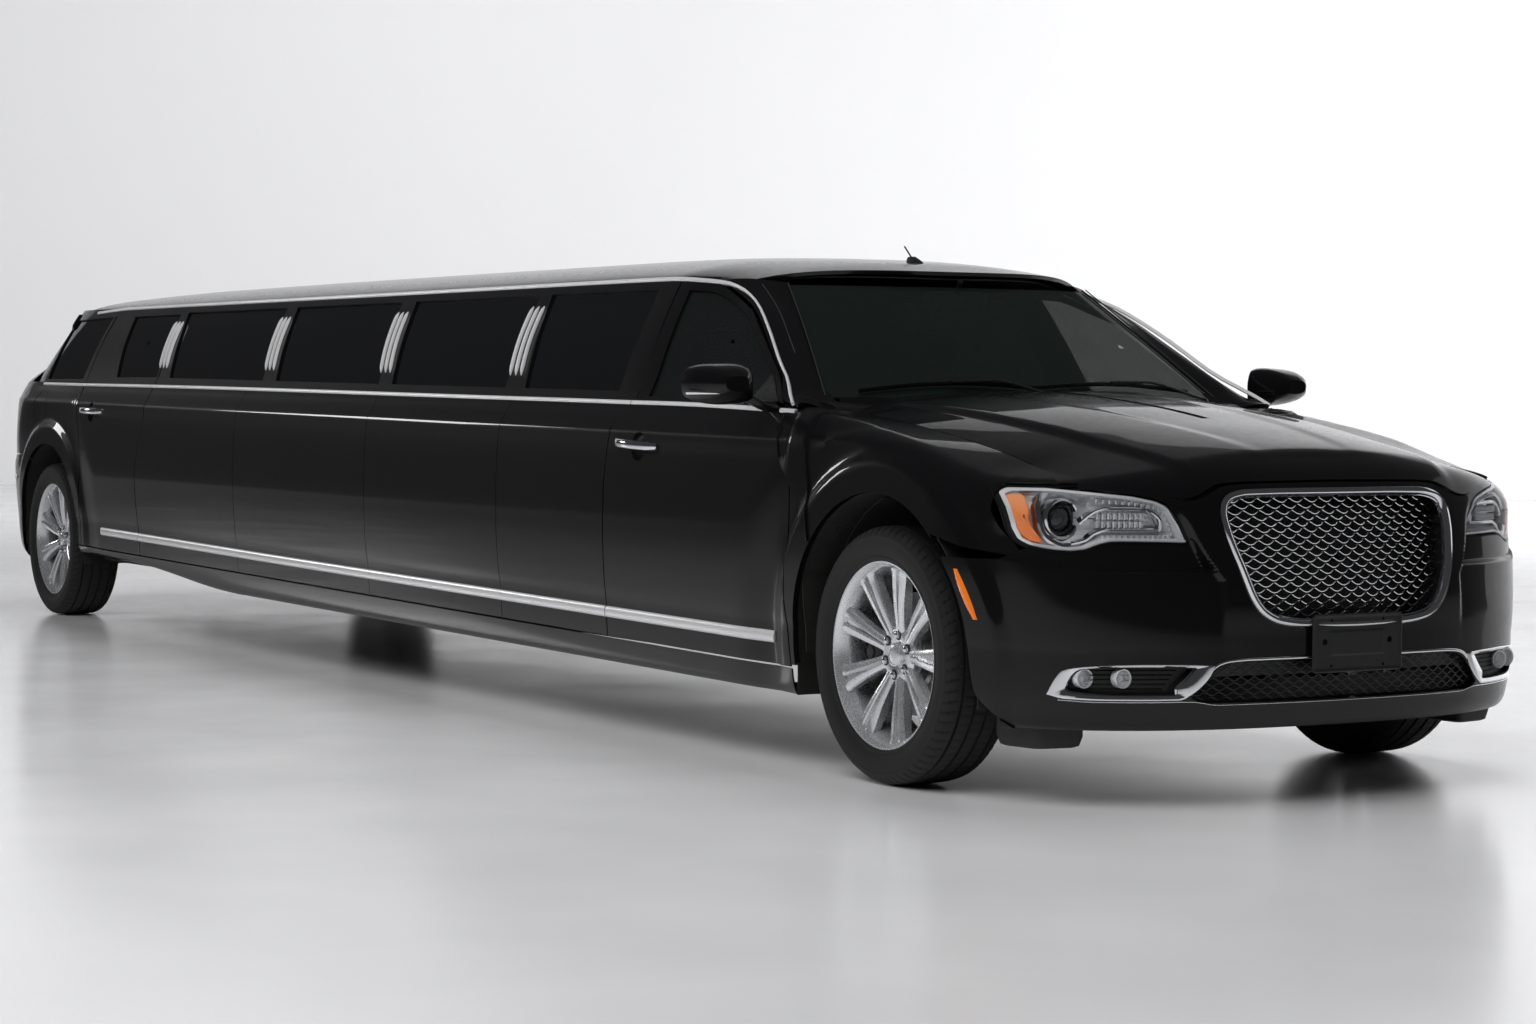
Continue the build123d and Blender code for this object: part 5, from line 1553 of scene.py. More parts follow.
def build_upper_frame():
    """Fixed pillars, header and waist strips of one side."""
    shell = Shell()
    panel(pillar_points(np.linspace(0, 1, 9)), 0.012, shell)
    pillar_c(shell)
    behind = front(-1.512)
    strip(
        shell, [(rear(1.334), belt_z(rear(1.3)) - 0.001), (behind, belt_z(behind) - 0.001)],
        [(rear(1.322), belt_z(rear(1.3)) + PANE_Z[0]), (front(-1.520), belt_z(behind) + PANE_Z[0])], 3,
        columns=60
    )
    strip(
        shell, [(rear(-0.345), 1.414), (rear(0.6), 1.414), (front(-2.0), 1.414), (front(-1.594), 1.414)],
        [(rear(-0.36), RAIL_Z), (rear(0.6), RAIL_Z), (front(-2.0), RAIL_Z), (front(-1.60), RAIL_Z)], 4,
        columns=70
    )
    strip(
        shell, [(front(-1.60), 1.441), (front(-1.365), 1.426)],
        [(front(-1.60), RAIL_Z), (front(-1.38), 1.447)], 2
    )
    edges = [(rear(1.332), rear(1.166))]
    for a, b, c, d in LOUNGE_PANES:
        edges += [(front(a), front(c)), (front(b), front(d))]
    edges.append((front(-1.513), front(-1.594)))
    for (a, c), (b, d) in zip(edges[0::2], edges[1::2]):
        lift = belt_z((a + b) / 2) + PANE_Z[0]
        strip(shell, [(a, lift), (b, lift)], [(c, PANE_Z[1]), (d, PANE_Z[1])], 10, columns=6)
    strip(
        shell, [(rear(0.384), 1.106), (rear(0.325), 1.106)], [(rear(0.262), 1.414), (rear(0.228), 1.414)],
        10, columns=4
    )
    strip(
        shell, [(rear(-0.20), 1.104), (rear(0.384), 1.104)], [(rear(-0.203), 1.118), (rear(0.380), 1.118)],
        3
    )
    strip(shell, [(rear(-0.33), 1.400), (rear(0.25), 1.412)], [(rear(-0.335), 1.416), (rear(0.25), 1.416)], 2)
    return shell


def rail_height(x):
    """Height of the roof's lower edge: level, but lower over the windscreen and towards the tail."""
    rail = np.interp(x - FRONT_AXLE, [-1.60, -1.365, -1.23, -1.0], [RAIL_Z, 1.428, 1.420, 1.400])
    return rail - 0.030 * smooth((rear(-0.10) - x) / 0.30)


def build_roof():
    """Roof skin from rail to rail, its front and rear edges bowed along the two screens."""
    s = spread(-1, 1, 81, 0.8)[None, :]
    t = np.concatenate([
        np.linspace(0, 0.12, 20), np.linspace(0.12, 0.92, 60)[1:-1], np.linspace(0.92, 1, 16)
    ])[:, None]
    head = front(-1.000 - 0.250 * np.abs(s) ** 2.2)
    foot = rear(-0.545 + 0.190 * s ** 2)
    x = lerp(head, foot, t)
    rail = rail_height(x)
    half = house(x, rail)[..., 1] + 0.001
    crown = np.maximum(roof_z(x), rail + 0.004)
    z = rail + (crown - rail) * (1 - np.abs(s) ** 2.6) ** 0.80
    return panel(spots(x, half * s, z), 0.012)


def build_screen(point, low, high, thickness=0.005, deep=0.004):
    """Screen glass as a grid over its bowed surface, with its corners rounded by the frame round it."""
    v, z = np.linspace(-1, 1, 49)[None, :], np.linspace(low, high, 25)[:, None]
    grid = point(v * 1.01, z)
    return panel(grid - deep * unit(from_axis(grid.reshape(-1, 3))).reshape(grid.shape), thickness)


# ---------------------------------------------------------------- stage, lights and camera
FLOOR_REACH = 60.0
LENS = 74.22                     # on a 36 mm wide frame
CAMERA_PLACE = (front(7.35762), -5.62039, 1.10215)
CAMERA_TURN = (30.5176, 2.2767, 0.3101)      # degrees off the car's axis, downwards, and of roll


def build_camera():
    """Camera low at the car's front right corner, aimed back along its side."""
    camera = bpy.data.objects.new("camera", bpy.data.cameras.new("camera"))
    bpy.context.scene.collection.objects.link(camera)
    camera.data.lens = LENS
    camera.data.sensor_width = 36.0
    camera.data.dof.use_dof = False
    camera.data.clip_end = 200.0
    yaw, pitch, roll = (math.radians(a) for a in CAMERA_TURN)
    ahead = Vector((-math.cos(yaw) * math.cos(pitch), math.sin(yaw) * math.cos(pitch), -math.sin(pitch)))
    right = ahead.cross(Vector((0, 0, 1))).normalized()
    up = right.cross(ahead)
    x_way = math.cos(roll) * right + math.sin(roll) * up
    y_way = -math.sin(roll) * right + math.cos(roll) * up
    turn = Matrix((x_way, y_way, -ahead)).transposed().to_4x4()
    camera.matrix_world = Matrix.Translation(CAMERA_PLACE) @ turn
    bpy.context.scene.camera = camera


def lamp(name, place, aim, size, power):
    """Area light aimed at a point."""
    light = bpy.data.lights.new(name, "AREA")
    light.shape = "RECTANGLE"
    light.size, light.size_y = size
    light.energy = power
    obj = bpy.data.objects.new(name, light)
    obj.location = place
    obj.rotation_euler = (Vector(aim) - Vector(place)).to_track_quat("-Z", "Y").to_euler()
    bpy.context.scene.collection.objects.link(obj)
    return obj


def floor_material():
    """Pale poured floor: glossy, with a slightly uneven sheen."""
    shader = Shader("poured_floor", (0.70, 0.70, 0.715), 0.2)
    cloud = shader.noise(0.7, 5.0)
    shader.set(
        "Base Color", shader.mix(cloud, toned(looks().floor_colour, 0.943),
            toned(looks().floor_colour, 1.057))
    )
    shader.set("Roughness", 0.13 + 0.14 * shader.noise(1.6, 6.0))
    return shader.bump(shader.noise(14.0, 4.0), 0.05).material


def wall_material():
    """White backdrop, seen from inside only, uneven in tone."""
    shader = Shader("white_backdrop", (0.9, 0.9, 0.91), 0.9)
    behind = shader.node("ShaderNodeNewGeometry").outputs["Backfacing"]
    shader.set("Alpha", 1.0 - Expr(shader, behind))
    shade = shader.noise(0.12, 3.0)
    shader.set("Base Color", shader.mix(shade, (0.86, 0.86, 0.875), (0.93, 0.93, 0.935)))
    return shader.material


def build_stage():
    """Floor, curved backdrop, world and lights."""
    scene = bpy.context.scene
    edge = np.linspace(-FLOOR_REACH, FLOOR_REACH, 3)
    floor = Shell().add(*meshed(spots(edge[:, None], edge, 0.0)), turn=False)
    obj = make("studio_floor", floor, "floor")
    t = np.linspace(0, 1, 24)
    angle = np.radians(np.linspace(60, 186, 60))
    radius = np.append(lerp(19.0, 22.0, np.sin(t * math.pi / 2)), 22.0)
    height = np.append(3.0 * (1 - np.cos(t * math.pi / 2)), 16.0)
    x = -4.0 + radius[:, None] * np.cos(angle)[None]
    y = radius[:, None] * np.sin(angle)[None]
    wall = Shell().add(*meshed(spots(x, y, height[:, None] + 0.002)), turn=False)
    obj = make("studio_backdrop", wall, "backdrop")
    world = bpy.data.worlds.new("studio_world")
    world.use_nodes = True
    tree = world.node_tree
    direct = tree.nodes.new("ShaderNodeLightPath")
    tone = tree.nodes.new("ShaderNodeMix")
    tone.data_type = "RGBA"
    tone.inputs[6].default_value = (0.040, 0.040, 0.042, 1)
    tone.inputs[7].default_value = (0.62, 0.62, 0.63, 1)
    tree.links.new(direct.outputs["Is Camera Ray"], tone.inputs[0])
    tree.links.new(tone.outputs[2], tree.nodes["Background"].inputs[0])
    scene.world = world
    hidden = [
        lamp("backdrop_wash", (-10.0, 6.0, 9.0), (-18.0, 12.0, 3.0), (14.0, 5.0), 1500.0),
        lamp("backdrop_wash_right", (-2.0, 10.0, 8.0), (0.0, 20.0, 3.0), (16.0, 5.0), 1300.0),
        lamp("overhead", (0.0, 2.0, 8.0), (0.0, 1.0, 0.0), (10.0, 4.0), 420.0),
        lamp("floor_fill", (5.0, -7.0, 8.0), (3.0, -4.0, 0.0), (12.0, 8.0), 1100.0),
    ]
    for light in hidden:
        light.visible_glossy = False
    lamp("trim_strip", (-22.0, -9.5, 6.2), (0.0, -1.0, 1.0), (3.0, 3.2), 260.0)
    scene.view_settings.view_transform = "Standard"


# ---------------------------------------------------------------- operators
def painted(name, shell, nodes=(), body="car_body"):
    """Body panel in the car's paint."""
    make(name, shell, "paint", body, nodes)


class LIMO_OT_stage(bpy.types.Operator):
    """Set the floor, the backdrop, the lights and the camera"""
    bl_idname = "limo.stage"
    bl_label = "Stage"

    def execute(self, context):
        build_stage()
        build_camera()
        if context.scene.camera is None:
            raise RuntimeError("the stage has no camera")
        return {"FINISHED"}


class LIMO_OT_body(bpy.types.Operator):
    """Build the painted panels: bonnet, wings, bumpers, walls, quarters, boot lid and roof"""
    bl_idname = "limo.body"
    bl_label = "Body panels"

    def execute(self, context):
        painted("bonnet_panel", build_bonnet(), ["bonnet"], "bonnet")
        painted("nose_panel", build_front_bumper(), ["front_bumper"])
        painted("tail_panel", build_rear_bumper(), ["rear_bumper"])
        painted("boot_lid_panel", build_lid(), ["boot_lid"], "boot_lid")
        painted("rear_deck_panel", build_rear_deck(), ["rear_deck"])
        painted("roof_skin", build_roof(), ["roof_panel"])
        wing, quarter, middle, upper = build_wing(), build_quarter(), build_middle_wall(), build_upper_frame()
        for way, side in SIDES:
            painted(f"wing_{side}", wing.on(way), [f"front_wing_{side}"])
            painted(f"quarter_panel_{side}", quarter.on(way), [f"quarter_{side}"])
            painted(f"wall_{side}", middle.on(way), [f"body_side_{side}"])
            painted(f"pillars_{side}", upper.on(way))
        return {"FINISHED"}


class LIMO_OT_doors(bpy.types.Operator):
    """Build the four doors: skins, window frames and panes"""
    bl_idname = "limo.doors"
    bl_label = "Doors"

    def execute(self, context):
        skin, rear_skin = build_front_door(), build_rear_door()
        frame_between(skin, DOOR_FRAME, DOOR_GLASS, front)
        frame_between(rear_skin, REAR_FRAME, REAR_DOOR_GLASS, rear)
        waist = belt_z(front(-1.1))
        strip(skin, [(front(-1.508), waist + 0.002), (front(-0.625), waist - 0.003)],
              [(front(-1.440), 1.068), (front(-0.680), 1.066)], 3, 0.010)
        waist = belt_z(rear(0.86))
        strip(rear_skin, [(rear(0.392), waist + 0.003), (rear(1.327), waist - 0.003)],
              [(rear(0.780), 1.126), (rear(1.300), 1.126)], 3, 0.010)
        glass_front = outline_pane(Shell(), np.array(DOOR_GLASS), front)
        glass_rear = outline_pane(Shell(), np.array(REAR_DOOR_GLASS), rear)
        for way, side in SIDES:
            painted(f"front_door_{side}_panel", skin.on(way), [f"door_front_{side}"], f"front_door_{side}")
            painted(f"rear_door_{side}_panel", rear_skin.on(way), [f"door_rear_{side}"], f"rear_door_{side}")
            make(f"front_door_{side}_pane", glass_front.on(way), "smoked_glass", f"front_door_{side}",
                 [f"door_glass_front_{side}"])
            make(f"rear_door_{side}_pane", glass_rear.on(way), "dark_glass", f"rear_door_{side}",
                 [f"door_glass_rear_{side}"])
        return {"FINISHED"}


class LIMO_OT_glass(bpy.types.Operator):
    """Build the fixed glass: windscreen, back window, lounge windows and quarter panes"""
    bl_idname = "limo.glass"
    bl_label = "Fixed glass"

    def execute(self, context):
        panes = Shell()
        for a, b, c, d in LOUNGE_PANES:
            low = belt_z(front((a + b) / 2)) + PANE_Z[0]
            pane(panes, [(a, low), (c, PANE_Z[1]), (d, PANE_Z[1]), (b, low)], front)
        pane(panes, [QUARTER_PANE[3], QUARTER_PANE[2], QUARTER_PANE[1], QUARTER_PANE[0]], rear)
        make("side_panes", panes.mirror(), "dark_glass", "car_body", ["side_glass"])
        make("windscreen_pane", build_screen(screen_point, *SCREEN_Z), "screen_glass", "car_body",
             ["windscreen"])
        make("back_pane", build_screen(back_point, *BACK_Z), "dark_glass", "car_body", ["rear_window"])
        return {"FINISHED"}


# ---------------------------------------------------------------- wheels
# Wheels are made at the origin for the left side, the axle along Y and the outside towards +Y.
SPOKES = 9
HUB_FACE = 0.052                 # y of the hub's outer face
NUT_CIRCLE = 0.057
DISC_R = 0.172
DISC_Y = -0.020


def build_tyre():
    """Tyre: a cross-section turned round the axle, whose radius also varies round it for the shoulder
    blocks."""
    around = 504
    half = np.array((
        (0.088, 0.2585), (0.097, 0.2600), (0.1035, 0.2645), (0.1060, 0.2720), (0.1050, 0.2760),
        (0.1080, 0.2800), (0.1125, 0.2900), (0.1145, 0.3000), (0.1150, 0.3080), (0.1143, 0.3180),
        (0.1125, 0.3260), (0.1133, 0.3290), (0.1105, 0.3350), (0.1065, 0.3415), (0.1020, 0.3468),
        (0.0965, 0.3512), (0.0900, 0.3545), (0.0820, 0.3568), (0.0740, 0.3580), (0.0705, 0.3583),
        (0.0690, 0.3500), (0.0620, 0.3500), (0.0605, 0.3590), (0.0450, 0.3597), (0.0270, 0.3600),
        (0.0255, 0.3515), (0.0175, 0.3515), (0.0160, 0.3600), (0.0000, 0.3600),
    ))
    ring = np.concatenate([half, (half * (-1, 1))[-2::-1]])
    turn = np.linspace(0, 2 * math.pi, around, endpoint=False)[:, None]
    y, r = ring[None, :, 0], ring[None, :, 1]
    block = np.cos(turn * 72 + 9 * np.abs(y) / 0.1) > 0.78
    shoulder = (np.abs(y) > 0.074) & (r > 0.338)
    cut = 0.0050 * (block & shoulder)
    sipe = np.cos(turn * 84 + 30 * y / 0.1) > 0.90
    middle = (np.abs(y) < 0.060) & (r > 0.356)
    r = r - cut - 0.0030 * (sipe & middle)
    points = spots(r * np.cos(turn), y, r * np.sin(turn))
    shell = Shell().add(*loop_tube(points))
    for y_side in (0.1140, -0.1140):
        shell.add(*lathe([(y_side, 0.3120), (y_side * 1.008, 0.3135), (y_side, 0.3150)], 180))
    return shell


def build_barrel():
    """Rim barrel: bright lip, drop to the spoke seats and the deep well behind, as one closed ring."""
    profile = (
        (0.0940, 0.2520), (0.0985, 0.2560), (0.0990, 0.2610), (0.0960, 0.2640), (0.0900, 0.2625),
        (0.0850, 0.2500), (0.0600, 0.2440), (0.0000, 0.2400), (-0.0700, 0.2440), (-0.0950, 0.2600),
        (-0.1000, 0.2620), (-0.1010, 0.2540), (-0.0850, 0.2380), (-0.0300, 0.2310), (0.0200, 0.2310),
        (0.0520, 0.2330), (0.0640, 0.2365), (0.0720, 0.2400), (0.0840, 0.2440), (0.0900, 0.2480),
    )
    return Shell().add(*lathe(profile, 216))


def spoke_rib(way):
    """One of a spoke's two ribs: a ridge that widens outwards and sinks towards the hub."""
    t = np.linspace(0, 1, 22)
    out = lerp(0.058, 0.2475, t)
    middle = way * (0.0105 + 0.0150 * t ** 1.5)
    wide = lerp(
        0.0085, 0.0135, t ** 1.3
    ) + 0.004 * smooth((0.12 - t) / 0.12) + 0.005 * smooth((t - 0.88) / 0.12)
    face = HUB_FACE + 0.012 * np.sin(math.pi * np.minimum(t * 1.15, 1)) * 0.6 + 0.031 * t ** 1.6
    deep = lerp(0.030, 0.026, t)
    section = np.array((
        (-1, -1.0), (-1.02, -0.16), (-0.72, -0.02), (0.0, 0.10), (0.72, -0.02), (1.02, -0.16), (1, -1.0)
    ))
    lean = -way * 0.0022
    angle = middle[:, None] + section[None, :, 0] * wide[:, None]
    y = face[:, None] + section[None, :, 1] * deep[:, None] * np.array((1, 1, 1, 0.30, 1, 1, 1))[None, :]
    y = y + lean * section[None, :, 0]
    return spots(angle, y, out[:, None] + 0 * y)


def build_spokes():
    """Nine spokes, each two ribs over a sunk web, round a dished hub with a plain cap."""
    spoke = Shell()
    for way in (1, -1):
        spoke.add(*tube(spoke_rib(way)))
    t = np.linspace(0, 1, 16)
    out = lerp(0.055, 0.246, t)
    web = lerp(0.013, 0.034, t ** 1.2)
    top = HUB_FACE - 0.008 + 0.030 * t ** 1.6
    box = np.array(((-1, 0), (1, 0), (1, -1), (-1, -1)))
    rings = spots(box[None, :, 0] * web[:, None], top[:, None] + box[None, :, 1] * 0.022,
                  np.broadcast_to(out[:, None], (16, 4)))
    spoke.add(*tube(rings))
    wheel = Shell()
    for number in range(SPOKES):
        wheel.join(spoke.turned_about_wheel(2 * math.pi * number / SPOKES + math.radians(10)))
    hub = ((-0.030, 0.0), (-0.030, 0.080), (0.030, 0.084), (0.044, 0.080), (0.051, 0.072), (0.0535, 0.064),
           (0.0525, 0.045), (0.050, 0.038), (0.048, 0.0))
    wheel.add(*plug(hub, 108))
    cap = (
        (0.046, 0.0), (0.046, 0.0340), (0.058, 0.0335), (0.0610, 0.0315), (0.0615, 0.0290),
        (0.0605, 0.0275), (0.0622, 0.0240), (0.0635, 0.0120), (0.0638, 0.0)
    )
    wheel.add(*plug(cap, 72))
    wheel.add(*lathe([(0.0600, 0.0262), (0.0612, 0.0270), (0.0600, 0.0278), (0.0592, 0.0270)], 72))
    return wheel


def at_the_nuts(profile, count):
    """The same solid of revolution at each of the six wheel nuts."""
    shell = Shell()
    for angle in np.radians(20 + 60 * np.arange(6)):
        shell.add(*plug(profile, count, (NUT_CIRCLE * math.cos(angle), 0, NUT_CIRCLE * math.sin(angle))))
    return shell


def build_nuts():
    """Six wheel nuts, each a hexagon with a domed top."""
    return at_the_nuts(
        ((0.040, 0.0), (0.040, 0.0102), (0.0600, 0.0102), (0.0625, 0.0088), (0.0640, 0.0050),
            (0.0642, 0.0)), 6
    )


def build_nut_shade_rings():
    """Black rings round the nuts: painted shade of the recesses they sit in."""
    return at_the_nuts(((0.045, 0.0), (0.045, 0.0148), (0.0542, 0.0146), (0.0545, 0.0)), 28)


def build_disc():
    """Brake disc: two faces with a gap between them at the rim, and a bell in the middle."""
    profile = (
        (DISC_Y - 0.014, 0.105), (DISC_Y + 0.014, 0.105), (DISC_Y + 0.014, DISC_R),
        (DISC_Y + 0.005, DISC_R), (DISC_Y + 0.005, DISC_R - 0.012), (DISC_Y - 0.005, DISC_R - 0.012),
        (DISC_Y - 0.005, DISC_R), (DISC_Y - 0.014, DISC_R)
    )
    shell = Shell().add(*lathe(profile, 120))
    bell = ((DISC_Y - 0.010, 0.0), (DISC_Y - 0.010, 0.108), (DISC_Y + 0.006, 0.108), (DISC_Y + 0.018, 0.092),
            (DISC_Y + 0.045, 0.090), (DISC_Y + 0.048, 0.0))
    return shell.add(*plug(bell, 72))


def build_caliper():
    """Brake caliper straddling the disc behind the axle, with two bosses and a bridge."""
    angle = np.radians(np.linspace(150, 212, 26))[:, None]
    section = np.array((
        (DISC_Y + 0.052, 0.112), (DISC_Y + 0.060, 0.124), (DISC_Y + 0.060, 0.160), (DISC_Y + 0.052, 0.180),
        (DISC_Y + 0.030, 0.190), (DISC_Y - 0.030, 0.190), (DISC_Y - 0.048, 0.176), (DISC_Y - 0.050, 0.112),
    ))
    r = section[None, :, 1] - 0.004 * np.cos((angle - math.pi) * 14)
    rings = spots(r * np.cos(angle), section[None, :, 0], r * np.sin(angle))
    shell = Shell().add(*tube(rings))
    for turn in (162, 181, 200):
        a = math.radians(turn)
        boss = (
            (DISC_Y + 0.050, 0.0), (DISC_Y + 0.050, 0.018), (DISC_Y + 0.066, 0.017), (DISC_Y + 0.068, 0.0)
        )
        shell.add(*plug(boss, 24, (0.147 * math.cos(a), 0, 0.147 * math.sin(a))))
    return shell


class LIMO_OT_wheels(bpy.types.Operator):
    """Build the four wheels with tyres, spokes, nuts, brake discs and calipers"""
    bl_idname = "limo.wheels"
    bl_label = "Wheels"

    def execute(self, context):
        tyre, spokes, nuts, shade_rings = build_tyre(), build_spokes().join(
            build_barrel()
        ), build_nuts(), build_nut_shade_rings()
        disc, caliper = build_disc(), build_caliper()
        for axle, x in (("front", FRONT_AXLE), ("rear", REAR_AXLE)):
            for way, side in SIDES:
                def put(shell):
                    return shell.moved(x, WHEEL_MID, HUB_Z).on(way)

                body = f"wheel_{axle}_{side}"
                make(
                    f"tread_{axle}_{side}", put(tyre), "tyre", body, [f"tyre_{axle}_{side}"],
                    30
                )
                make(
                    f"spokes_{axle}_{side}", put(spokes), "alloy", body, [f"rim_{axle}_{side}"],
                    30
                )
                make(f"nuts_{axle}_{side}", put(nuts), "chrome", body)
                # Black rings round the nuts: painted shade of their recesses.
                make(f"nut_shade_rings_{axle}_{side}", put(shade_rings), "plastic", body)
                make(f"disc_{axle}_{side}", put(disc), "disc", body)
                holder = f"steering_{side}" if axle == "front" else "car_body"
                make(f"caliper_{axle}_{side}", put(caliper), "cast", holder)
        return {"FINISHED"}


# ---------------------------------------------------------------- nose: grille, lamps and intake
GRILLE_FRAME = (
    (0.000, 0.829), (0.160, 0.829), (0.300, 0.827), (0.350, 0.818), (0.376, 0.797), (0.384, 0.768),
    (0.381, 0.730), (0.373, 0.690), (0.359, 0.640), (0.343, 0.592), (0.324, 0.550), (0.296, 0.517),
    (0.250, 0.495), (0.180, 0.485), (0.080, 0.481), (0.000, 0.480)
)
WIRE_PITCH, WIRE_WAVE, WIRE_SWING = 0.0157, 0.0500, 0.0052
FOG_OUTER = ((0.812, 0.303), (0.799, 0.345), (0.781, 0.372), (0.700, 0.383), (0.611, 0.386), (0.520, 0.385),
             (0.436, 0.379), (0.452, 0.348), (0.500, 0.303), (0.525, 0.291), (0.608, 0.290), (0.700, 0.290),
             (0.780, 0.293))
FOG_INNER = (
    (0.776, 0.318), (0.767, 0.350), (0.748, 0.370), (0.690, 0.3755), (0.611, 0.3765), (0.530, 0.3755),
    (0.487, 0.373), (0.510, 0.348), (0.536, 0.318), (0.533, 0.306), (0.608, 0.304), (0.695, 0.305),
    (0.765, 0.310)
)


def nose_path(points, deep=0.0, per=6, smooth_line=True):
    """Line on the nose through (|y|, height) points, moved back along the car."""
    line = bent(points, per) if smooth_line else straight(points, per)
    found = nose_path_of(line, deep)
    found[:, 1] = np.abs(found[:, 1])
    return found


def both_halves(path):
    """A path from the centreline on the left joined with its mirror image into one closed loop."""
    right = (path * (1, -1, 1))[::-1]
    return np.concatenate([path, right[1:-1]])


def ring_sheet(rings, thickness, outward=None):
    """Shell of a closed plate over rings of corners that run all the way round."""
    rings = np.asarray(rings)
    faces = grid_faces(rings.shape[0], rings.shape[1], wrap_columns=True)
    return thicken(Shell(), *weld((rings, faces)), thickness, outward or (lambda p: np.array([[1.0, 0, 0]])))


def shrink(line, amount):
    """Closed (|y|, height) line moved inwards by an amount, square to itself."""
    ahead, behind = np.roll(line, -1, axis=0), np.roll(line, 1, axis=0)
    along = unit(ahead - behind)
    square = spots(-along[:, 1], along[:, 0])
    area = (line[:, 0] * ahead[:, 1] - ahead[:, 0] * line[:, 1]).sum()
    return line + amount * math.copysign(1, area) * square


def build_grille_frame():
    """Bright frame: a crowned bead carried round the grille's outline."""
    path = both_halves(nose_path(GRILLE_FRAME))
    section = np.array((
        (-0.011, -0.012), (-0.0112, 0.002), (-0.0085, 0.0085), (-0.003, 0.0125), (0.003, 0.0125),
        (0.0085, 0.0085), (0.0112, 0.002), (0.011, -0.012)
    ))
    up = unit(spots(np.ones(len(path)), 0.35 * np.sign(path[:, 1]) * (np.abs(path[:, 1]) / 0.39) ** 2, 0.12))
    shell = Shell().add(*bead(path, up, section, closed=True))
    lip = np.array(((-0.0135, -0.010), (-0.0135, -0.002), (-0.0105, 0.001), (-0.0100, -0.010)))
    return shell.add(*bead(path, up, lip, closed=True))


def grille_plane(y, z, deep):
    """Points of the grille's mesh plane, which bows like the nose."""
    lean = np.interp(z, [0.47, 0.52, 0.60, 0.70, 0.80, 0.84], [0.905, 0.903, 0.893, 0.862, 0.822, 0.806])
    return spots(front(lean - 0.28 * y ** 2 - deep), y, z)


def grille_half_width(z):
    """Half width of the grille's opening at a height."""
    table = np.array(GRILLE_FRAME)[3:14][::-1]
    return np.interp(z, table[:, 1], table[:, 0]) - 0.004


def build_grille_wires():
    """Rows of waved wire, z = row + swing sin(2 pi y / wave), neighbouring rows half a wave apart."""
    shell = Shell()
    section = round_section(0.0017, 5)
    rows = np.arange(0.492, 0.822, WIRE_PITCH)
    for number, height in enumerate(rows):
        wide = grille_half_width(height)
        y = np.linspace(-wide, wide, int(wide * 2 / 0.0028))
        swing = WIRE_SWING * np.sin(2 * math.pi * y / WIRE_WAVE + math.pi * (number % 2))
        deep = 0.024 - 0.0030 * np.cos(2 * math.pi * y / WIRE_WAVE + math.pi * (number % 2))
        shell.add(*bead(grille_plane(y, height + swing, deep), (1, 0, 0), section))
    return shell


def build_grille_back():
    """Black tray behind the wires, with a sleeve up to the frame."""
    outline = both_halves(nose_path(GRILLE_FRAME))
    back = grille_plane(outline[:, 1] * 0.985, outline[:, 2], 0.062)
    middle = grille_plane(0 * outline[:, 1], 0 * outline[:, 2] + 0.65, 0.058)
    rings = [outline - (0.002, 0, 0), outline - (0.02, 0, 0), back]
    for share in (0.25, 0.5, 0.75, 0.95):
        ring = lerp(back, middle, share)
        rings.append(grille_plane(ring[:, 1], ring[:, 2], 0.062))
    return ring_sheet(rings, 0.003)


def build_lower_intake():
    """Dark tray behind the opening of the lower intake."""
    half = [
        (0.0, 0.392), (0.250, 0.392), (0.380, 0.388), (0.425, 0.372), (0.458, 0.340), (0.494, 0.300),
        (0.470, 0.281), (0.0, 0.280)
    ]
    outline = both_halves(nose_path(half, smooth_line=False))
    middle = outline.mean(0)
    rings = [outline - (0.001, 0, 0), outline - (0.035, 0, 0)]
    for share in (0.3, 0.6, 0.9):
        ring = outline - (0.035, 0, 0)
        ring[:, 2] = lerp(ring[:, 2], middle[2], share)
        ring[:, 1] *= 1 - 0.1 * share
        rings.append(ring)
    return ring_sheet(rings, 0.003)


def build_intake_wires():
    """Waved black wires of the lower intake."""
    shell = Shell()
    for number, height in enumerate(np.arange(0.292, 0.388, 0.0125)):
        wide = np.interp(height, [0.28, 0.30, 0.34, 0.372, 0.39], [0.468, 0.490, 0.455, 0.420, 0.36]) - 0.004
        y = np.linspace(-wide, wide, 240)
        swing = 0.0042 * np.sin(2 * math.pi * y / 0.040 + math.pi * (number % 2))
        places = nose_places(spots(np.abs(y), height))
        found = wrap(NOSE_PLAN, places[:, 0], places[:, 1])
        path = spots(found[:, 0] - 0.016, y, height + swing)
        shell.rod(path, (1, 0, 0), 0.0018, 5)
    return shell


def led_over(path):
    """A path that starts on the centreline, led on over it to its mirror image."""
    return np.concatenate([path[::-1], (path * (1, -1, 1))[1:]])


def build_nose_trim():
    """Bright lines: over the lower intake from bezel to bezel, and a thin one along its foot."""
    shell = Shell()
    over = nose_path(
        [(0.0, 0.3955), (0.182, 0.3955), (0.330, 0.3945), (0.391, 0.391), (0.425, 0.382), (0.446, 0.366)],
        0.0
    )
    shell.add(*bead(led_over(over), (1, 0, 0.1), dome(0.0095, 0.005, -0.004)))
    under = nose_path([
        (0.0, 0.2765), (0.25, 0.2765), (0.42, 0.276), (0.492, 0.286), (0.60, 0.2855), (0.72, 0.2855),
        (0.79, 0.2895)
    ])
    return shell.add(*bead(led_over(under), (1, 0, 0), dome(0.0035, 0.0025, -0.003)))


def matched(outer, inner, per=6):
    """Two closed lines with the same number of points, from matched corner lists."""
    close = lambda pts: np.array(pts + pts[:1])
    return bent(close(outer), per)[:-1], bent(close(inner), per)[:-1]


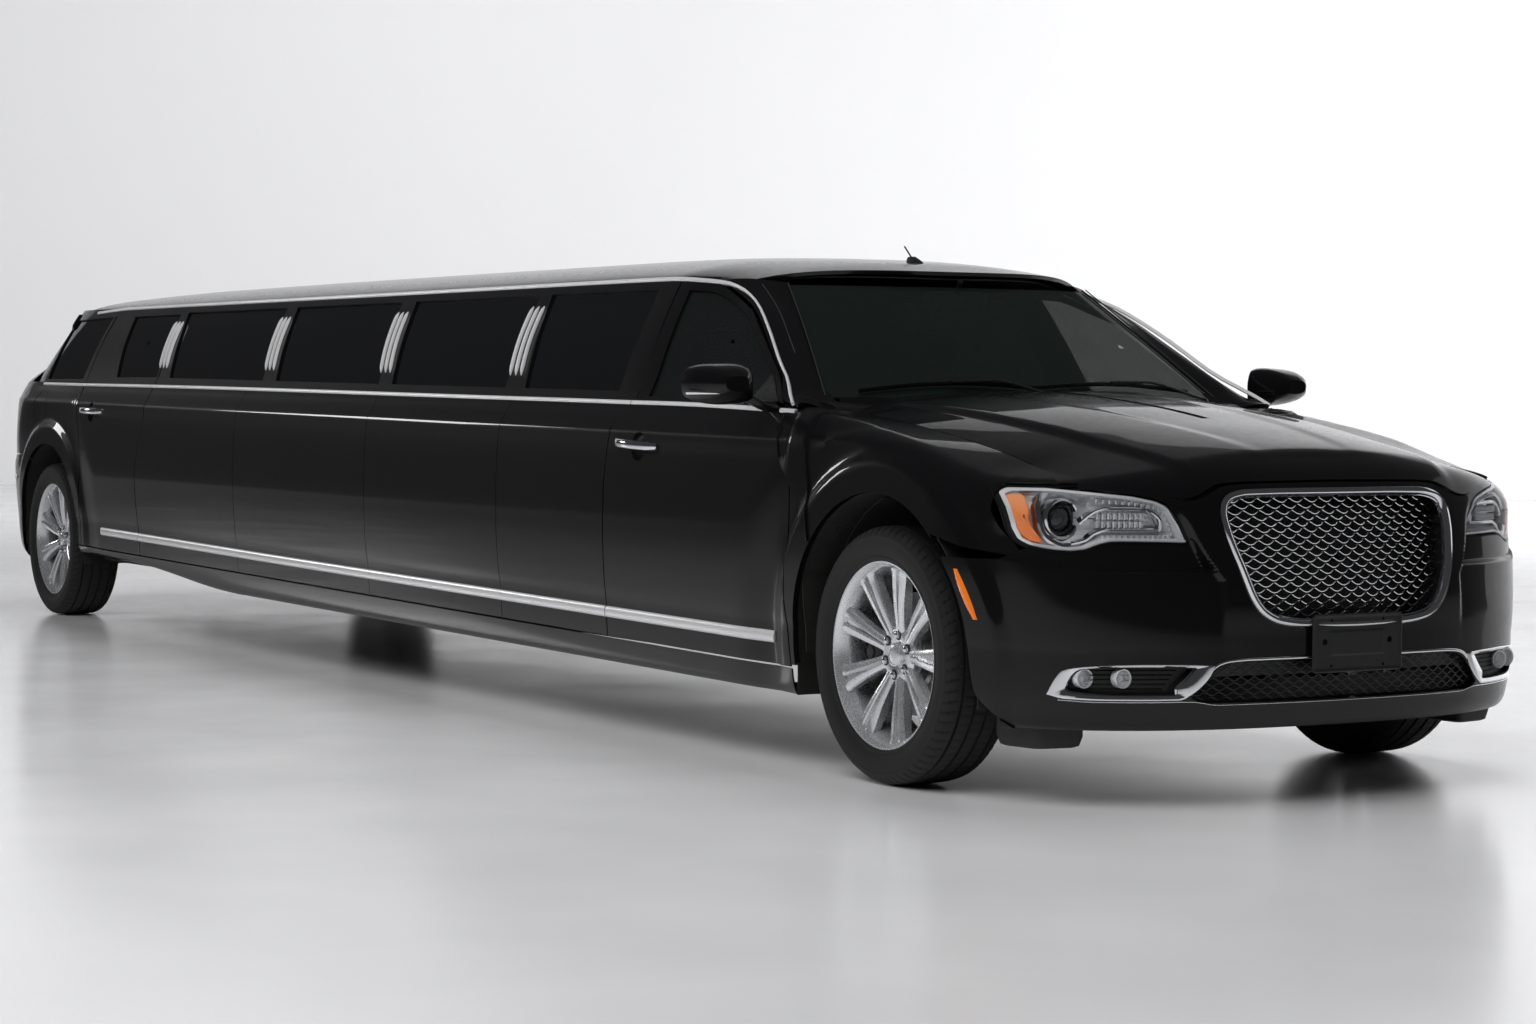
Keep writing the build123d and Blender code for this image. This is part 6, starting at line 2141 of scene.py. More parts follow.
def build_fog_bezel():
    """Bright bezel of a fog lamp: a pointed ring whose face dips to the pocket."""
    outer, inner = matched(FOG_OUTER, FOG_INNER)
    outer, inner = nose_path_of(outer), nose_path_of(inner)
    rings = [outer - (0.003, 0, 0), outer + (0.0045, 0, 0), lerp(outer, inner, 0.25) + (0.0065, 0, 0),
             lerp(outer, inner, 0.85) + (0.0015, 0, 0), inner - (0.004, 0, 0), inner - (0.012, 0, 0)]
    return ring_sheet(rings, 0.002)


def nose_path_of(line, deep=0.0):
    """Points on the nose below a flat (|y|, height) line."""
    places = nose_places(line)
    return wrap(NOSE_PLAN, places[:, 0], places[:, 1]) - (deep, 0, 0)


def nose_spot(y, z, deep):
    """One point on the nose, moved back."""
    return nose_path_of(np.array([[y, z]]), deep)[0]


def build_fog_pocket():
    """Dark pocket of a fog lamp: walls and a ribbed floor."""
    inner = matched(FOG_OUTER, FOG_INNER)[1]
    flat = inner.copy()
    edge = nose_path_of(inner)
    rings = [edge - (0.004, 0, 0), edge - (0.030, 0, 0)]
    middle = np.array((0.64, 0.340))
    for share in (0.25, 0.5, 0.75, 0.94):
        line = lerp(flat, middle, share)
        line[:, 1] = lerp(flat[:, 1], middle[1], share)
        rings.append(nose_path_of(line, 0.030))
    shell = ring_sheet(rings, 0.003)
    for height in (0.318, 0.330, 0.342, 0.354, 0.366):
        wide = np.interp(height, [0.318, 0.366], [0.555, 0.520]), np.interp(
            height, [0.318, 0.366], [0.765, 0.745]
        )
        path = nose_path([(wide[0], height), (sum(wide) / 2, height), (wide[1], height)], 0.027, 8)
        shell.add(*bead(path, (1, 0, 0), dome(0.003, 0.003, -0.002, 5)))
    return shell


FOG_LAMPS = ((0.738, 0.346), (0.656, 0.347))


def build_fog_lamps():
    """Two round fog lamps a side: bright bowls with a ring."""
    shell = Shell()
    for y, z in FOG_LAMPS:
        centre = nose_spot(y, z, 0.020)
        bowl = (
            (-0.012, 0.0), (-0.012, 0.0245), (0.010, 0.0260), (0.0125, 0.0250), (0.0120, 0.0225),
            (0.002, 0.0190), (-0.006, 0.0100), (-0.008, 0.0)
        )
        shell.add(*plug(bowl, 40, centre, "x"))
        shell.add(
            *plug(((-0.008, 0.0), (-0.008, 0.008), (0.000, 0.0075), (0.003, 0.004), (0.004, 0.0)), 20,
                centre, "x")
        )
    return shell


def build_fog_glass():
    """Fluted glass over the fog lamps."""
    shell = Shell()
    for y, z in FOG_LAMPS:
        centre = nose_spot(y, z, 0.020)
        shell.add(
            *plug(((0.0085, 0.0), (0.0085, 0.0225), (0.0105, 0.0225), (0.0145, 0.0150), (0.0165, 0.0)), 40,
                centre, "x")
        )
    return shell


def lamp_line(shrunk=0.0, deep=0.0, per=5):
    """Headlamp's outline drawn in by an amount and moved back."""
    line = rounded(HEADLAMP, 0.010, per)
    return nose_path_of(shrink(line, shrunk), deep)


def build_lamp_gasket():
    """Black gap between the body and the lamp."""
    rings = [
        lamp_line(-0.003, 0.003), lamp_line(-0.003, 0.010), lamp_line(0.0065, 0.010),
        lamp_line(0.008, 0.016)
    ]
    return ring_sheet(rings, 0.002)


def build_lamp_housing():
    """Bright housing: a rim line, a step down and a bowl floor with a bulge round the projector."""
    rings = [
        lamp_line(0.0065, 0.007), lamp_line(0.009, 0.0035), lamp_line(0.013, 0.0040),
        lamp_line(0.0155, 0.010), lamp_line(0.0165, 0.018), lamp_line(0.022, 0.026), lamp_line(0.032, 0.038)
    ]
    base = shrink(rounded(HEADLAMP, 0.010, 5), 0.032)
    middle = np.array((0.70, 0.760))
    for share in (0.2, 0.4, 0.6, 0.8, 0.97):
        line = base.copy()
        line[:, 1] = lerp(base[:, 1], middle[1], share)
        line[:, 0] = lerp(base[:, 0], np.clip(base[:, 0], 0.56, 0.80), share)
        rings.append(nose_path_of(line, 0.045 + 0.006 * math.sin(share * 9)))
    rings = np.stack(rings)
    floor = front(0.578) - 0.10 * np.maximum(rings[..., 1] - 0.82, 0)
    near = smooth((rings[..., 1] - 0.688) / 0.026) * np.array((
        0, 0, 0, 0, 0.1, 0.35, 0.8, 1, 1, 1, 1, 1
    ))[:, None]
    rings[..., 0] = lerp(rings[..., 0], np.minimum(rings[..., 0], floor), near)
    return ring_sheet(rings, 0.002)


PROJECTOR = (front(0.605), 0.747, 0.759)


def build_projector():
    """Projector bezel: a deep bright bell with a stepped ring."""
    profile = (
        (-0.040, 0.058), (0.000, 0.0560), (0.0050, 0.0540), (0.0070, 0.0510), (0.0040, 0.0470),
        (-0.004, 0.0450), (-0.020, 0.0430), (-0.040, 0.0420)
    )
    return Shell().add(*lathe(profile, 72, PROJECTOR, "x"))


def build_projector_dark():
    """Black sleeve inside the bezel."""
    profile = (
        (-0.044, 0.0), (-0.044, 0.0445), (-0.008, 0.0445), (-0.0065, 0.0425), (-0.010, 0.0360),
        (-0.022, 0.0345), (-0.026, 0.0)
    )
    return Shell().add(*plug(profile, 64, PROJECTOR, "x"))


def build_projector_lens():
    """Clear thick lens of the projector."""
    angle = np.linspace(math.pi / 2, 0, 12)
    cap = [(-0.020 + 0.022 * math.sin(math.pi / 2 - a), 0.0335 * math.sin(a)) for a in angle]
    return Shell().add(*plug([(-0.024, 0.0), (-0.024, 0.0335)] + cap, 56, PROJECTOR, "x"))


RIBBON = (
    (0.735, 0.748), (0.716, 0.768), (0.696, 0.781), (0.672, 0.787), (0.582, 0.786), (0.556, 0.774),
    (0.540, 0.752), (0.541, 0.732), (0.612, 0.731), (0.672, 0.731), (0.700, 0.722), (0.722, 0.704),
    (0.752, 0.694)
)
LED_PATH = (
    (0.690, 0.806), (0.640, 0.803), (0.600, 0.798), (0.556, 0.790), (0.534, 0.774), (0.519, 0.748),
    (0.508, 0.720)
)
LED_FOOT = ((0.514, 0.7135), (0.560, 0.7135), (0.610, 0.7135), (0.680, 0.7135))


def build_lamp_ribbon():
    """Bright C-shaped guide that hooks round the lights, and the sweep under the projector."""
    shell = Shell()
    path = nose_path(RIBBON, 0.020, 6)
    shell.add(
        *bead(path, (1, 0, 0), np.array(((-0.0048, -0.020), (-0.0050, 0.0), (-0.0025, 0.003),
            (0.0025, 0.003), (0.0050, 0.0), (0.0048, -0.020))))
    )
    sweep = nose_path(
        [(0.800, 0.820), (0.815, 0.780), (0.812, 0.745), (0.796, 0.708), (0.760, 0.690), (0.725, 0.690)],
        0.022, 6
    )
    wide = np.array((0.006, 0.008, 0.010, 0.010, 0.008, 0.005))
    wide = np.interp(np.linspace(0, 1, len(sweep)), np.linspace(0, 1, 6), wide)
    section = np.stack(
        [spots(wide * k, h) for k, h in ((-1, -0.020), (-1, 0.0), (-0.5, 0.004), (0.5, 0.004), (1, 0.0),
            (1, -0.020))], axis=1
    )
    shell.add(*bead(sweep, (1, 0, 0), section))
    rim = nose_path(
        [(0.835, 0.826), (0.790, 0.829), (0.700, 0.821), (0.620, 0.811), (0.565, 0.800)], 0.014, 6
    )
    shell.add(*bead(rim, (1, 0, 0), dome(0.004, 0.003, -0.01)))
    return shell


def build_lamp_cells():
    """Rows of small reflector cells: two rows inside the guide and one row that follows the lamp's inner
    edge."""
    shell = Shell()

    def cell(y, z, deep, wide, tall):
        centre = nose_spot(y, z, deep)
        for grow, ahead in ((1.0, 0.0), (0.80, 0.005), (0.62, 0.0055), (0.45, 0.001)):
            box = np.array(((-1, -1), (1, -1), (1, 1), (-1, 1))) * (wide * grow, tall * grow)
            rings.append(spots(centre[0] + ahead, centre[1] + box[:, 0], centre[2] + box[:, 1]))

    for z in (0.7455, 0.7675):
        for y in np.linspace(0.585, 0.690, 9):
            rings = []
            cell(y, z, 0.030, 0.0056, 0.0092)
            shell.add(*tube(np.stack(rings)))
    for line, count in ((LED_PATH, 15), (LED_FOOT, 11)):
        for y, z in bent(line, 20)[:: max(1, (len(line) - 1) * 20 // count)]:
            rings = []
            cell(y, z, 0.022, 0.0046, 0.0050)
            shell.add(*tube(np.stack(rings)))
    return shell


AMBER = (
    (0.857, 0.822), (0.832, 0.823), (0.834, 0.790), (0.838, 0.757), (0.828, 0.722), (0.811, 0.697),
    (0.834, 0.702), (0.852, 0.722), (0.862, 0.757), (0.864, 0.795)
)


def build_amber():
    """Amber reflector at the lamp's outer end."""
    line = rounded(AMBER, 0.006, 4)
    middle = np.array((0.846, 0.765))
    rings = [nose_path_of(line, 0.018), nose_path_of(line, 0.009)]
    for share in (0.15, 0.5, 0.9):
        rings.append(
            nose_path_of(spots(lerp(line[:, 0], middle[0], share), lerp(line[:, 1], middle[1], share)),
                0.007)
        )
    return ring_sheet(rings, 0.003)


def build_lamp_cover():
    """Clear cover over a headlamp, flush with the body."""
    line = shrink(rounded(HEADLAMP, 0.010, 5), 0.0065)
    middle = np.array((0.70, 0.762))
    rings = [nose_path_of(line, 0.008), nose_path_of(line, 0.0012)]
    for share in (0.08, 0.25, 0.45, 0.65, 0.85, 0.98):
        flat = line.copy()
        flat[:, 1] = lerp(line[:, 1], middle[1], share)
        flat[:, 0] = lerp(line[:, 0], np.clip(line[:, 0], 0.54, 0.82), share)
        rings.append(nose_path_of(flat, 0.0))
    return ring_sheet(rings, 0.002)


def build_bracket():
    """Blank number-plate bracket: a plate with a raised rim, four bolt holes and two larger ones."""
    low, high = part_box("plate_bracket")
    mid_z, half_z, half_y = (low.z + high.z) / 2, (high.z - low.z) / 2, (high.y - low.y) / 2
    y, z = np.meshgrid(np.linspace(-half_y, half_y, 96), np.linspace(-half_z, half_z, 50), indexing="ij")
    holes = [round_section(0.0042, 12) + (a * 0.089, b * 0.0605) for a in (-1, 1) for b in (-1, 1)]
    holes += [round_section(0.0085, 16) + (a * 0.112, 0.004) for a in (-1, 1)]
    flat, faces = pierce(y, z, holes)
    corner = 0.012
    over = np.maximum(np.abs(flat) - (half_y - corner, half_z - corner), 0)
    reach = np.linalg.norm(over, axis=1)
    flat = flat - np.sign(flat) * over * np.where(
        reach > corner, 1 - corner / np.maximum(reach, 1e-9), 0
    )[:, None]
    edge = np.minimum(half_y - np.abs(flat[:, 0]), half_z - np.abs(flat[:, 1]))
    rib = 0.0022 * smooth((0.010 - edge) / 0.004) * smooth(edge / 0.003)
    rib = rib + 0.0015 * (1 - smooth((np.abs(flat[:, 1]) - 0.03) / 0.003)) * (np.abs(flat[:, 0]) < 0.09)
    points = spots(high.x - 0.003 + rib, flat[:, 0], mid_z + flat[:, 1])
    shell = thicken(
        Shell(), *weld((points, faces)), high.x - low.x - 0.004, lambda p: np.array([[1.0, 0, 0]])
    )
    for way in (1, -1):
        path = np.array([(low.x + 0.002, way * 0.10, mid_z), (low.x - 0.05, way * 0.10, mid_z)])
        path = straight(path, 3)
        shell.rod(path, (0, 0, 1), 0.012, 12)
    return shell


class LIMO_OT_nose(bpy.types.Operator):
    """Build the grille, the headlamps, the fog lamps, the lower intake and the plate bracket"""
    bl_idname = "limo.nose"
    bl_label = "Nose"

    def execute(self, context):
        def put(name, shell, look, replaces=(), slot=None, sharp=35, mirrored=True):
            return make(name, shell.mirror() if mirrored else shell, look, "car_body", replaces, sharp)

        put("grille_frame", build_grille_frame(), "chrome", ["grille"], "grille_chrome", mirrored=False)
        put("grille_wires", build_grille_wires(), "chrome", slot="grille_chrome", mirrored=False)
        put("grille_back", build_grille_back(), "satin", mirrored=False)
        put("intake_tray", build_lower_intake(), "satin", ["lower_intake"], "black_plastic", mirrored=False)
        put("intake_wires", build_intake_wires(), "satin", mirrored=False)
        put("nose_trim", build_nose_trim(), "chrome", mirrored=False)
        put("fog_bezels", build_fog_bezel(), "chrome")
        put("fog_pockets", build_fog_pocket(), "plastic")
        put("fog_bowls", build_fog_lamps(), "reflector", ["fog_lamps"], "lamp_glass")
        put("fog_glass", build_fog_glass(), "lamp_glass")
        put("lamp_gaskets", build_lamp_gasket(), "seal")
        put("lamp_housings", build_lamp_housing(), "reflector", ["headlamps"], "lamp_glass")
        put("lamp_projectors", build_projector(), "chrome")
        put("lamp_sleeves", build_projector_dark(), "satin")
        put("lamp_lenses", build_projector_lens(), "thick_lens")
        put("lamp_ribbons", build_lamp_ribbon(), "chrome")
        put("lamp_cells", build_lamp_cells(), "reflector", sharp=20)
        put("lamp_amber", build_amber(), "amber")
        put("lamp_covers", build_lamp_cover(), "lamp_cover")
        put("plate_holder", build_bracket(), "plastic", ["plate_bracket"], "black_plastic", mirrored=False)
        return {"FINISHED"}


# ---------------------------------------------------------------- sides: bright trim, handles and mirrors
# Lines along the side, each as (x ahead of the front axle, height).
BELT_TRIM = curve((
    (-7.51, 1.095), (-6.87, 1.091), (-5.87, 1.086), (-4.73, 1.0775), (-2.50, 1.057), (-1.83, 1.051),
    (-1.59, 1.0485), (-1.224, 1.0455), (-0.71, 1.035), (-0.52, 1.029)
))
RAIL_TRIM = (
    (-7.35, 1.434), (-7.15, 1.441), (-6.94, 1.446), (-6.0, 1.447), (-4.0, 1.447), (-2.0, 1.448),
    (-1.67, 1.447), (-1.467, 1.438), (-1.329, 1.425), (-1.213, 1.400), (-1.108, 1.366), (-1.043, 1.338),
    (-0.895, 1.254), (-0.748, 1.158), (-0.597, 1.078), (-0.540, 1.045)
)
SILL_TRIM = curve(((-6.54, 0.4285), (-6.04, 0.423), (-4.86, 0.410), (-4.60, 0.407), (-0.565, 0.3725)))
SILL_ENDS = (rear(0.770), front(-0.565))


def belt_bead(behind, ahead, count=40):
    """Bright moulding along the belt between two places."""
    x = np.linspace(behind, ahead, count)
    path = flank(x, BELT_TRIM(x - FRONT_AXLE))
    return Shell().add(*bead(path, (0, 0.90, 0.43), dome(looks().belt_width, 0.006, -0.004)))


def sill_bead(behind, ahead, count=30, shell=None):
    """Broad bright strip along the foot of the doors between two places."""
    x = np.linspace(behind, ahead, count)
    path = flank(x, SILL_TRIM(x - FRONT_AXLE))
    return (shell or Shell()).add(*bead(path, (0, 1, 0), dome(0.036, 0.007, -0.004, 9)))


def build_rail_trim():
    """Bright moulding under the roof's edge and down the screen pillar, narrower on the pillar."""
    line = bent(RAIL_TRIM, 8)
    path = house(front(line[:, 0]), line[:, 1])
    down = smooth((line[:, 0] + 1.45) / 0.35)[:, None]
    path = path + down * np.array([0.003, 0.006, 0.006])
    up = unit(lerp(np.array([0.0, 0.82, 0.57]), np.array([0.30, 0.72, 0.62]), down))
    width = lerp(1.0, 0.55, down)[..., None]
    section = dome(0.015, 0.006, -0.005)[None] * width * (1, 0) + dome(0.015, 0.006, -0.005)[None] * (0, 1)
    return Shell().add(*bead(path, up, section))


def build_pillar_lines():
    """Two fine bright lines beside the windscreen: one on the pillar and one along the glass."""
    shell = Shell()
    line = pillar_points([0.58])[0, 14:35]
    shell.rod(line, (0.4, 0.6, 0.69), 0.0024, 6)
    z = np.linspace(*SCREEN_Z, 40)
    edge = screen_point(np.full(40, 0.998), z) + (0.004, 0.004, 0.003)
    return shell.rod(edge, (0.6, 0.5, 0.62), 0.0022, 6)


PILLARS = ((-4.690, -4.875), (-3.528, -3.706), (-2.428, -2.548), (-5.945, -6.125))


def build_tri_bars():
    """Three slim curved bars on each pillar between the lounge windows."""
    shell = Shell()
    t = np.linspace(0, 1, 17)
    for foot, head in PILLARS:
        for offset in (-0.042, 0.0, 0.042):
            z = lerp(belt_z(front(foot)) + 0.075, 1.372, t)
            share = (z - belt_z(front(foot)) - PANE_Z[0]) / (PANE_Z[1] - belt_z(front(foot)) - PANE_Z[0])
            x = lerp(foot, head, share) + offset - 0.010 * np.sin(math.pi * t)
            path = house(front(x), z)
            size = (0.25 + 0.75 * np.clip(np.sin(math.pi * t) * 4, 0, 1))[:, None, None]
            shell.add(*bead(path, (0, 0.88, 0.47), dome(0.012, 0.010, -0.001) * size + (0, 0.003)))
    return shell


def build_handle(cup, behind, ahead, drop):
    """Door handle: a bar bowed out from the skin, its ends turned in to meet it."""
    t = np.linspace(0, 1, 45)
    x = lerp(cup[0] - behind, cup[0] + ahead, t)
    z = cup[1] + 0.006 - drop * (t - 0.5)
    path = flank(x, z) + spots(0 * t, 0.033 * np.clip(np.sin(math.pi * t), 0, 1) ** 0.5, 0 * t)
    path[:, 1] -= 0.004
    size = lerp(0.72, 1.0, np.clip(np.sin(math.pi * t) * 2.5, 0, 1))[:, None, None]
    return Shell().add(*bead(path, (0, 1, 0), round_section(looks().handle_size, 16) * (2.0, 1.0) * size))


def build_cup(cup):
    """Round cup let into the door behind the handle."""
    angle = np.linspace(0, 2 * math.pi, 40, endpoint=False)
    out = np.array((1.0, 0.985, 0.93, 0.80, 0.60, 0.35, 0.08))[:, None]
    deep = np.array((0.0, 0.006, 0.016, 0.024, 0.029, 0.031, 0.032))[:, None]
    points = flank(cup[0] + CUP_R * out * np.cos(angle), cup[1] + CUP_R * out * np.sin(angle))
    points[..., 1] -= deep
    return ring_sheet(points, 0.002, lambda p: np.array([[0, 1.0, 0]]))


MIRROR_OUTLINE = (
    (0.943, 1.068), (0.962, 1.050), (1.010, 1.047), (1.070, 1.058), (1.096, 1.080), (1.100, 1.118),
    (1.088, 1.150), (1.050, 1.166), (0.985, 1.170), (0.952, 1.158), (0.942, 1.110)
)
MIRROR_OUTLINE = tuple((0.943 + (y - 0.943) * 1.30, z) for y, z in MIRROR_OUTLINE)
MIRROR_FACE, MIRROR_NOSE = front(-0.715), front(-0.583)
MIRROR_MID = (1.040, 1.108)


def mirror_rings(shares, ahead):
    """Rings of a mirror housing: shares of its outline, each at its own place along the car."""
    line = bent(MIRROR_OUTLINE + MIRROR_OUTLINE[:1], 5)[:-1]
    rings = []
    for share, x in zip(shares, ahead):
        flat = lerp(np.array(MIRROR_MID), line, share)
        lean = 0.10 * (flat[:, 0] - 0.94)
        rings.append(spots(x - lean * share, flat[:, 0], flat[:, 1]))
    return np.stack(rings)


def build_mirror():
    """Mirror housing: its outline swelled forward to a blunt nose, hollow behind with a rolled lip."""
    share = np.cos(np.linspace(0, math.pi / 2, 12)[:-1] * 0.985) ** 0.55
    ahead = lerp(MIRROR_FACE, MIRROR_NOSE, np.linspace(0, 1, 11) ** 0.9)
    back_share = np.array((0.93, 0.955, 0.985))
    back_ahead = MIRROR_FACE + np.array((0.010, 0.001, -0.002))
    rings = mirror_rings(np.concatenate([back_share, share]), np.concatenate([back_ahead, ahead]))
    shell = Shell().add(*tube(rings))
    arm = bent([(front(-0.640), 0.890, 1.036), (front(-0.640), 0.915, 1.040), (front(-0.640), 0.945, 1.052),
                (front(-0.642), 0.975, 1.068)], 6)
    section = round_section(0.012, 14) * (2.6, 1.0)
    return shell.add(*bead(arm, (0, -0.3, 1), section))


def build_mirror_crease():
    """Fine dark line where a mirror's cap meets its lower shell."""
    t = np.linspace(0, 1, 40)
    y = lerp(1.143, 0.944, t)
    share = np.sqrt(np.clip(1 - ((y - 1.042) / 0.105) ** 2, 0, 1))
    x = MIRROR_FACE + 0.128 * share ** 0.9 - 0.1 * (y - 0.94)
    z = 1.100 - 0.006 * t
    return Shell().rod(spots(x, y, z), (0, 0, 1), 0.0022, 6)


def build_mirror_glass():
    """Mirror glass, set in the housing's rear opening."""
    rings = mirror_rings(
        (0.90, 0.60, 0.30, 0.04), np.full(4, MIRROR_FACE - 0.0005) - np.array((0, 0.0006, 0.001, 0.0012))
    )
    return ring_sheet(rings, 0.003, lambda p: np.array([[-1.0, 0, 0]]))


def build_mirror_lamp():
    """Slim signal lens round the outer foot of a mirror."""
    t = np.linspace(0, 1, 24)
    y = 1.148 - 0.085 * t ** 1.4
    share = np.sqrt(np.clip(1 - ((y - 1.042) / 0.109) ** 2, 0, 1))
    x = MIRROR_FACE + 0.012 + 0.112 * share - 0.1 * (y - 0.94)
    path = spots(x, y, 1.084 - 0.004 * t)
    size = (1 - 0.85 * t)[:, None, None]
    return Shell().add(*bead(path, (0, 0, 1), round_section(0.008, 10) * (0.6, 1.0) * size))


def build_sail():
    """Black triangle that fills the front corner of the door's window."""
    low = [(-0.640, 1.056), (-0.800, 1.060)]
    high = [(-0.650, 1.064), (-0.795, 1.142)]
    shell = Shell()
    return strip(shell, [(front(x), z) for x, z in low], [(front(x), z) for x, z in high], 6, 0.010, -0.0025)


def build_marker():
    """Amber side marker ahead of the front arch, a slim leaning strip."""
    t = np.linspace(0, 1, 12)[:, None]
    across = np.linspace(-1, 1, 5)[None, :]
    x = front(lerp(0.463, 0.397, t) + 0.013 * across * np.sin(math.pi * np.clip(t, 0.06, 0.94)) ** 0.35)
    z = lerp(0.490, 0.622, t) + 0 * across
    points = flank(x, z)
    points[..., 1] += 0.0035 - 0.003 * across ** 4
    return panel(points, 0.004)


def build_fuel_ring():
    """Fine seam round the fuel flap."""
    angle = np.linspace(0, 2 * math.pi, 60, endpoint=False)
    path = flank(rear(-0.150) + 0.088 * np.cos(angle), 0.985 + 0.080 * np.sin(angle))
    return Shell().rod(path, (0, 1, 0.05), 0.0013, 6, closed=True)


def build_arch_lips():
    """Rolled inner edge of both wheel arches on one side."""
    shell = Shell()
    for axle, start, end in ((FRONT_AXLE, 48.0, 189.0), (REAR_AXLE, -4.0, 180.0)):
        angle = np.radians(np.linspace(start, end, 90))
        x, z = axle + (ARCH_R + 0.002) * np.cos(angle), ARCH_Z + (ARCH_R + 0.002) * np.sin(angle)
        path = flank(x, z) - (0, 0.009, 0)
        up = spots(np.cos(angle), 0 * angle, np.sin(angle))
        section = np.array(((-0.010, -0.002), (0.008, -0.0025), (0.008, 0.0015), (-0.010, 0.002)))
        shell.add(*bead(path, up, section))
    return shell


def build_arch_liners():
    """Ribbed liners inside both wheel arches of one side, running down behind and ahead of the tyre."""
    shell = Shell()
    reach = ARCH_R + 0.007
    for axle, ahead, behind in ((FRONT_AXLE, 0.250, 0.212), (REAR_AXLE, 0.262, 0.262)):
        angle = np.radians(np.linspace(0, 180, 80))
        fore, aft = np.linspace(ahead, ARCH_Z, 12)[:-1], np.linspace(ARCH_Z, behind, 12)[1:]
        x = np.concatenate([
            np.full(11, axle + reach), axle + reach * np.cos(angle), np.full(11, axle - reach)
        ])
        z = np.concatenate([fore, ARCH_Z + reach * np.sin(angle), aft])
        out = flank(x, np.maximum(z, 0.30))[:, 1] - 0.016
        t = np.linspace(0, 1, 12)[:, None]
        rib = 0.004 * np.abs(np.sin(math.pi * 4 * t))
        y = lerp(0.585, out, t)
        points = spots(x + rib * np.sign(x - axle), y, z + 0 * y)
        panel(points, 0.003, shell)
    return shell


class LIMO_OT_sides(bpy.types.Operator):
    """Build the bright mouldings, the door handles, the mirrors and the small fittings of both sides"""
    bl_idname = "limo.sides"
    bl_label = "Side trim"

    def execute(self, context):
        door_back, wall_front = door_behind(1.04) + 0.004, door_behind(1.04) - 0.003
        wall_back, rear_ahead = rear_door_ahead(1.09) + 0.003, rear_door_ahead(1.09) - 0.004
        rear_back, quarter_front = rear_door_behind(1.09) + 0.004, rear_door_behind(1.09) - 0.003
        sill_wall = Shell()
        stops = [rear_door_ahead(0.42) + 0.003] + [
            front(x + 0.015) for x in PANEL_SEAMS[::-1]
        ] + [door_behind(0.38) - 0.003]
        for behind, ahead in zip(stops[:-1], stops[1:]):
            sill_bead(behind + 0.001, ahead - 0.001, 24, sill_wall)
        belt_wall = belt_bead(wall_back, wall_front, 120).join(belt_bead(rear(-0.205), quarter_front))
        mirror = {"housing": (build_mirror, "paint", 35), "crease": (build_mirror_crease, "seal", 60),
                  "glass": (build_mirror_glass, "mirror", 35), "signal": (build_mirror_lamp, "chrome", 40)}
        for way, side in SIDES:
            def put(name, shell, look, body, replaces=(), slot=None, sharp=35):
                return make(f"{name}_{side}", shell.on(way), look, body, replaces, sharp)

            door, back_door = f"front_door_{side}", f"rear_door_{side}"
            put("belt_trim_door", belt_bead(door_back, front(-0.700)), "trim", door)
            put("belt_trim_wing", belt_bead(front(-0.597), front(-0.525), 12), "trim", "car_body")
            put("belt_trim_wall", belt_wall, "trim", "car_body")
            put("belt_trim_rear_door", belt_bead(rear_back, rear_ahead), "trim", back_door)
            put("sill_trim_door", sill_bead(door_behind(0.38) + 0.003, SILL_ENDS[1]), "trim", door)
            put("sill_trim_wall", sill_wall, "trim", "car_body")
            put(
                "sill_trim_rear_door", sill_bead(SILL_ENDS[0], rear_door_ahead(0.42) - 0.003), "trim",
                back_door
            )
            put("rail_trim", build_rail_trim(), "trim", "car_body")
            put("pillar_lines", build_pillar_lines(), "chrome", "car_body")
            put("pillar_bars", build_tri_bars(), "trim", "car_body")
            put("handle_front", build_handle(FRONT_CUP, 0.148, 0.112, 0.010), "chrome", door, sharp=50)
            put("cup_front", build_cup(FRONT_CUP), "satin", door)
            put("handle_rear", build_handle(REAR_CUP, 0.138, 0.138, 0.003), "chrome", back_door, sharp=50)
            put("cup_rear", build_cup(REAR_CUP), "satin", back_door)
            for part, (build, look, sharp) in mirror.items():
                stands_for = [f"mirror_{side}"] if part == "housing" else ()
                put(
                    f"mirror_{part}", build(), look, door, stands_for,
                    "body_paint" if part == "housing" else None, sharp
                )
            put("sail", build_sail(), "satin", door)
            put("marker", build_marker(), "amber", "car_body")
            put("arch_liners", build_arch_liners(), "coated", "car_body")
            put("arch_lips", build_arch_lips(), "paint", "car_body")
        make("fuel_flap_seam", build_fuel_ring().flipped(), "seal", "car_body")
        return {"FINISHED"}


# ---------------------------------------------------------------- cowl, wipers, aerial and tail
def build_cowl():
    """Black cowl between bonnet and screen: a dished strip with fine slots across it."""
    v = np.linspace(-1, 1, 121)[None, :]
    t = np.linspace(0, 1, 9)[:, None]
    back = screen_point(0.95 * v, 1.068) + (0.010, 0, 0)
    ahead = spots(front(-0.600) + 0.100 * (1 - v ** 2) + 0.025, 0.69 * v,
                  1.072 - 0.048 * v ** 2 - 0.02)
    points = lerp(back, ahead, t[..., None])
    slot = (np.sin(v * 190) > 0.2) * (np.abs(t - 0.5) < 0.3)
    points[..., 2] -= 0.020 * np.sin(math.pi * t) + 0.003 * slot
    return panel(points, 0.006)


def screen_out(y, z, out):
    """Points over the windscreen at a distance y from the middle, raised from the glass."""
    t = (z - 1.070) / 0.350
    half = lerp(0.724, 0.566, t)
    return screen_point(y / half, z) + (out + 0 * y)[:, None] * np.array([0.60, 0.0, 0.80])


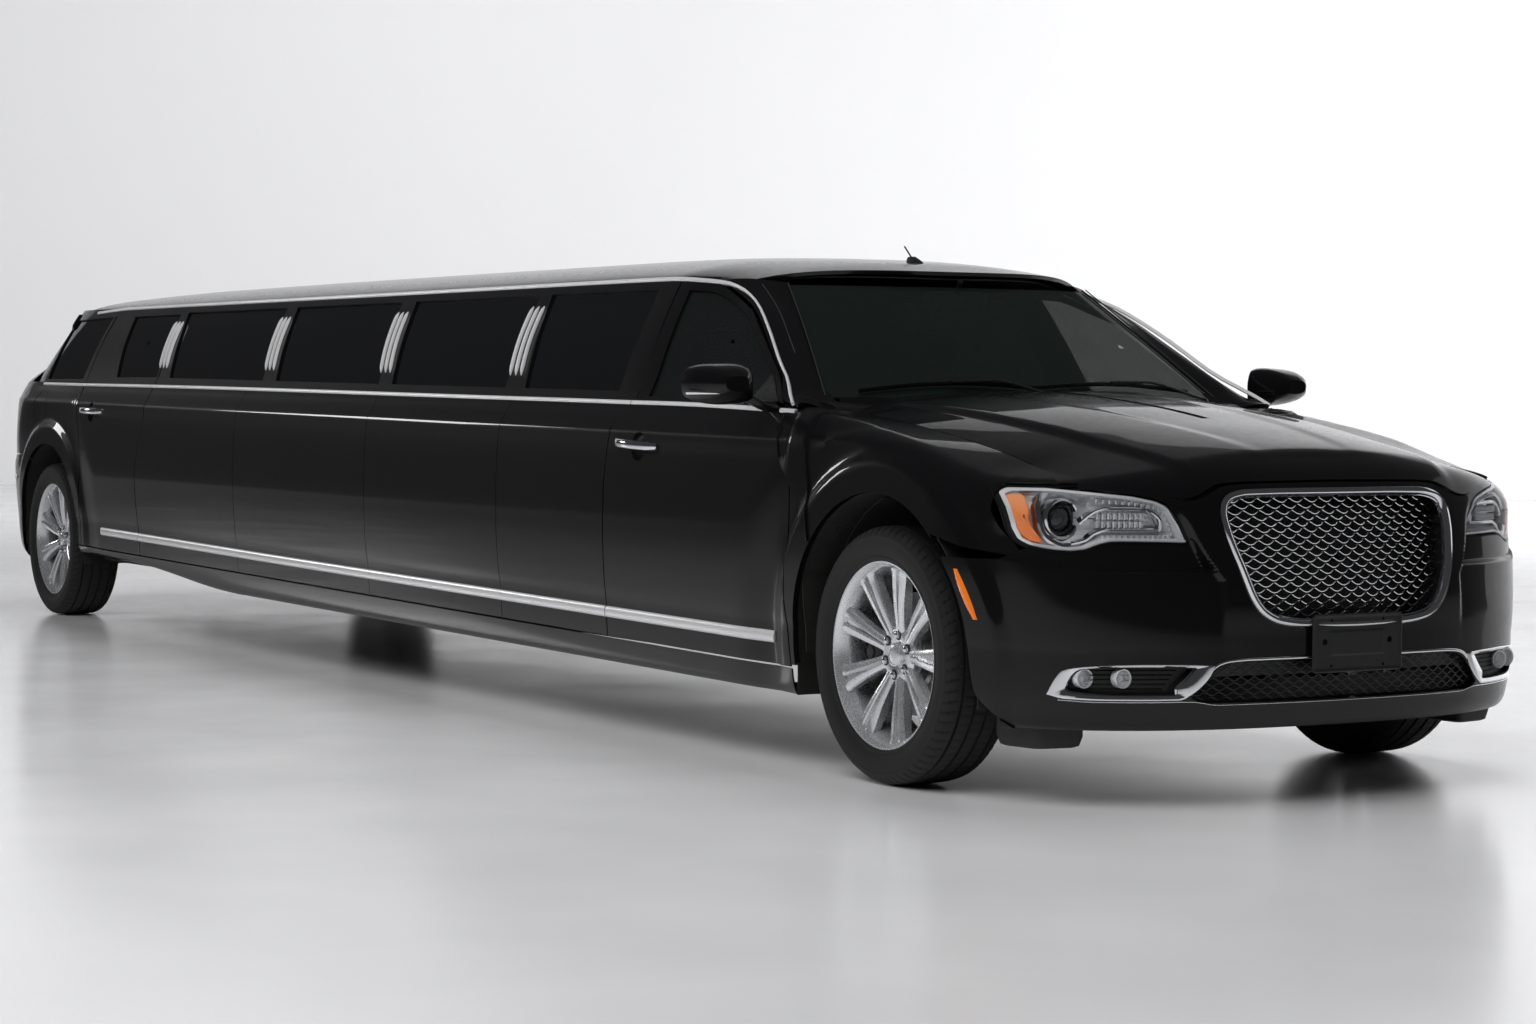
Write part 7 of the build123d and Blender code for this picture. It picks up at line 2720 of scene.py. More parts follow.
def build_wipers():
    """Two wipers: each a bowed arm from its pivot and a slim blade with a rubber edge, resting low on
    the screen."""
    shell = Shell()
    for pivot, tip, foot in ((0.600, -0.060, 0.660), (-0.020, -0.620, 0.040)):
        t = np.linspace(0, 1, 30)
        y = lerp(pivot, tip, t)
        height = 1.092 + 0.016 * np.sin(math.pi * t) - 0.010 * (np.abs(y) / 0.65) ** 2
        blade = screen_out(y, height, 0.010)
        section = np.array((
            (-0.004, -0.006), (0.004, -0.006), (0.006, 0.001), (0.002, 0.008), (-0.004, 0.004)
        ))
        shell.add(*bead(blade, (0.60, 0, 0.80), section))
        y = lerp(foot, (pivot + tip) / 2, t)
        height = lerp(1.058, 1.104, smooth(t * 1.6)) - 0.006 * (np.abs(y) / 0.65) ** 2
        arm = screen_out(y, height, 0.020 + 0.004 * np.sin(math.pi * t))
        arm[0] = arm[1] + (0.015, 0.002, -0.020)
        shell.rod(arm, (0.60, 0, 0.80), 0.004, 8, shape=(1.7, 1.0))
        shell.add(*plug([(-0.014, 0.0), (-0.014, 0.011), (0.006, 0.012), (0.010, 0.008), (0.011, 0.0)], 18,
                        tuple(arm[0]), "z"))
    return shell


def build_aerial():
    """Roof aerial: a small swept fin with a short mast leaning back from it."""
    low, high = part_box("roof_antenna")
    x, z = (low.x + high.x) / 2, roof_z((low.x + high.x) / 2)
    height = np.linspace(0, 1, 10)[:, None]
    angle = np.linspace(0, 2 * math.pi, 24, endpoint=False)[None, :]
    size = 1 - 0.55 * height ** 1.5
    ring = spots(x + 0.046 * size * np.cos(angle) - 0.020 * height,
                 0.013 * size * np.sin(angle), z - 0.004 + 0.022 * height)
    shell = Shell().add(*tube(ring))
    mast = straight([(x - 0.016, 0, z + 0.012), (x - 0.062, 0, high.z - 0.002)], 8)
    return shell.rod(mast, (1, 0, 0.4), 0.0026, 10)


LAMP_COLUMNS = (12.9, 50.6)


def tail_lamp_points(column, height, deep):
    """Points of the tail's corner: column along its grid, height in metres, set in by a depth."""
    count = np.arange(53)
    x = np.concatenate([np.linspace(rear(-0.444), rear(LID_FRONT), 14), np.full(39, rear(LID_FRONT))])
    around = np.concatenate([np.full(14, math.pi / 2), np.radians(np.linspace(90, 180, 40))[1:]])
    azimuth, foot = np.interp(column, count, around), np.interp(column, count, x)
    points = orbit(foot, LID_SIDE + GAP, azimuth, np.minimum(height, DECK_PIVOT), 0.0)
    out = spots(np.cos(azimuth), np.sin(azimuth), 0 * azimuth)
    return points - deep[..., None] * out


def build_tail_lens():
    """Red tail lamp lens wrapped round the corner, crowned a little and stepped back at its edge."""
    u = spread(0, 1, 44, 0.8)[None, :]
    v = spread(0, 1, 22, 0.8)[:, None]
    column = lerp(LAMP_COLUMNS[0], LAMP_COLUMNS[1], u) + 0 * v
    height = lerp(0.789 - 0.008 * u, 1.022 - 0.03 * u ** 6 + 0.004 * u, v)
    edge = np.minimum(np.minimum(u, 1 - u) * 12, np.minimum(v, 1 - v) * 9)
    return panel(tail_lamp_points(column, height, 0.010 - 0.009 * smooth(edge)), 0.003)


def build_tail_housing():
    """Bowl behind a tail lens with three stepped chambers."""
    u = np.linspace(0, 1, 60)[None, :]
    v = np.linspace(0, 1, 40)[:, None]
    column = lerp(LAMP_COLUMNS[0], LAMP_COLUMNS[1], u) + 0 * v
    height = lerp(0.785, 1.026, v) + 0 * u
    chamber = np.abs(np.sin(3 * math.pi * v)) * np.clip(np.sin(math.pi * u) * 3, 0, 1)
    return panel(tail_lamp_points(column, height, 0.016 + 0.030 * chamber), 0.003)


def build_lid_bar():
    """Bright bar on the boot lid over the number plate."""
    y = np.linspace(-0.330, 0.330, 40)
    path = orbit(rear(LID_FRONT) + GAP, y, math.pi, np.full(40, 0.968), 0.0)
    return Shell().add(*bead(path - (0.004, 0, 0), (-1, 0, 0), dome(0.030, 0.012, -0.010, 9)))


def build_tail_trim():
    """Bright bar along each corner of the rear bumper."""
    shell = Shell()
    for way in (1, -1):
        s = np.linspace(place_at_y(TAIL_PLAN, 0.42), place_at_x(TAIL_PLAN, rear(-0.56)), 60)
        path = wrap(TAIL_PLAN, s, 0.640)
        path[:, 1] *= way
        up = unit(from_axis(path) * (1, 1, 0))
        shell.add(*bead(path, up, dome(0.020, 0.006, -0.004)))
    return shell


TAILPIPE = (0.300, 0.252)        # out from the middle, and height


def build_tailpipes():
    """Two flattened bright tailpipe ends under the bumper."""
    shell = Shell()
    angle = np.linspace(0, 2 * math.pi, 40, endpoint=False)[None, :]
    x = np.array((0.0, 0.110, 0.114, 0.114, 0.110, 0.020))[:, None]
    size = np.array((1.0, 1.0, 0.985, 0.94, 0.92, 0.92))[:, None]
    a = np.sign(np.cos(angle)) * np.abs(np.cos(angle)) ** 0.75 * 0.062 * size
    b = np.sign(np.sin(angle)) * np.abs(np.sin(angle)) ** 0.75 * 0.034 * size
    for way in (1, -1):
        rings = spots(rear(-0.985) - x, way * TAILPIPE[0] + a, TAILPIPE[1] + b)
        shell.add(*loop_tube(rings))
        shell.add(*tube(np.concatenate([rings[-1:] - (0.001, 0, 0), rings[-1:] + (0.001, 0, 0)])))
    return shell


def build_rear_plate():
    """Blank rear number plate with a raised rim."""
    y, z = np.meshgrid(np.linspace(-0.155, 0.155, 40), np.linspace(-0.078, 0.078, 24), indexing="ij")
    edge = np.minimum(0.155 - np.abs(y), 0.078 - np.abs(z))
    base = orbit(rear(LID_FRONT) + GAP, np.array([0.0]), math.pi, np.array([0.875]), 0.0)[0, 0]
    x = base + 0.014 - 0.0015 * smooth((0.008 - edge) / 0.003)
    return panel(spots(x, y, 0.878 + z), 0.002)


def build_skirts():
    """Black blocks under the nose ahead of the tyres and a finned tray under the tail."""
    shell = Shell()
    for way in (1, -1):
        low = np.array([(0.40, 0.64), (0.60, 0.66), (0.575, 0.80), (0.42, 0.83)])
        rings = []
        for share, z in ((0.80, 0.150), (0.92, 0.155), (1.0, 0.180), (1.0, 0.236)):
            line = rounded(lerp(low.mean(0), low, share), 0.02, 4)
            rings.append(spots(front(line[:, 0]), way * line[:, 1], z))
        shell.add(*tube(np.stack(rings)))
    y = np.linspace(-0.62, 0.62, 90)[None, :]
    t = np.linspace(0, 1, 12)[:, None]
    fins = 0.018 * (np.abs(np.sin(y * 15)) > 0.93) * np.sin(math.pi * t)
    s = place_at_y(TAIL_PLAN, np.abs(y))
    edge = wrap(TAIL_PLAN, s, 0.256)
    tray = spots(lerp(edge[..., 0] + 0.006, rear(-0.62), t), y, 0.250 - 0.012 * t - fins)
    return panel(tray, 0.004, shell)


class LIMO_OT_ends(bpy.types.Operator):
    """Build the cowl, the wipers, the roof aerial, the tail lamps and the trim of the tail"""
    bl_idname = "limo.ends"
    bl_label = "Cowl, aerial and tail"

    def execute(self, context):
        make("cowl_panel", build_cowl(), "satin", "car_body", ["cowl"])
        make("wipers", build_wipers(), "satin", "car_body")
        make("roof_aerial", build_aerial(), "plastic", "car_body", ["roof_antenna"])
        make("tail_lenses", build_tail_lens().mirror(), "tail_red", "car_body", ["tail_lamps"])
        make("tail_lamp_bowls", build_tail_housing().mirror(), "reflector", "car_body")
        make("boot_lid_bar", build_lid_bar(), "chrome", "boot_lid")
        make("tail_trim", build_tail_trim(), "chrome", "car_body")
        make("tailpipe_ends", build_tailpipes(), "chrome", "car_body")
        make("rear_number_plate", build_rear_plate(), "plate", "boot_lid")
        make("under_skirts", build_skirts(), "plastic", "car_body")
        return {"FINISHED"}


# ---------------------------------------------------------------- cabin
def power_wave(angle, power):
    """Cosine and sine with their size raised to a power, which squares a circle's corners."""
    c, s = np.cos(angle), np.sin(angle)
    return np.sign(c) * np.abs(c) ** power, np.sign(s) * np.abs(s) ** power


def cushion(shell, centre, size, lean=0.0, turn=0.0, crown=0.02, grooves=(), square=0.32, piping=True):
    """Stuffed block: a squared ellipsoid, crowned on top, drawn in between its corners and pressed in
    along its seams.

    The size is half lengths along, across and through the pad; lean turns it about the car's Y axis and
    turn about Z.
    A groove is (axis, place): a sewn line across the top at a place along axis 0 or 1.
    """
    def surface(u, v):
        (cu, su), (cv, sv) = power_wave(u, square), power_wave(v, square)
        x, y, z = np.broadcast_arrays(cu * cv, cu * sv, su)
        top = smooth((z + 0.2) / 0.5)
        lift = crown * (1 - x ** 2) * (1 - y ** 2) * top
        for axis, place in grooves:
            lift = lift - 0.011 * np.exp(
                -(((x, y)[axis] - place) * size[axis] / 0.009) ** 2
            ) * top * (1 - (x, y)[1 - axis] ** 8)
        pull = 1 - 0.012 * (1 - x ** 2) - 0.012 * (1 - y ** 2)
        local = spots(x * size[0] * pull, y * size[1] * pull, z * size[2] + lift)
        c, s = math.cos(lean), math.sin(lean)
        local = local @ np.array([[c, 0, -s], [0, 1, 0], [s, 0, c]])
        c, s = math.cos(turn), math.sin(turn)
        return local @ np.array([[c, s, 0], [-s, c, 0], [0, 0, 1]]) + np.array(centre, float)

    u = np.linspace(-math.pi / 2, math.pi / 2, 34)[1:-1, None]
    v = np.linspace(0, 2 * math.pi, 72, endpoint=False)[None, :]
    shell.add(*tube(surface(u, v)))
    if piping:
        path = surface(0.62, np.linspace(0, 2 * math.pi, 90, endpoint=False))
        out = unit(path - np.array(centre, float))
        shell.rod(path, out, 0.0045, 6, closed=True)
    return shell


def block(shell, centre, size, square, lean=0.0, crown=0.0):
    """Hard rounded block, without seams or piping."""
    return cushion(shell, centre, size, lean, 0.0, crown, (), square, False)


def build_front_seat():
    """Left front seat: cushion, back, head restraint and bolsters, with sewn channels."""
    shell = Shell()
    seams = ((1, -0.58), (1, 0.58), (0, -0.35), (0, 0.15), (0, 0.6))
    cushion(shell, (front(-1.415), 0.400, 0.475), (0.255, 0.225, 0.075), -0.10, 0.0, 0.022, seams)
    cushion(
        shell, (front(-1.730), 0.400, 0.830), (0.320, 0.215, 0.060), math.pi / 2 + 0.30, 0.0, 0.022, seams
    )
    cushion(shell, (front(-1.840), 0.400, 1.215), (0.075, 0.125, 0.042), math.pi / 2 + 0.16, 0.0, 0.012)
    for way in (-1, 1):
        block(shell, (front(-1.400), 0.400 + way * 0.205, 0.505), (0.215, 0.035, 0.060), 0.5, -0.10, 0.008)
        block(
            shell, (front(-1.700), 0.400 + way * 0.198, 0.830), (0.250, 0.030, 0.070), 0.5,
            math.pi / 2 + 0.30, 0.006
        )
    return shell


def build_seat_rails():
    """Rails, side shields and head restraint posts of the left front seat."""
    shell = Shell()
    for way in (-1, 1):
        rail = straight(
            [(front(-1.66), 0.400 + way * 0.17, 0.335), (front(-1.18), 0.400 + way * 0.17, 0.345)], 12
        )
        shell.add(
            *bead(rail, (0, 0, 1), np.array(((-0.02, -0.012), (0.02, -0.012), (0.02, 0.004),
                (0.008, 0.014), (-0.008, 0.014), (-0.02, 0.004))))
        )
        block(shell, (front(-1.42), 0.400 + way * 0.232, 0.420), (0.215, 0.014, 0.045), 0.4, -0.05, 0.003)
        post = straight(
            [(front(-1.822), 0.400 + way * 0.055, 1.110), (front(-1.838), 0.400 + way * 0.055, 1.200)], 6
        )
        shell.rod(post, (1, 0, 0), 0.006, 12)
    return shell


def build_rear_seat():
    """Rear seat of the lounge: three places with channelled cushions and backs, on one base."""
    shell = Shell()
    seams = ((0, -0.5), (0, 0.0), (0, 0.5))
    for y in (-0.385, 0.0, 0.385):
        cushion(shell, (rear(0.370), y, 0.640), (0.270, 0.190, 0.080), -0.06, 0.0, 0.024, seams)
        cushion(shell, (rear(0.055), y, 0.860), (0.215, 0.190, 0.060), math.pi / 2 + 0.24, 0.0, 0.022, seams)
    cushion(
        shell, (rear(0.360), 0.0, 0.445), (0.250, 0.565, 0.125), 0.0, 0.0, 0.004, ((1, -0.34), (1, 0.34)),
        0.2, False
    )
    return shell


SIDE_PLACES = 5


def build_side_seat():
    """Long side seat on the left of the lounge: five places along the wall on one base."""
    shell = Shell()
    start, end = rear(1.500), front(-2.700)
    step = (end - start) / SIDE_PLACES
    seams = ((1, -0.45), (1, 0.1), (1, 0.6))
    for number in range(SIDE_PLACES):
        x = start + (number + 0.5) * step
        cushion(shell, (x, 0.545, 0.655), (step / 2 - 0.006, 0.215, 0.068), 0.0, 0.0, 0.022, seams)
        cushion(
            shell, (x, 0.775, 0.865), (0.170, step / 2 - 0.006, 0.045), math.pi / 2 + 0.10, -math.pi / 2,
            0.020, seams
        )
    cushion(shell, ((start + end) / 2, 0.560, 0.450), ((end - start) / 2, 0.225, 0.130), 0.0, 0.0, 0.003,
            tuple((0, k * 2 / SIDE_PLACES - 1) for k in range(1, SIDE_PLACES)), 0.12, False)
    return shell


def build_bench():
    """Small bench base joining the side seat to the rear seat."""
    shell = Shell()
    return cushion(
        shell, (rear(0.850), 0.0, 0.345), (0.180, 0.500, 0.030), 0.0, 0.0, 0.010, ((1, -0.34), (1, 0.34)),
        0.25
    )


DASH = ((-0.545, 0.990), (-0.560, 1.040), (-0.640, 1.056), (-0.760, 1.058), (-0.840, 1.046), (-0.878, 1.020),
        (-0.886, 0.985), (-0.876, 0.945), (-0.882, 0.900), (-0.868, 0.840), (-0.820, 0.770), (-0.720, 0.720),
        (-0.600, 0.715), (-0.550, 0.760))


def dash_ring(y):
    """Section of the dashboard at y: its cowl rises over the dials and its face swells at the middle."""
    line = bent(DASH + DASH[:1], 6)[:-1]
    x, z = line[:, 0], line[:, 1]
    over_dials = np.exp(-((y - 0.390) / 0.150) ** 4)
    upper = smooth((z - 0.98) / 0.05) * smooth((-0.60 - x) / 0.12)
    middle = np.exp(-(y / 0.150) ** 4)
    face = smooth((-0.80 - x) / 0.06)
    z = z + 0.034 * over_dials * upper
    x = x - 0.020 * middle * face - 0.016 * over_dials * upper
    x = x + 0.050 * (y / 0.76) ** 2
    return spots(front(x), y, z)


def build_dashboard():
    """Dashboard carried from side to side, with the column's shroud and a console below it."""
    rings = np.stack([dash_ring(y) for y in np.linspace(-0.755, 0.755, 90)])
    shell = Shell().add(*tube(rings))
    shroud = straight([(front(-0.86), 0.390, 0.890), (front(-1.060), 0.390, 0.925)], 8)
    shell.rod(shroud, (0, 0, 1), 0.040, 24, shape=(1.2, 1.0))
    cushion(
        shell, (front(-1.330), 0.0, 0.470), (0.500, 0.110, 0.130), -0.05, 0.0, 0.004, ((0, 0.2),), 0.2,
        False
    )
    return shell


def build_dash_trim():
    """Veneer band along the dashboard's face and the top of the console."""
    y = np.linspace(-0.74, 0.74, 90)[None, :]
    t = np.linspace(0, 1, 7)[:, None]
    bow = 0.050 * (y / 0.76) ** 2 - 0.020 * np.exp(-(y / 0.150) ** 4)
    band = np.stack(
        np.broadcast_arrays(front(-0.8885 + bow - 0.004 * np.sin(math.pi * t)), y, 0.900 + 0.052 * t), -1
    )
    shell = panel(band[:, ::-1], 0.003)
    return block(shell, (front(-1.25), 0.0, 0.605), (0.300, 0.085, 0.012), 0.2, -0.05, 0.004)


def build_dials():
    """Display in the middle and two round dials."""
    shell = Shell()
    y, z = np.meshgrid(spread(-0.105, 0.105, 22), spread(-0.055, 0.055, 14), indexing="ij")
    edge = np.minimum(0.105 - np.abs(y), 0.055 - np.abs(z))
    panel(spots(front(-0.917) + 0.004 * smooth((0.010 - edge) / 0.01), y, 1.000 + z)[::-1], 0.004, shell)
    for spot in (0.325, 0.455):
        shell.add(
            *plug([(0.0, 0.0), (0.0, 0.054), (-0.006, 0.056), (-0.006, 0.050), (-0.002, 0.047),
                (-0.002, 0.0)], 40, (front(-0.900), spot, 1.014), "x")
        )
    return shell


def build_vents():
    """Air vents: bright rings round sets of slats."""
    shell = Shell()
    for y in (-0.600, -0.200, 0.200, 0.620):
        bow = 0.050 * (y / 0.76) ** 2
        centre = np.array((front(-0.892 + bow), y, 0.985))
        angle = np.linspace(0, 2 * math.pi, 40, endpoint=False)
        path = centre + spots(0 * angle, 0.046 * np.cos(angle), 0.024 * np.sin(angle))
        shell.rod(path, (-1, 0, 0), 0.004, 8, closed=True)
        for height in (-0.012, 0.0, 0.012):
            half = 0.044 * math.sqrt(1 - (height / 0.025) ** 2)
            slat = straight([centre + (0.002, -half, height), centre + (0.002, half, height)], 6)
            shell.rod(slat, (-1, 0, 0.5), 0.0035, 6, shape=(1.0, 0.5))
    return shell


def build_wheel():
    """Steering wheel: a rim of oval section, three spokes and a padded boss, leaning back."""
    centre, lean = np.array((front(-1.090), 0.390, 0.930)), math.radians(22)
    back = np.array((math.cos(lean), 0.0, -math.sin(lean)))
    across, up = np.array((0.0, 1.0, 0.0)), np.array((math.sin(lean), 0.0, math.cos(lean)))
    angle = np.linspace(0, 2 * math.pi, 72, endpoint=False)[:, None]
    path = centre + 0.178 * (np.cos(angle) * across + np.sin(angle) * up)
    shell = Shell().rod(path, -back, 0.0145, 14, shape=(0.85, 1.0), closed=True)
    t = np.linspace(0, 1, 12)[:, None]
    for degrees in (0, 180, 270):
        way = math.cos(math.radians(degrees)) * across + math.sin(math.radians(degrees)) * up
        spoke = centre + back * 0.022 * (1 - t) + way * lerp(0.030, 0.172, t)
        section = round_section(0.020, 12)[None] * lerp(1.3, 0.8, t)[..., None] * (1.0, 0.35)
        shell.add(*bead(spoke, -back, section))
    u = np.linspace(-math.pi / 2, math.pi / 2, 18)[1:-1, None, None]
    v = np.linspace(0, 2 * math.pi, 36, endpoint=False)[None, :, None]
    (cu, su), (cv, sv) = power_wave(u, 0.5), power_wave(v, 0.6)
    boss = centre + back * 0.020 + 0.068 * cu * cv * across + 0.060 * cu * sv * up - 0.026 * su * back
    return shell.add(*tube(boss))


def wall_half(z):
    """Inner half width of the cabin at a height."""
    return np.interp(z, [0.31, 0.95, 1.04, 1.446], [0.805, 0.812, 0.805, 0.600])


def build_partition():
    """Partition behind the front seats: quilted below and framed above."""
    low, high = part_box("partition")
    share = np.linspace(-1, 1, 121)[None, :]
    z = np.linspace(low.z + 0.004, high.z - 0.006, 100)[:, None]
    y = share * wall_half(z)
    quilt = np.abs(np.sin((y + z) * 26)) * np.abs(np.sin((y - z) * 26))
    below = smooth((0.93 - z) / 0.02) * smooth((z - 0.35) / 0.02) * smooth((0.76 - np.abs(y)) / 0.02)
    window = smooth((z - 1.010) / 0.012) * smooth((1.395 - z) / 0.012) * smooth(
        (0.93 * wall_half(z) - np.abs(y)) / 0.012
    )
    bulge = 0.010 * quilt ** 0.6 * below - 0.008 * window
    face = spots(low.x + 0.008 - bulge, y, z)
    back = spots(high.x - 0.008 + bulge, y, z)
    return Shell().add(*slab(face, back))


def build_partition_glass():
    """Dark sliding pane on both faces of the partition's window."""
    low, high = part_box("partition")
    shell = Shell()
    for x, way in ((low.x + 0.0135, -1), (high.x - 0.0135, 1)):
        z = np.linspace(1.016, 1.389, 12)[:, None]
        y = np.linspace(-1, 1, 30)[None, :] * (0.93 * wall_half(z) - 0.010)
        grid = spots(x + way * 0.002 + 0 * z, y, z)
        panel(grid, 0.002, shell)
    return shell


def inner_panel(behind, ahead, low, columns=60):
    """Inner trim of a wall or door: a tray hung inside the skin, with an armrest, a pocket and a waist
    roll."""
    share = spread(0, 1, columns, 0.8)[None, :]
    level = np.sort(np.concatenate([spread(low, 1.036, 46, 0.85), [0.70, 0.71, 0.72]]))
    rough = (behind(0.7) + ahead(0.7)) / 2
    rows = level + belt_rise(rough)
    x = lerp(behind(rows)[:, None] + 0.012, ahead(rows)[:, None] - 0.012, share)
    z = level[:, None] + belt_rise(x)
    skin = flank(x, z)
    rim = smooth(
        np.minimum(share, 1 - share) * 14
    ) * smooth((level[:, None] - low) / 0.05) * smooth((1.040 - level[:, None]) / 0.03)
    rest = smooth((level[:, None] - 0.665) / 0.02) * smooth((0.735 - level[:, None]) / 0.015)
    rest = rest * smooth((share - 0.12) / 0.08) * smooth((0.80 - share) / 0.08)
    pocket = smooth((level[:, None] - low - 0.06) / 0.02) * smooth((low + 0.19 - level[:, None]) / 0.02)
    pocket = pocket * smooth((share - 0.25) / 0.04) * smooth((0.85 - share) / 0.04)
    roll = np.exp(-((level[:, None] - 0.995) / 0.022) ** 2)
    deep = 0.012 + rim * (0.040 + 0.040 * rest - 0.018 * pocket + 0.010 * roll)
    grid = skin - deep[..., None] * np.array((0.0, 1.0, 0.0))
    return panel(grid, 0.003)


def build_headliner():
    """Headliner under the roof skin."""
    s = spread(-1, 1, 41, 0.8)[None, :]
    t = np.linspace(0, 1, 70)[:, None]
    x = lerp(front(-1.060 - 0.250 * np.abs(s) ** 2.2), rear(-0.48 + 0.16 * s ** 2), t)
    rail = rail_height(x) - 0.012
    half = house(x, rail + 0.012)[..., 1] - 0.018
    crown = np.maximum(roof_z(x) - 0.030, rail + 0.004)
    z = rail + (crown - rail) * (1 - np.abs(s) ** 2.6) ** 0.80
    return panel(spots(x, half * s, z), 0.004)


def build_carpet():
    """Carpet over the floor, with a low hump along the middle and edges turned up at the sills."""
    y = spread(-0.80, 0.80, 61, 0.8)[None, :]
    x = np.linspace(rear(0.10), front(-0.72), 90)[:, None]
    z = 0.3165 + 0.020 * np.exp(-(y / 0.12) ** 4) + 0.020 * smooth((np.abs(y) - 0.76) / 0.04) + 0 * x
    z = z + 0.10 * smooth((x - front(-0.90)) / 0.18)
    return panel(spots(x, y, z), 0.004)


def build_cabinet():
    """Bar cabinet along the right wall of the lounge, with four panelled doors."""
    shell = Shell()
    x0, x1 = rear(1.560), front(-2.760)
    block(shell, ((x0 + x1) / 2, -0.690, 0.520), ((x1 - x0) / 2, 0.105, 0.195), 0.10)
    for number in range(4):
        middle = lerp(x0, x1, (number + 0.5) / 4)
        block(shell, (middle, -0.585, 0.500), ((x1 - x0) / 8 - 0.030, 0.006, 0.135), 0.25)
    return shell


def build_cabin_mirror():
    """Interior mirror hung from the screen's head."""
    shell = Shell()
    block(shell, (front(-1.020), 0.0, 1.372), (0.014, 0.125, 0.034), 0.45, 0.15)
    arm = bent([(front(-0.985), 0.0, 1.437), (front(-1.000), 0.0, 1.415), (front(-1.012), 0.0, 1.385)], 6)
    return shell.rod(arm, (0, 1, 0), 0.009, 10)


class LIMO_OT_cabin(bpy.types.Operator):
    """Build the cabin: seats, dashboard, partition, door and wall trims, headliner and carpet"""
    bl_idname = "limo.cabin"
    bl_label = "Cabin"

    def execute(self, context):
        def put(name, shell, look, body="car_body", replaces=(), slot=None, sharp=50, soft=False):
            piece = make(name, shell, look, body, replaces, sharp)
            return piece

        seat, rails = build_front_seat(), build_seat_rails()
        put(
            "front_seat_left", seat, "black_leather", replaces=["front_seats"], slot="trim_leather",
            soft=True
        )
        put("front_seat_right", seat.flipped(), "black_leather", slot="trim_leather", soft=True)
        put("front_seat_fittings", rails.mirror(), "plastic")
        put(
            "rear_seat", build_rear_seat(), "black_leather", replaces=["lounge_seats"],
            slot="trim_leather", soft=True
        )
        put("side_seat", build_side_seat(), "black_leather", slot="trim_leather", soft=True)
        put("foot_bench", build_bench(), "black_leather", slot="trim_leather", soft=True)
        put("dash_body", build_dashboard(), "satin", replaces=["dashboard"], slot="black_plastic")
        put("dash_veneer", build_dash_trim(), "wood")
        put("dash_displays", build_dials(), "dial")
        put("dash_vents", build_vents(), "chrome")
        put("steering_wheel", build_wheel(), "black_leather")
        put("partition_wall", build_partition(), "black_leather", replaces=["partition"], slot="trim_leather")
        put("partition_pane", build_partition_glass(), "dark_glass", slot="window_glass")
        put("headliner", build_headliner(), "headliner")
        put("carpet", build_carpet(), "carpet")
        put("bar_cabinet", build_cabinet(), "wood")
        put("cabin_mirror", build_cabin_mirror(), "satin")
        door = inner_panel(door_behind, door_ahead, 0.335)
        rear_door = inner_panel(rear_door_behind, rear_door_ahead, 0.350)
        wall = inner_panel(rear_door_ahead, door_behind, 0.335, columns=110)
        for way, side in SIDES:
            put(f"front_door_trim_{side}", door.on(way), "black_leather", f"front_door_{side}")
            put(f"rear_door_trim_{side}", rear_door.on(way), "black_leather", f"rear_door_{side}")
            put(f"lounge_wall_{side}", wall.on(way), "black_leather")
        return {"FINISHED"}


BAY_BACK = -0.400                # bulkhead, ahead of the front axle
COVER = (-0.300, 0.310, 0.205)   # engine cover: back, front and half width


def build_bay_lining():
    """Bulkhead behind the engine and a shelf over each wheel housing, both reaching the wing's skin."""
    shell = Shell()
    z = np.linspace(0.34, 0.985, 24)
    reach = flank(np.full(24, front(BAY_BACK)), z)[:, 1] - 0.020
    y = np.linspace(-1, 1, 40)[None, :] * reach[:, None]
    x = front(BAY_BACK) - 0.006 * np.cos(y * 40) ** 2
    shell.add(*slab(*(spots(x + off, y, z[:, None])[::-1] for off in (0.004, 0.0))))
    x = np.linspace(front(BAY_BACK), front(0.600), 36)
    z = 0.835 - 0.045 * smooth((x - front(0.36)) / 0.22)
    reach = flank(x, z)[:, 1] - 0.020 - 0.05 * smooth((x - front(0.36)) / 0.22)
    for way in (1, -1):
        y = lerp(0.36, reach[:, None], np.linspace(0, 1, 20)[None, :])
        level = z[:, None] - 0.010 * smooth((0.54 - y) / 0.06)
        grids = [spots(x[:, None], way * y, level + off) for off in (0.004, 0.0)]
        shell.add(*slab(*(grid[::way] for grid in grids)))
    return shell


def build_engine_cover():
    """Cover on the engine: a crowned box with ribs along it, a raised band across and a round filler cap."""
    shell = Shell()
    x = np.linspace(0, 1, 60)[:, None]
    y = np.linspace(-1, 1, 80)[None, :]
    edge = np.minimum(np.minimum(x, 1 - x) * 6.0, (1 - np.abs(y)) * 4.0)
    height = 0.832 + 0.034 * np.clip(edge, 0, 1) ** 0.4
    height = height + 0.006 * (np.abs((y * 4.5) % 1 - 0.5) < 0.16) * smooth((edge - 0.9) / 0.3)
    height = height + 0.008 * smooth((0.10 - np.abs(x - 0.5)) / 0.02) * smooth((edge - 0.9) / 0.3)
    top = spots(front(lerp(COVER[0], COVER[1], x)), y * COVER[2], height)
    low = top.copy()
    low[..., 2] = 0.828
    shell.add(*slab(top, low))
    cap = ((0.0, 0.0), (0.0, 0.030), (0.016, 0.029), (0.020, 0.025), (0.021, 0.0))
    shell.add(*plug(cap, 36, (front(0.210), 0.110, 0.862), "z"))
    return shell


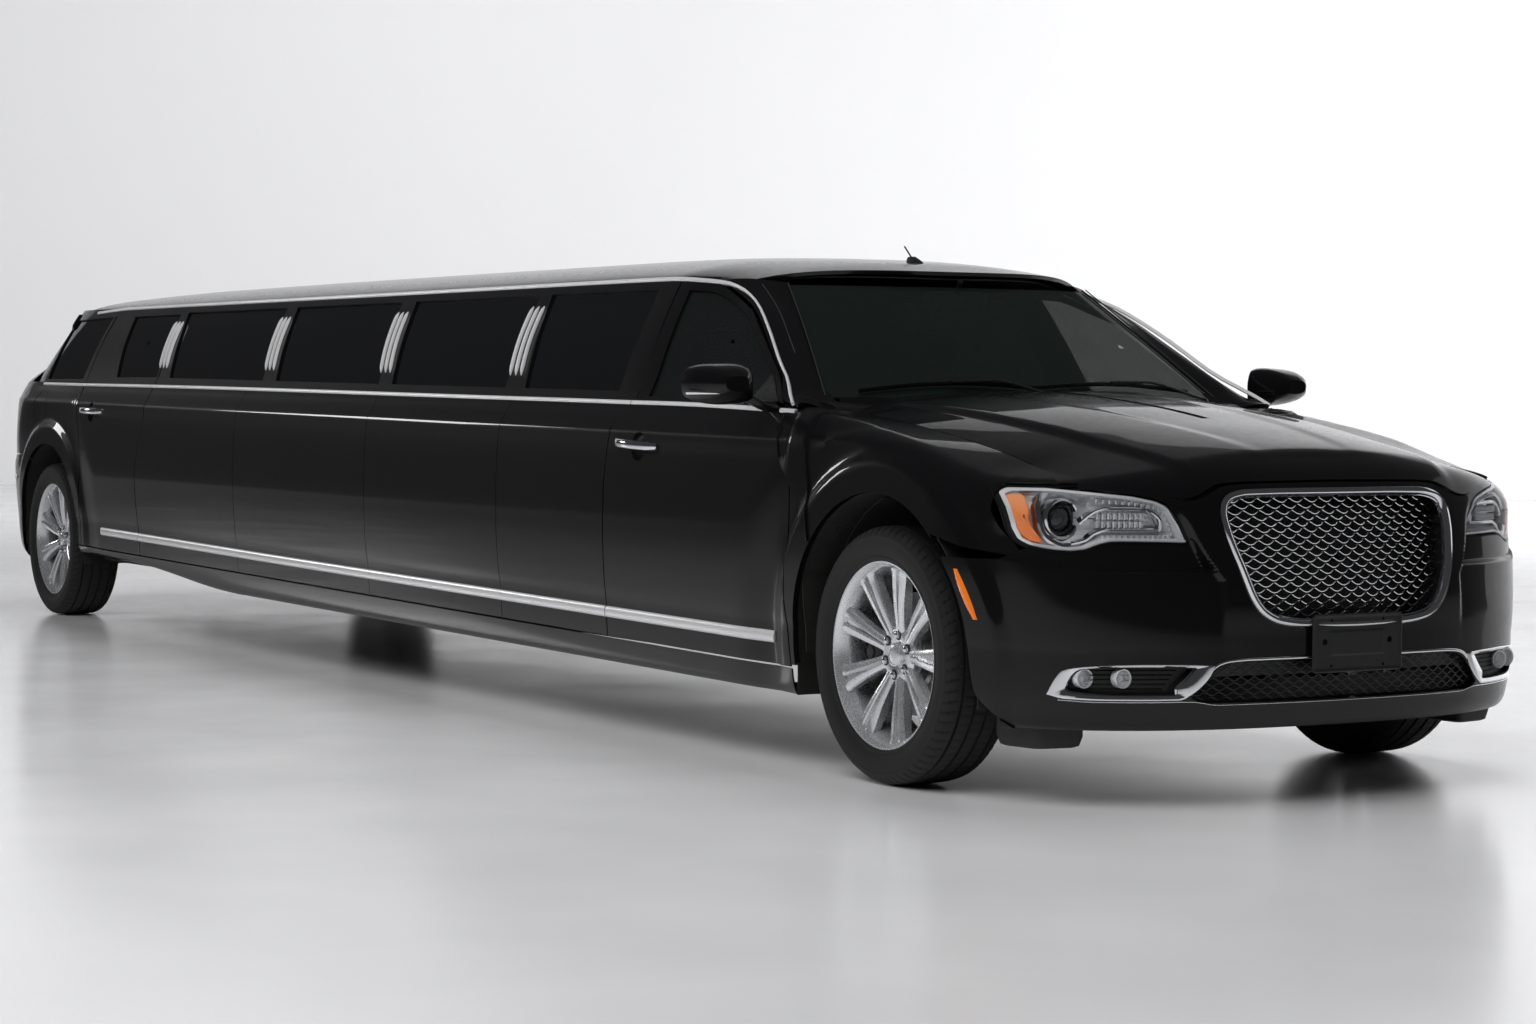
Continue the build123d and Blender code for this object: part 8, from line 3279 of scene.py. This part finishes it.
class LIMO_OT_engine_bay(bpy.types.Operator):
    """Line the engine bay and cover the engine"""
    bl_idname = "limo.engine_bay"
    bl_label = "Engine bay"

    def execute(self, context):
        make("engine_bay_lining", build_bay_lining(), "coated", "car_body")
        make("engine_cover", build_engine_cover(), "satin", "car_body")
        return {"FINISHED"}


class LIMO_OT_underside(bpy.types.Operator):
    """Give the parts under the car that stay as they are their finishes"""
    bl_idname = "limo.underside"
    bl_label = "Underside finishes"

    def execute(self, context):
        looks = {
            "wheel_housings": "coated", "floor_pan": "coated", "front_subframe": "steel",
            "rear_axle": "steel", "propshaft": "steel", "knuckle_left": "cast", "knuckle_right": "cast",
            "exhaust": "exhaust", "engine_block": "cast"
        }
        for node, look in looks.items():
            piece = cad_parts[node]
            for place in piece.material_slots:
                place.material = material(look)
        return {"FINISHED"}


class LIMO_PT_panel(bpy.types.Panel):
    """Steps that dress the limousine, in order"""
    bl_idname = "LIMO_PT_panel"
    bl_label = "Limousine"
    bl_space_type = "VIEW_3D"
    bl_region_type = "UI"
    bl_category = "Limousine"

    def draw(self, context):
        for name in LIMO_PG_looks.__annotations__:
            self.layout.prop(context.scene.limo_looks, name)
        for step in OPERATORS:
            self.layout.operator(step.bl_idname)


OPERATORS = (LIMO_OT_stage, LIMO_OT_body, LIMO_OT_doors, LIMO_OT_glass, LIMO_OT_wheels,
             LIMO_OT_nose, LIMO_OT_sides, LIMO_OT_ends, LIMO_OT_cabin, LIMO_OT_engine_bay, LIMO_OT_underside)
CLASSES = (LIMO_PG_looks,) + OPERATORS + (LIMO_PT_panel,)


def register():
    for cls in CLASSES:
        bpy.utils.register_class(cls)
    bpy.types.Scene.limo_looks = bpy.props.PointerProperty(type=LIMO_PG_looks)


def unregister():
    del bpy.types.Scene.limo_looks
    for cls in reversed(CLASSES):
        bpy.utils.unregister_class(cls)


def main():
    """Register the add-on and run its steps in order."""
    register()
    for step in OPERATORS:
        group, name = step.bl_idname.split(".")
        getattr(getattr(bpy.ops, group), name)()
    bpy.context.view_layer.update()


if __name__ == "__main__":
    main()
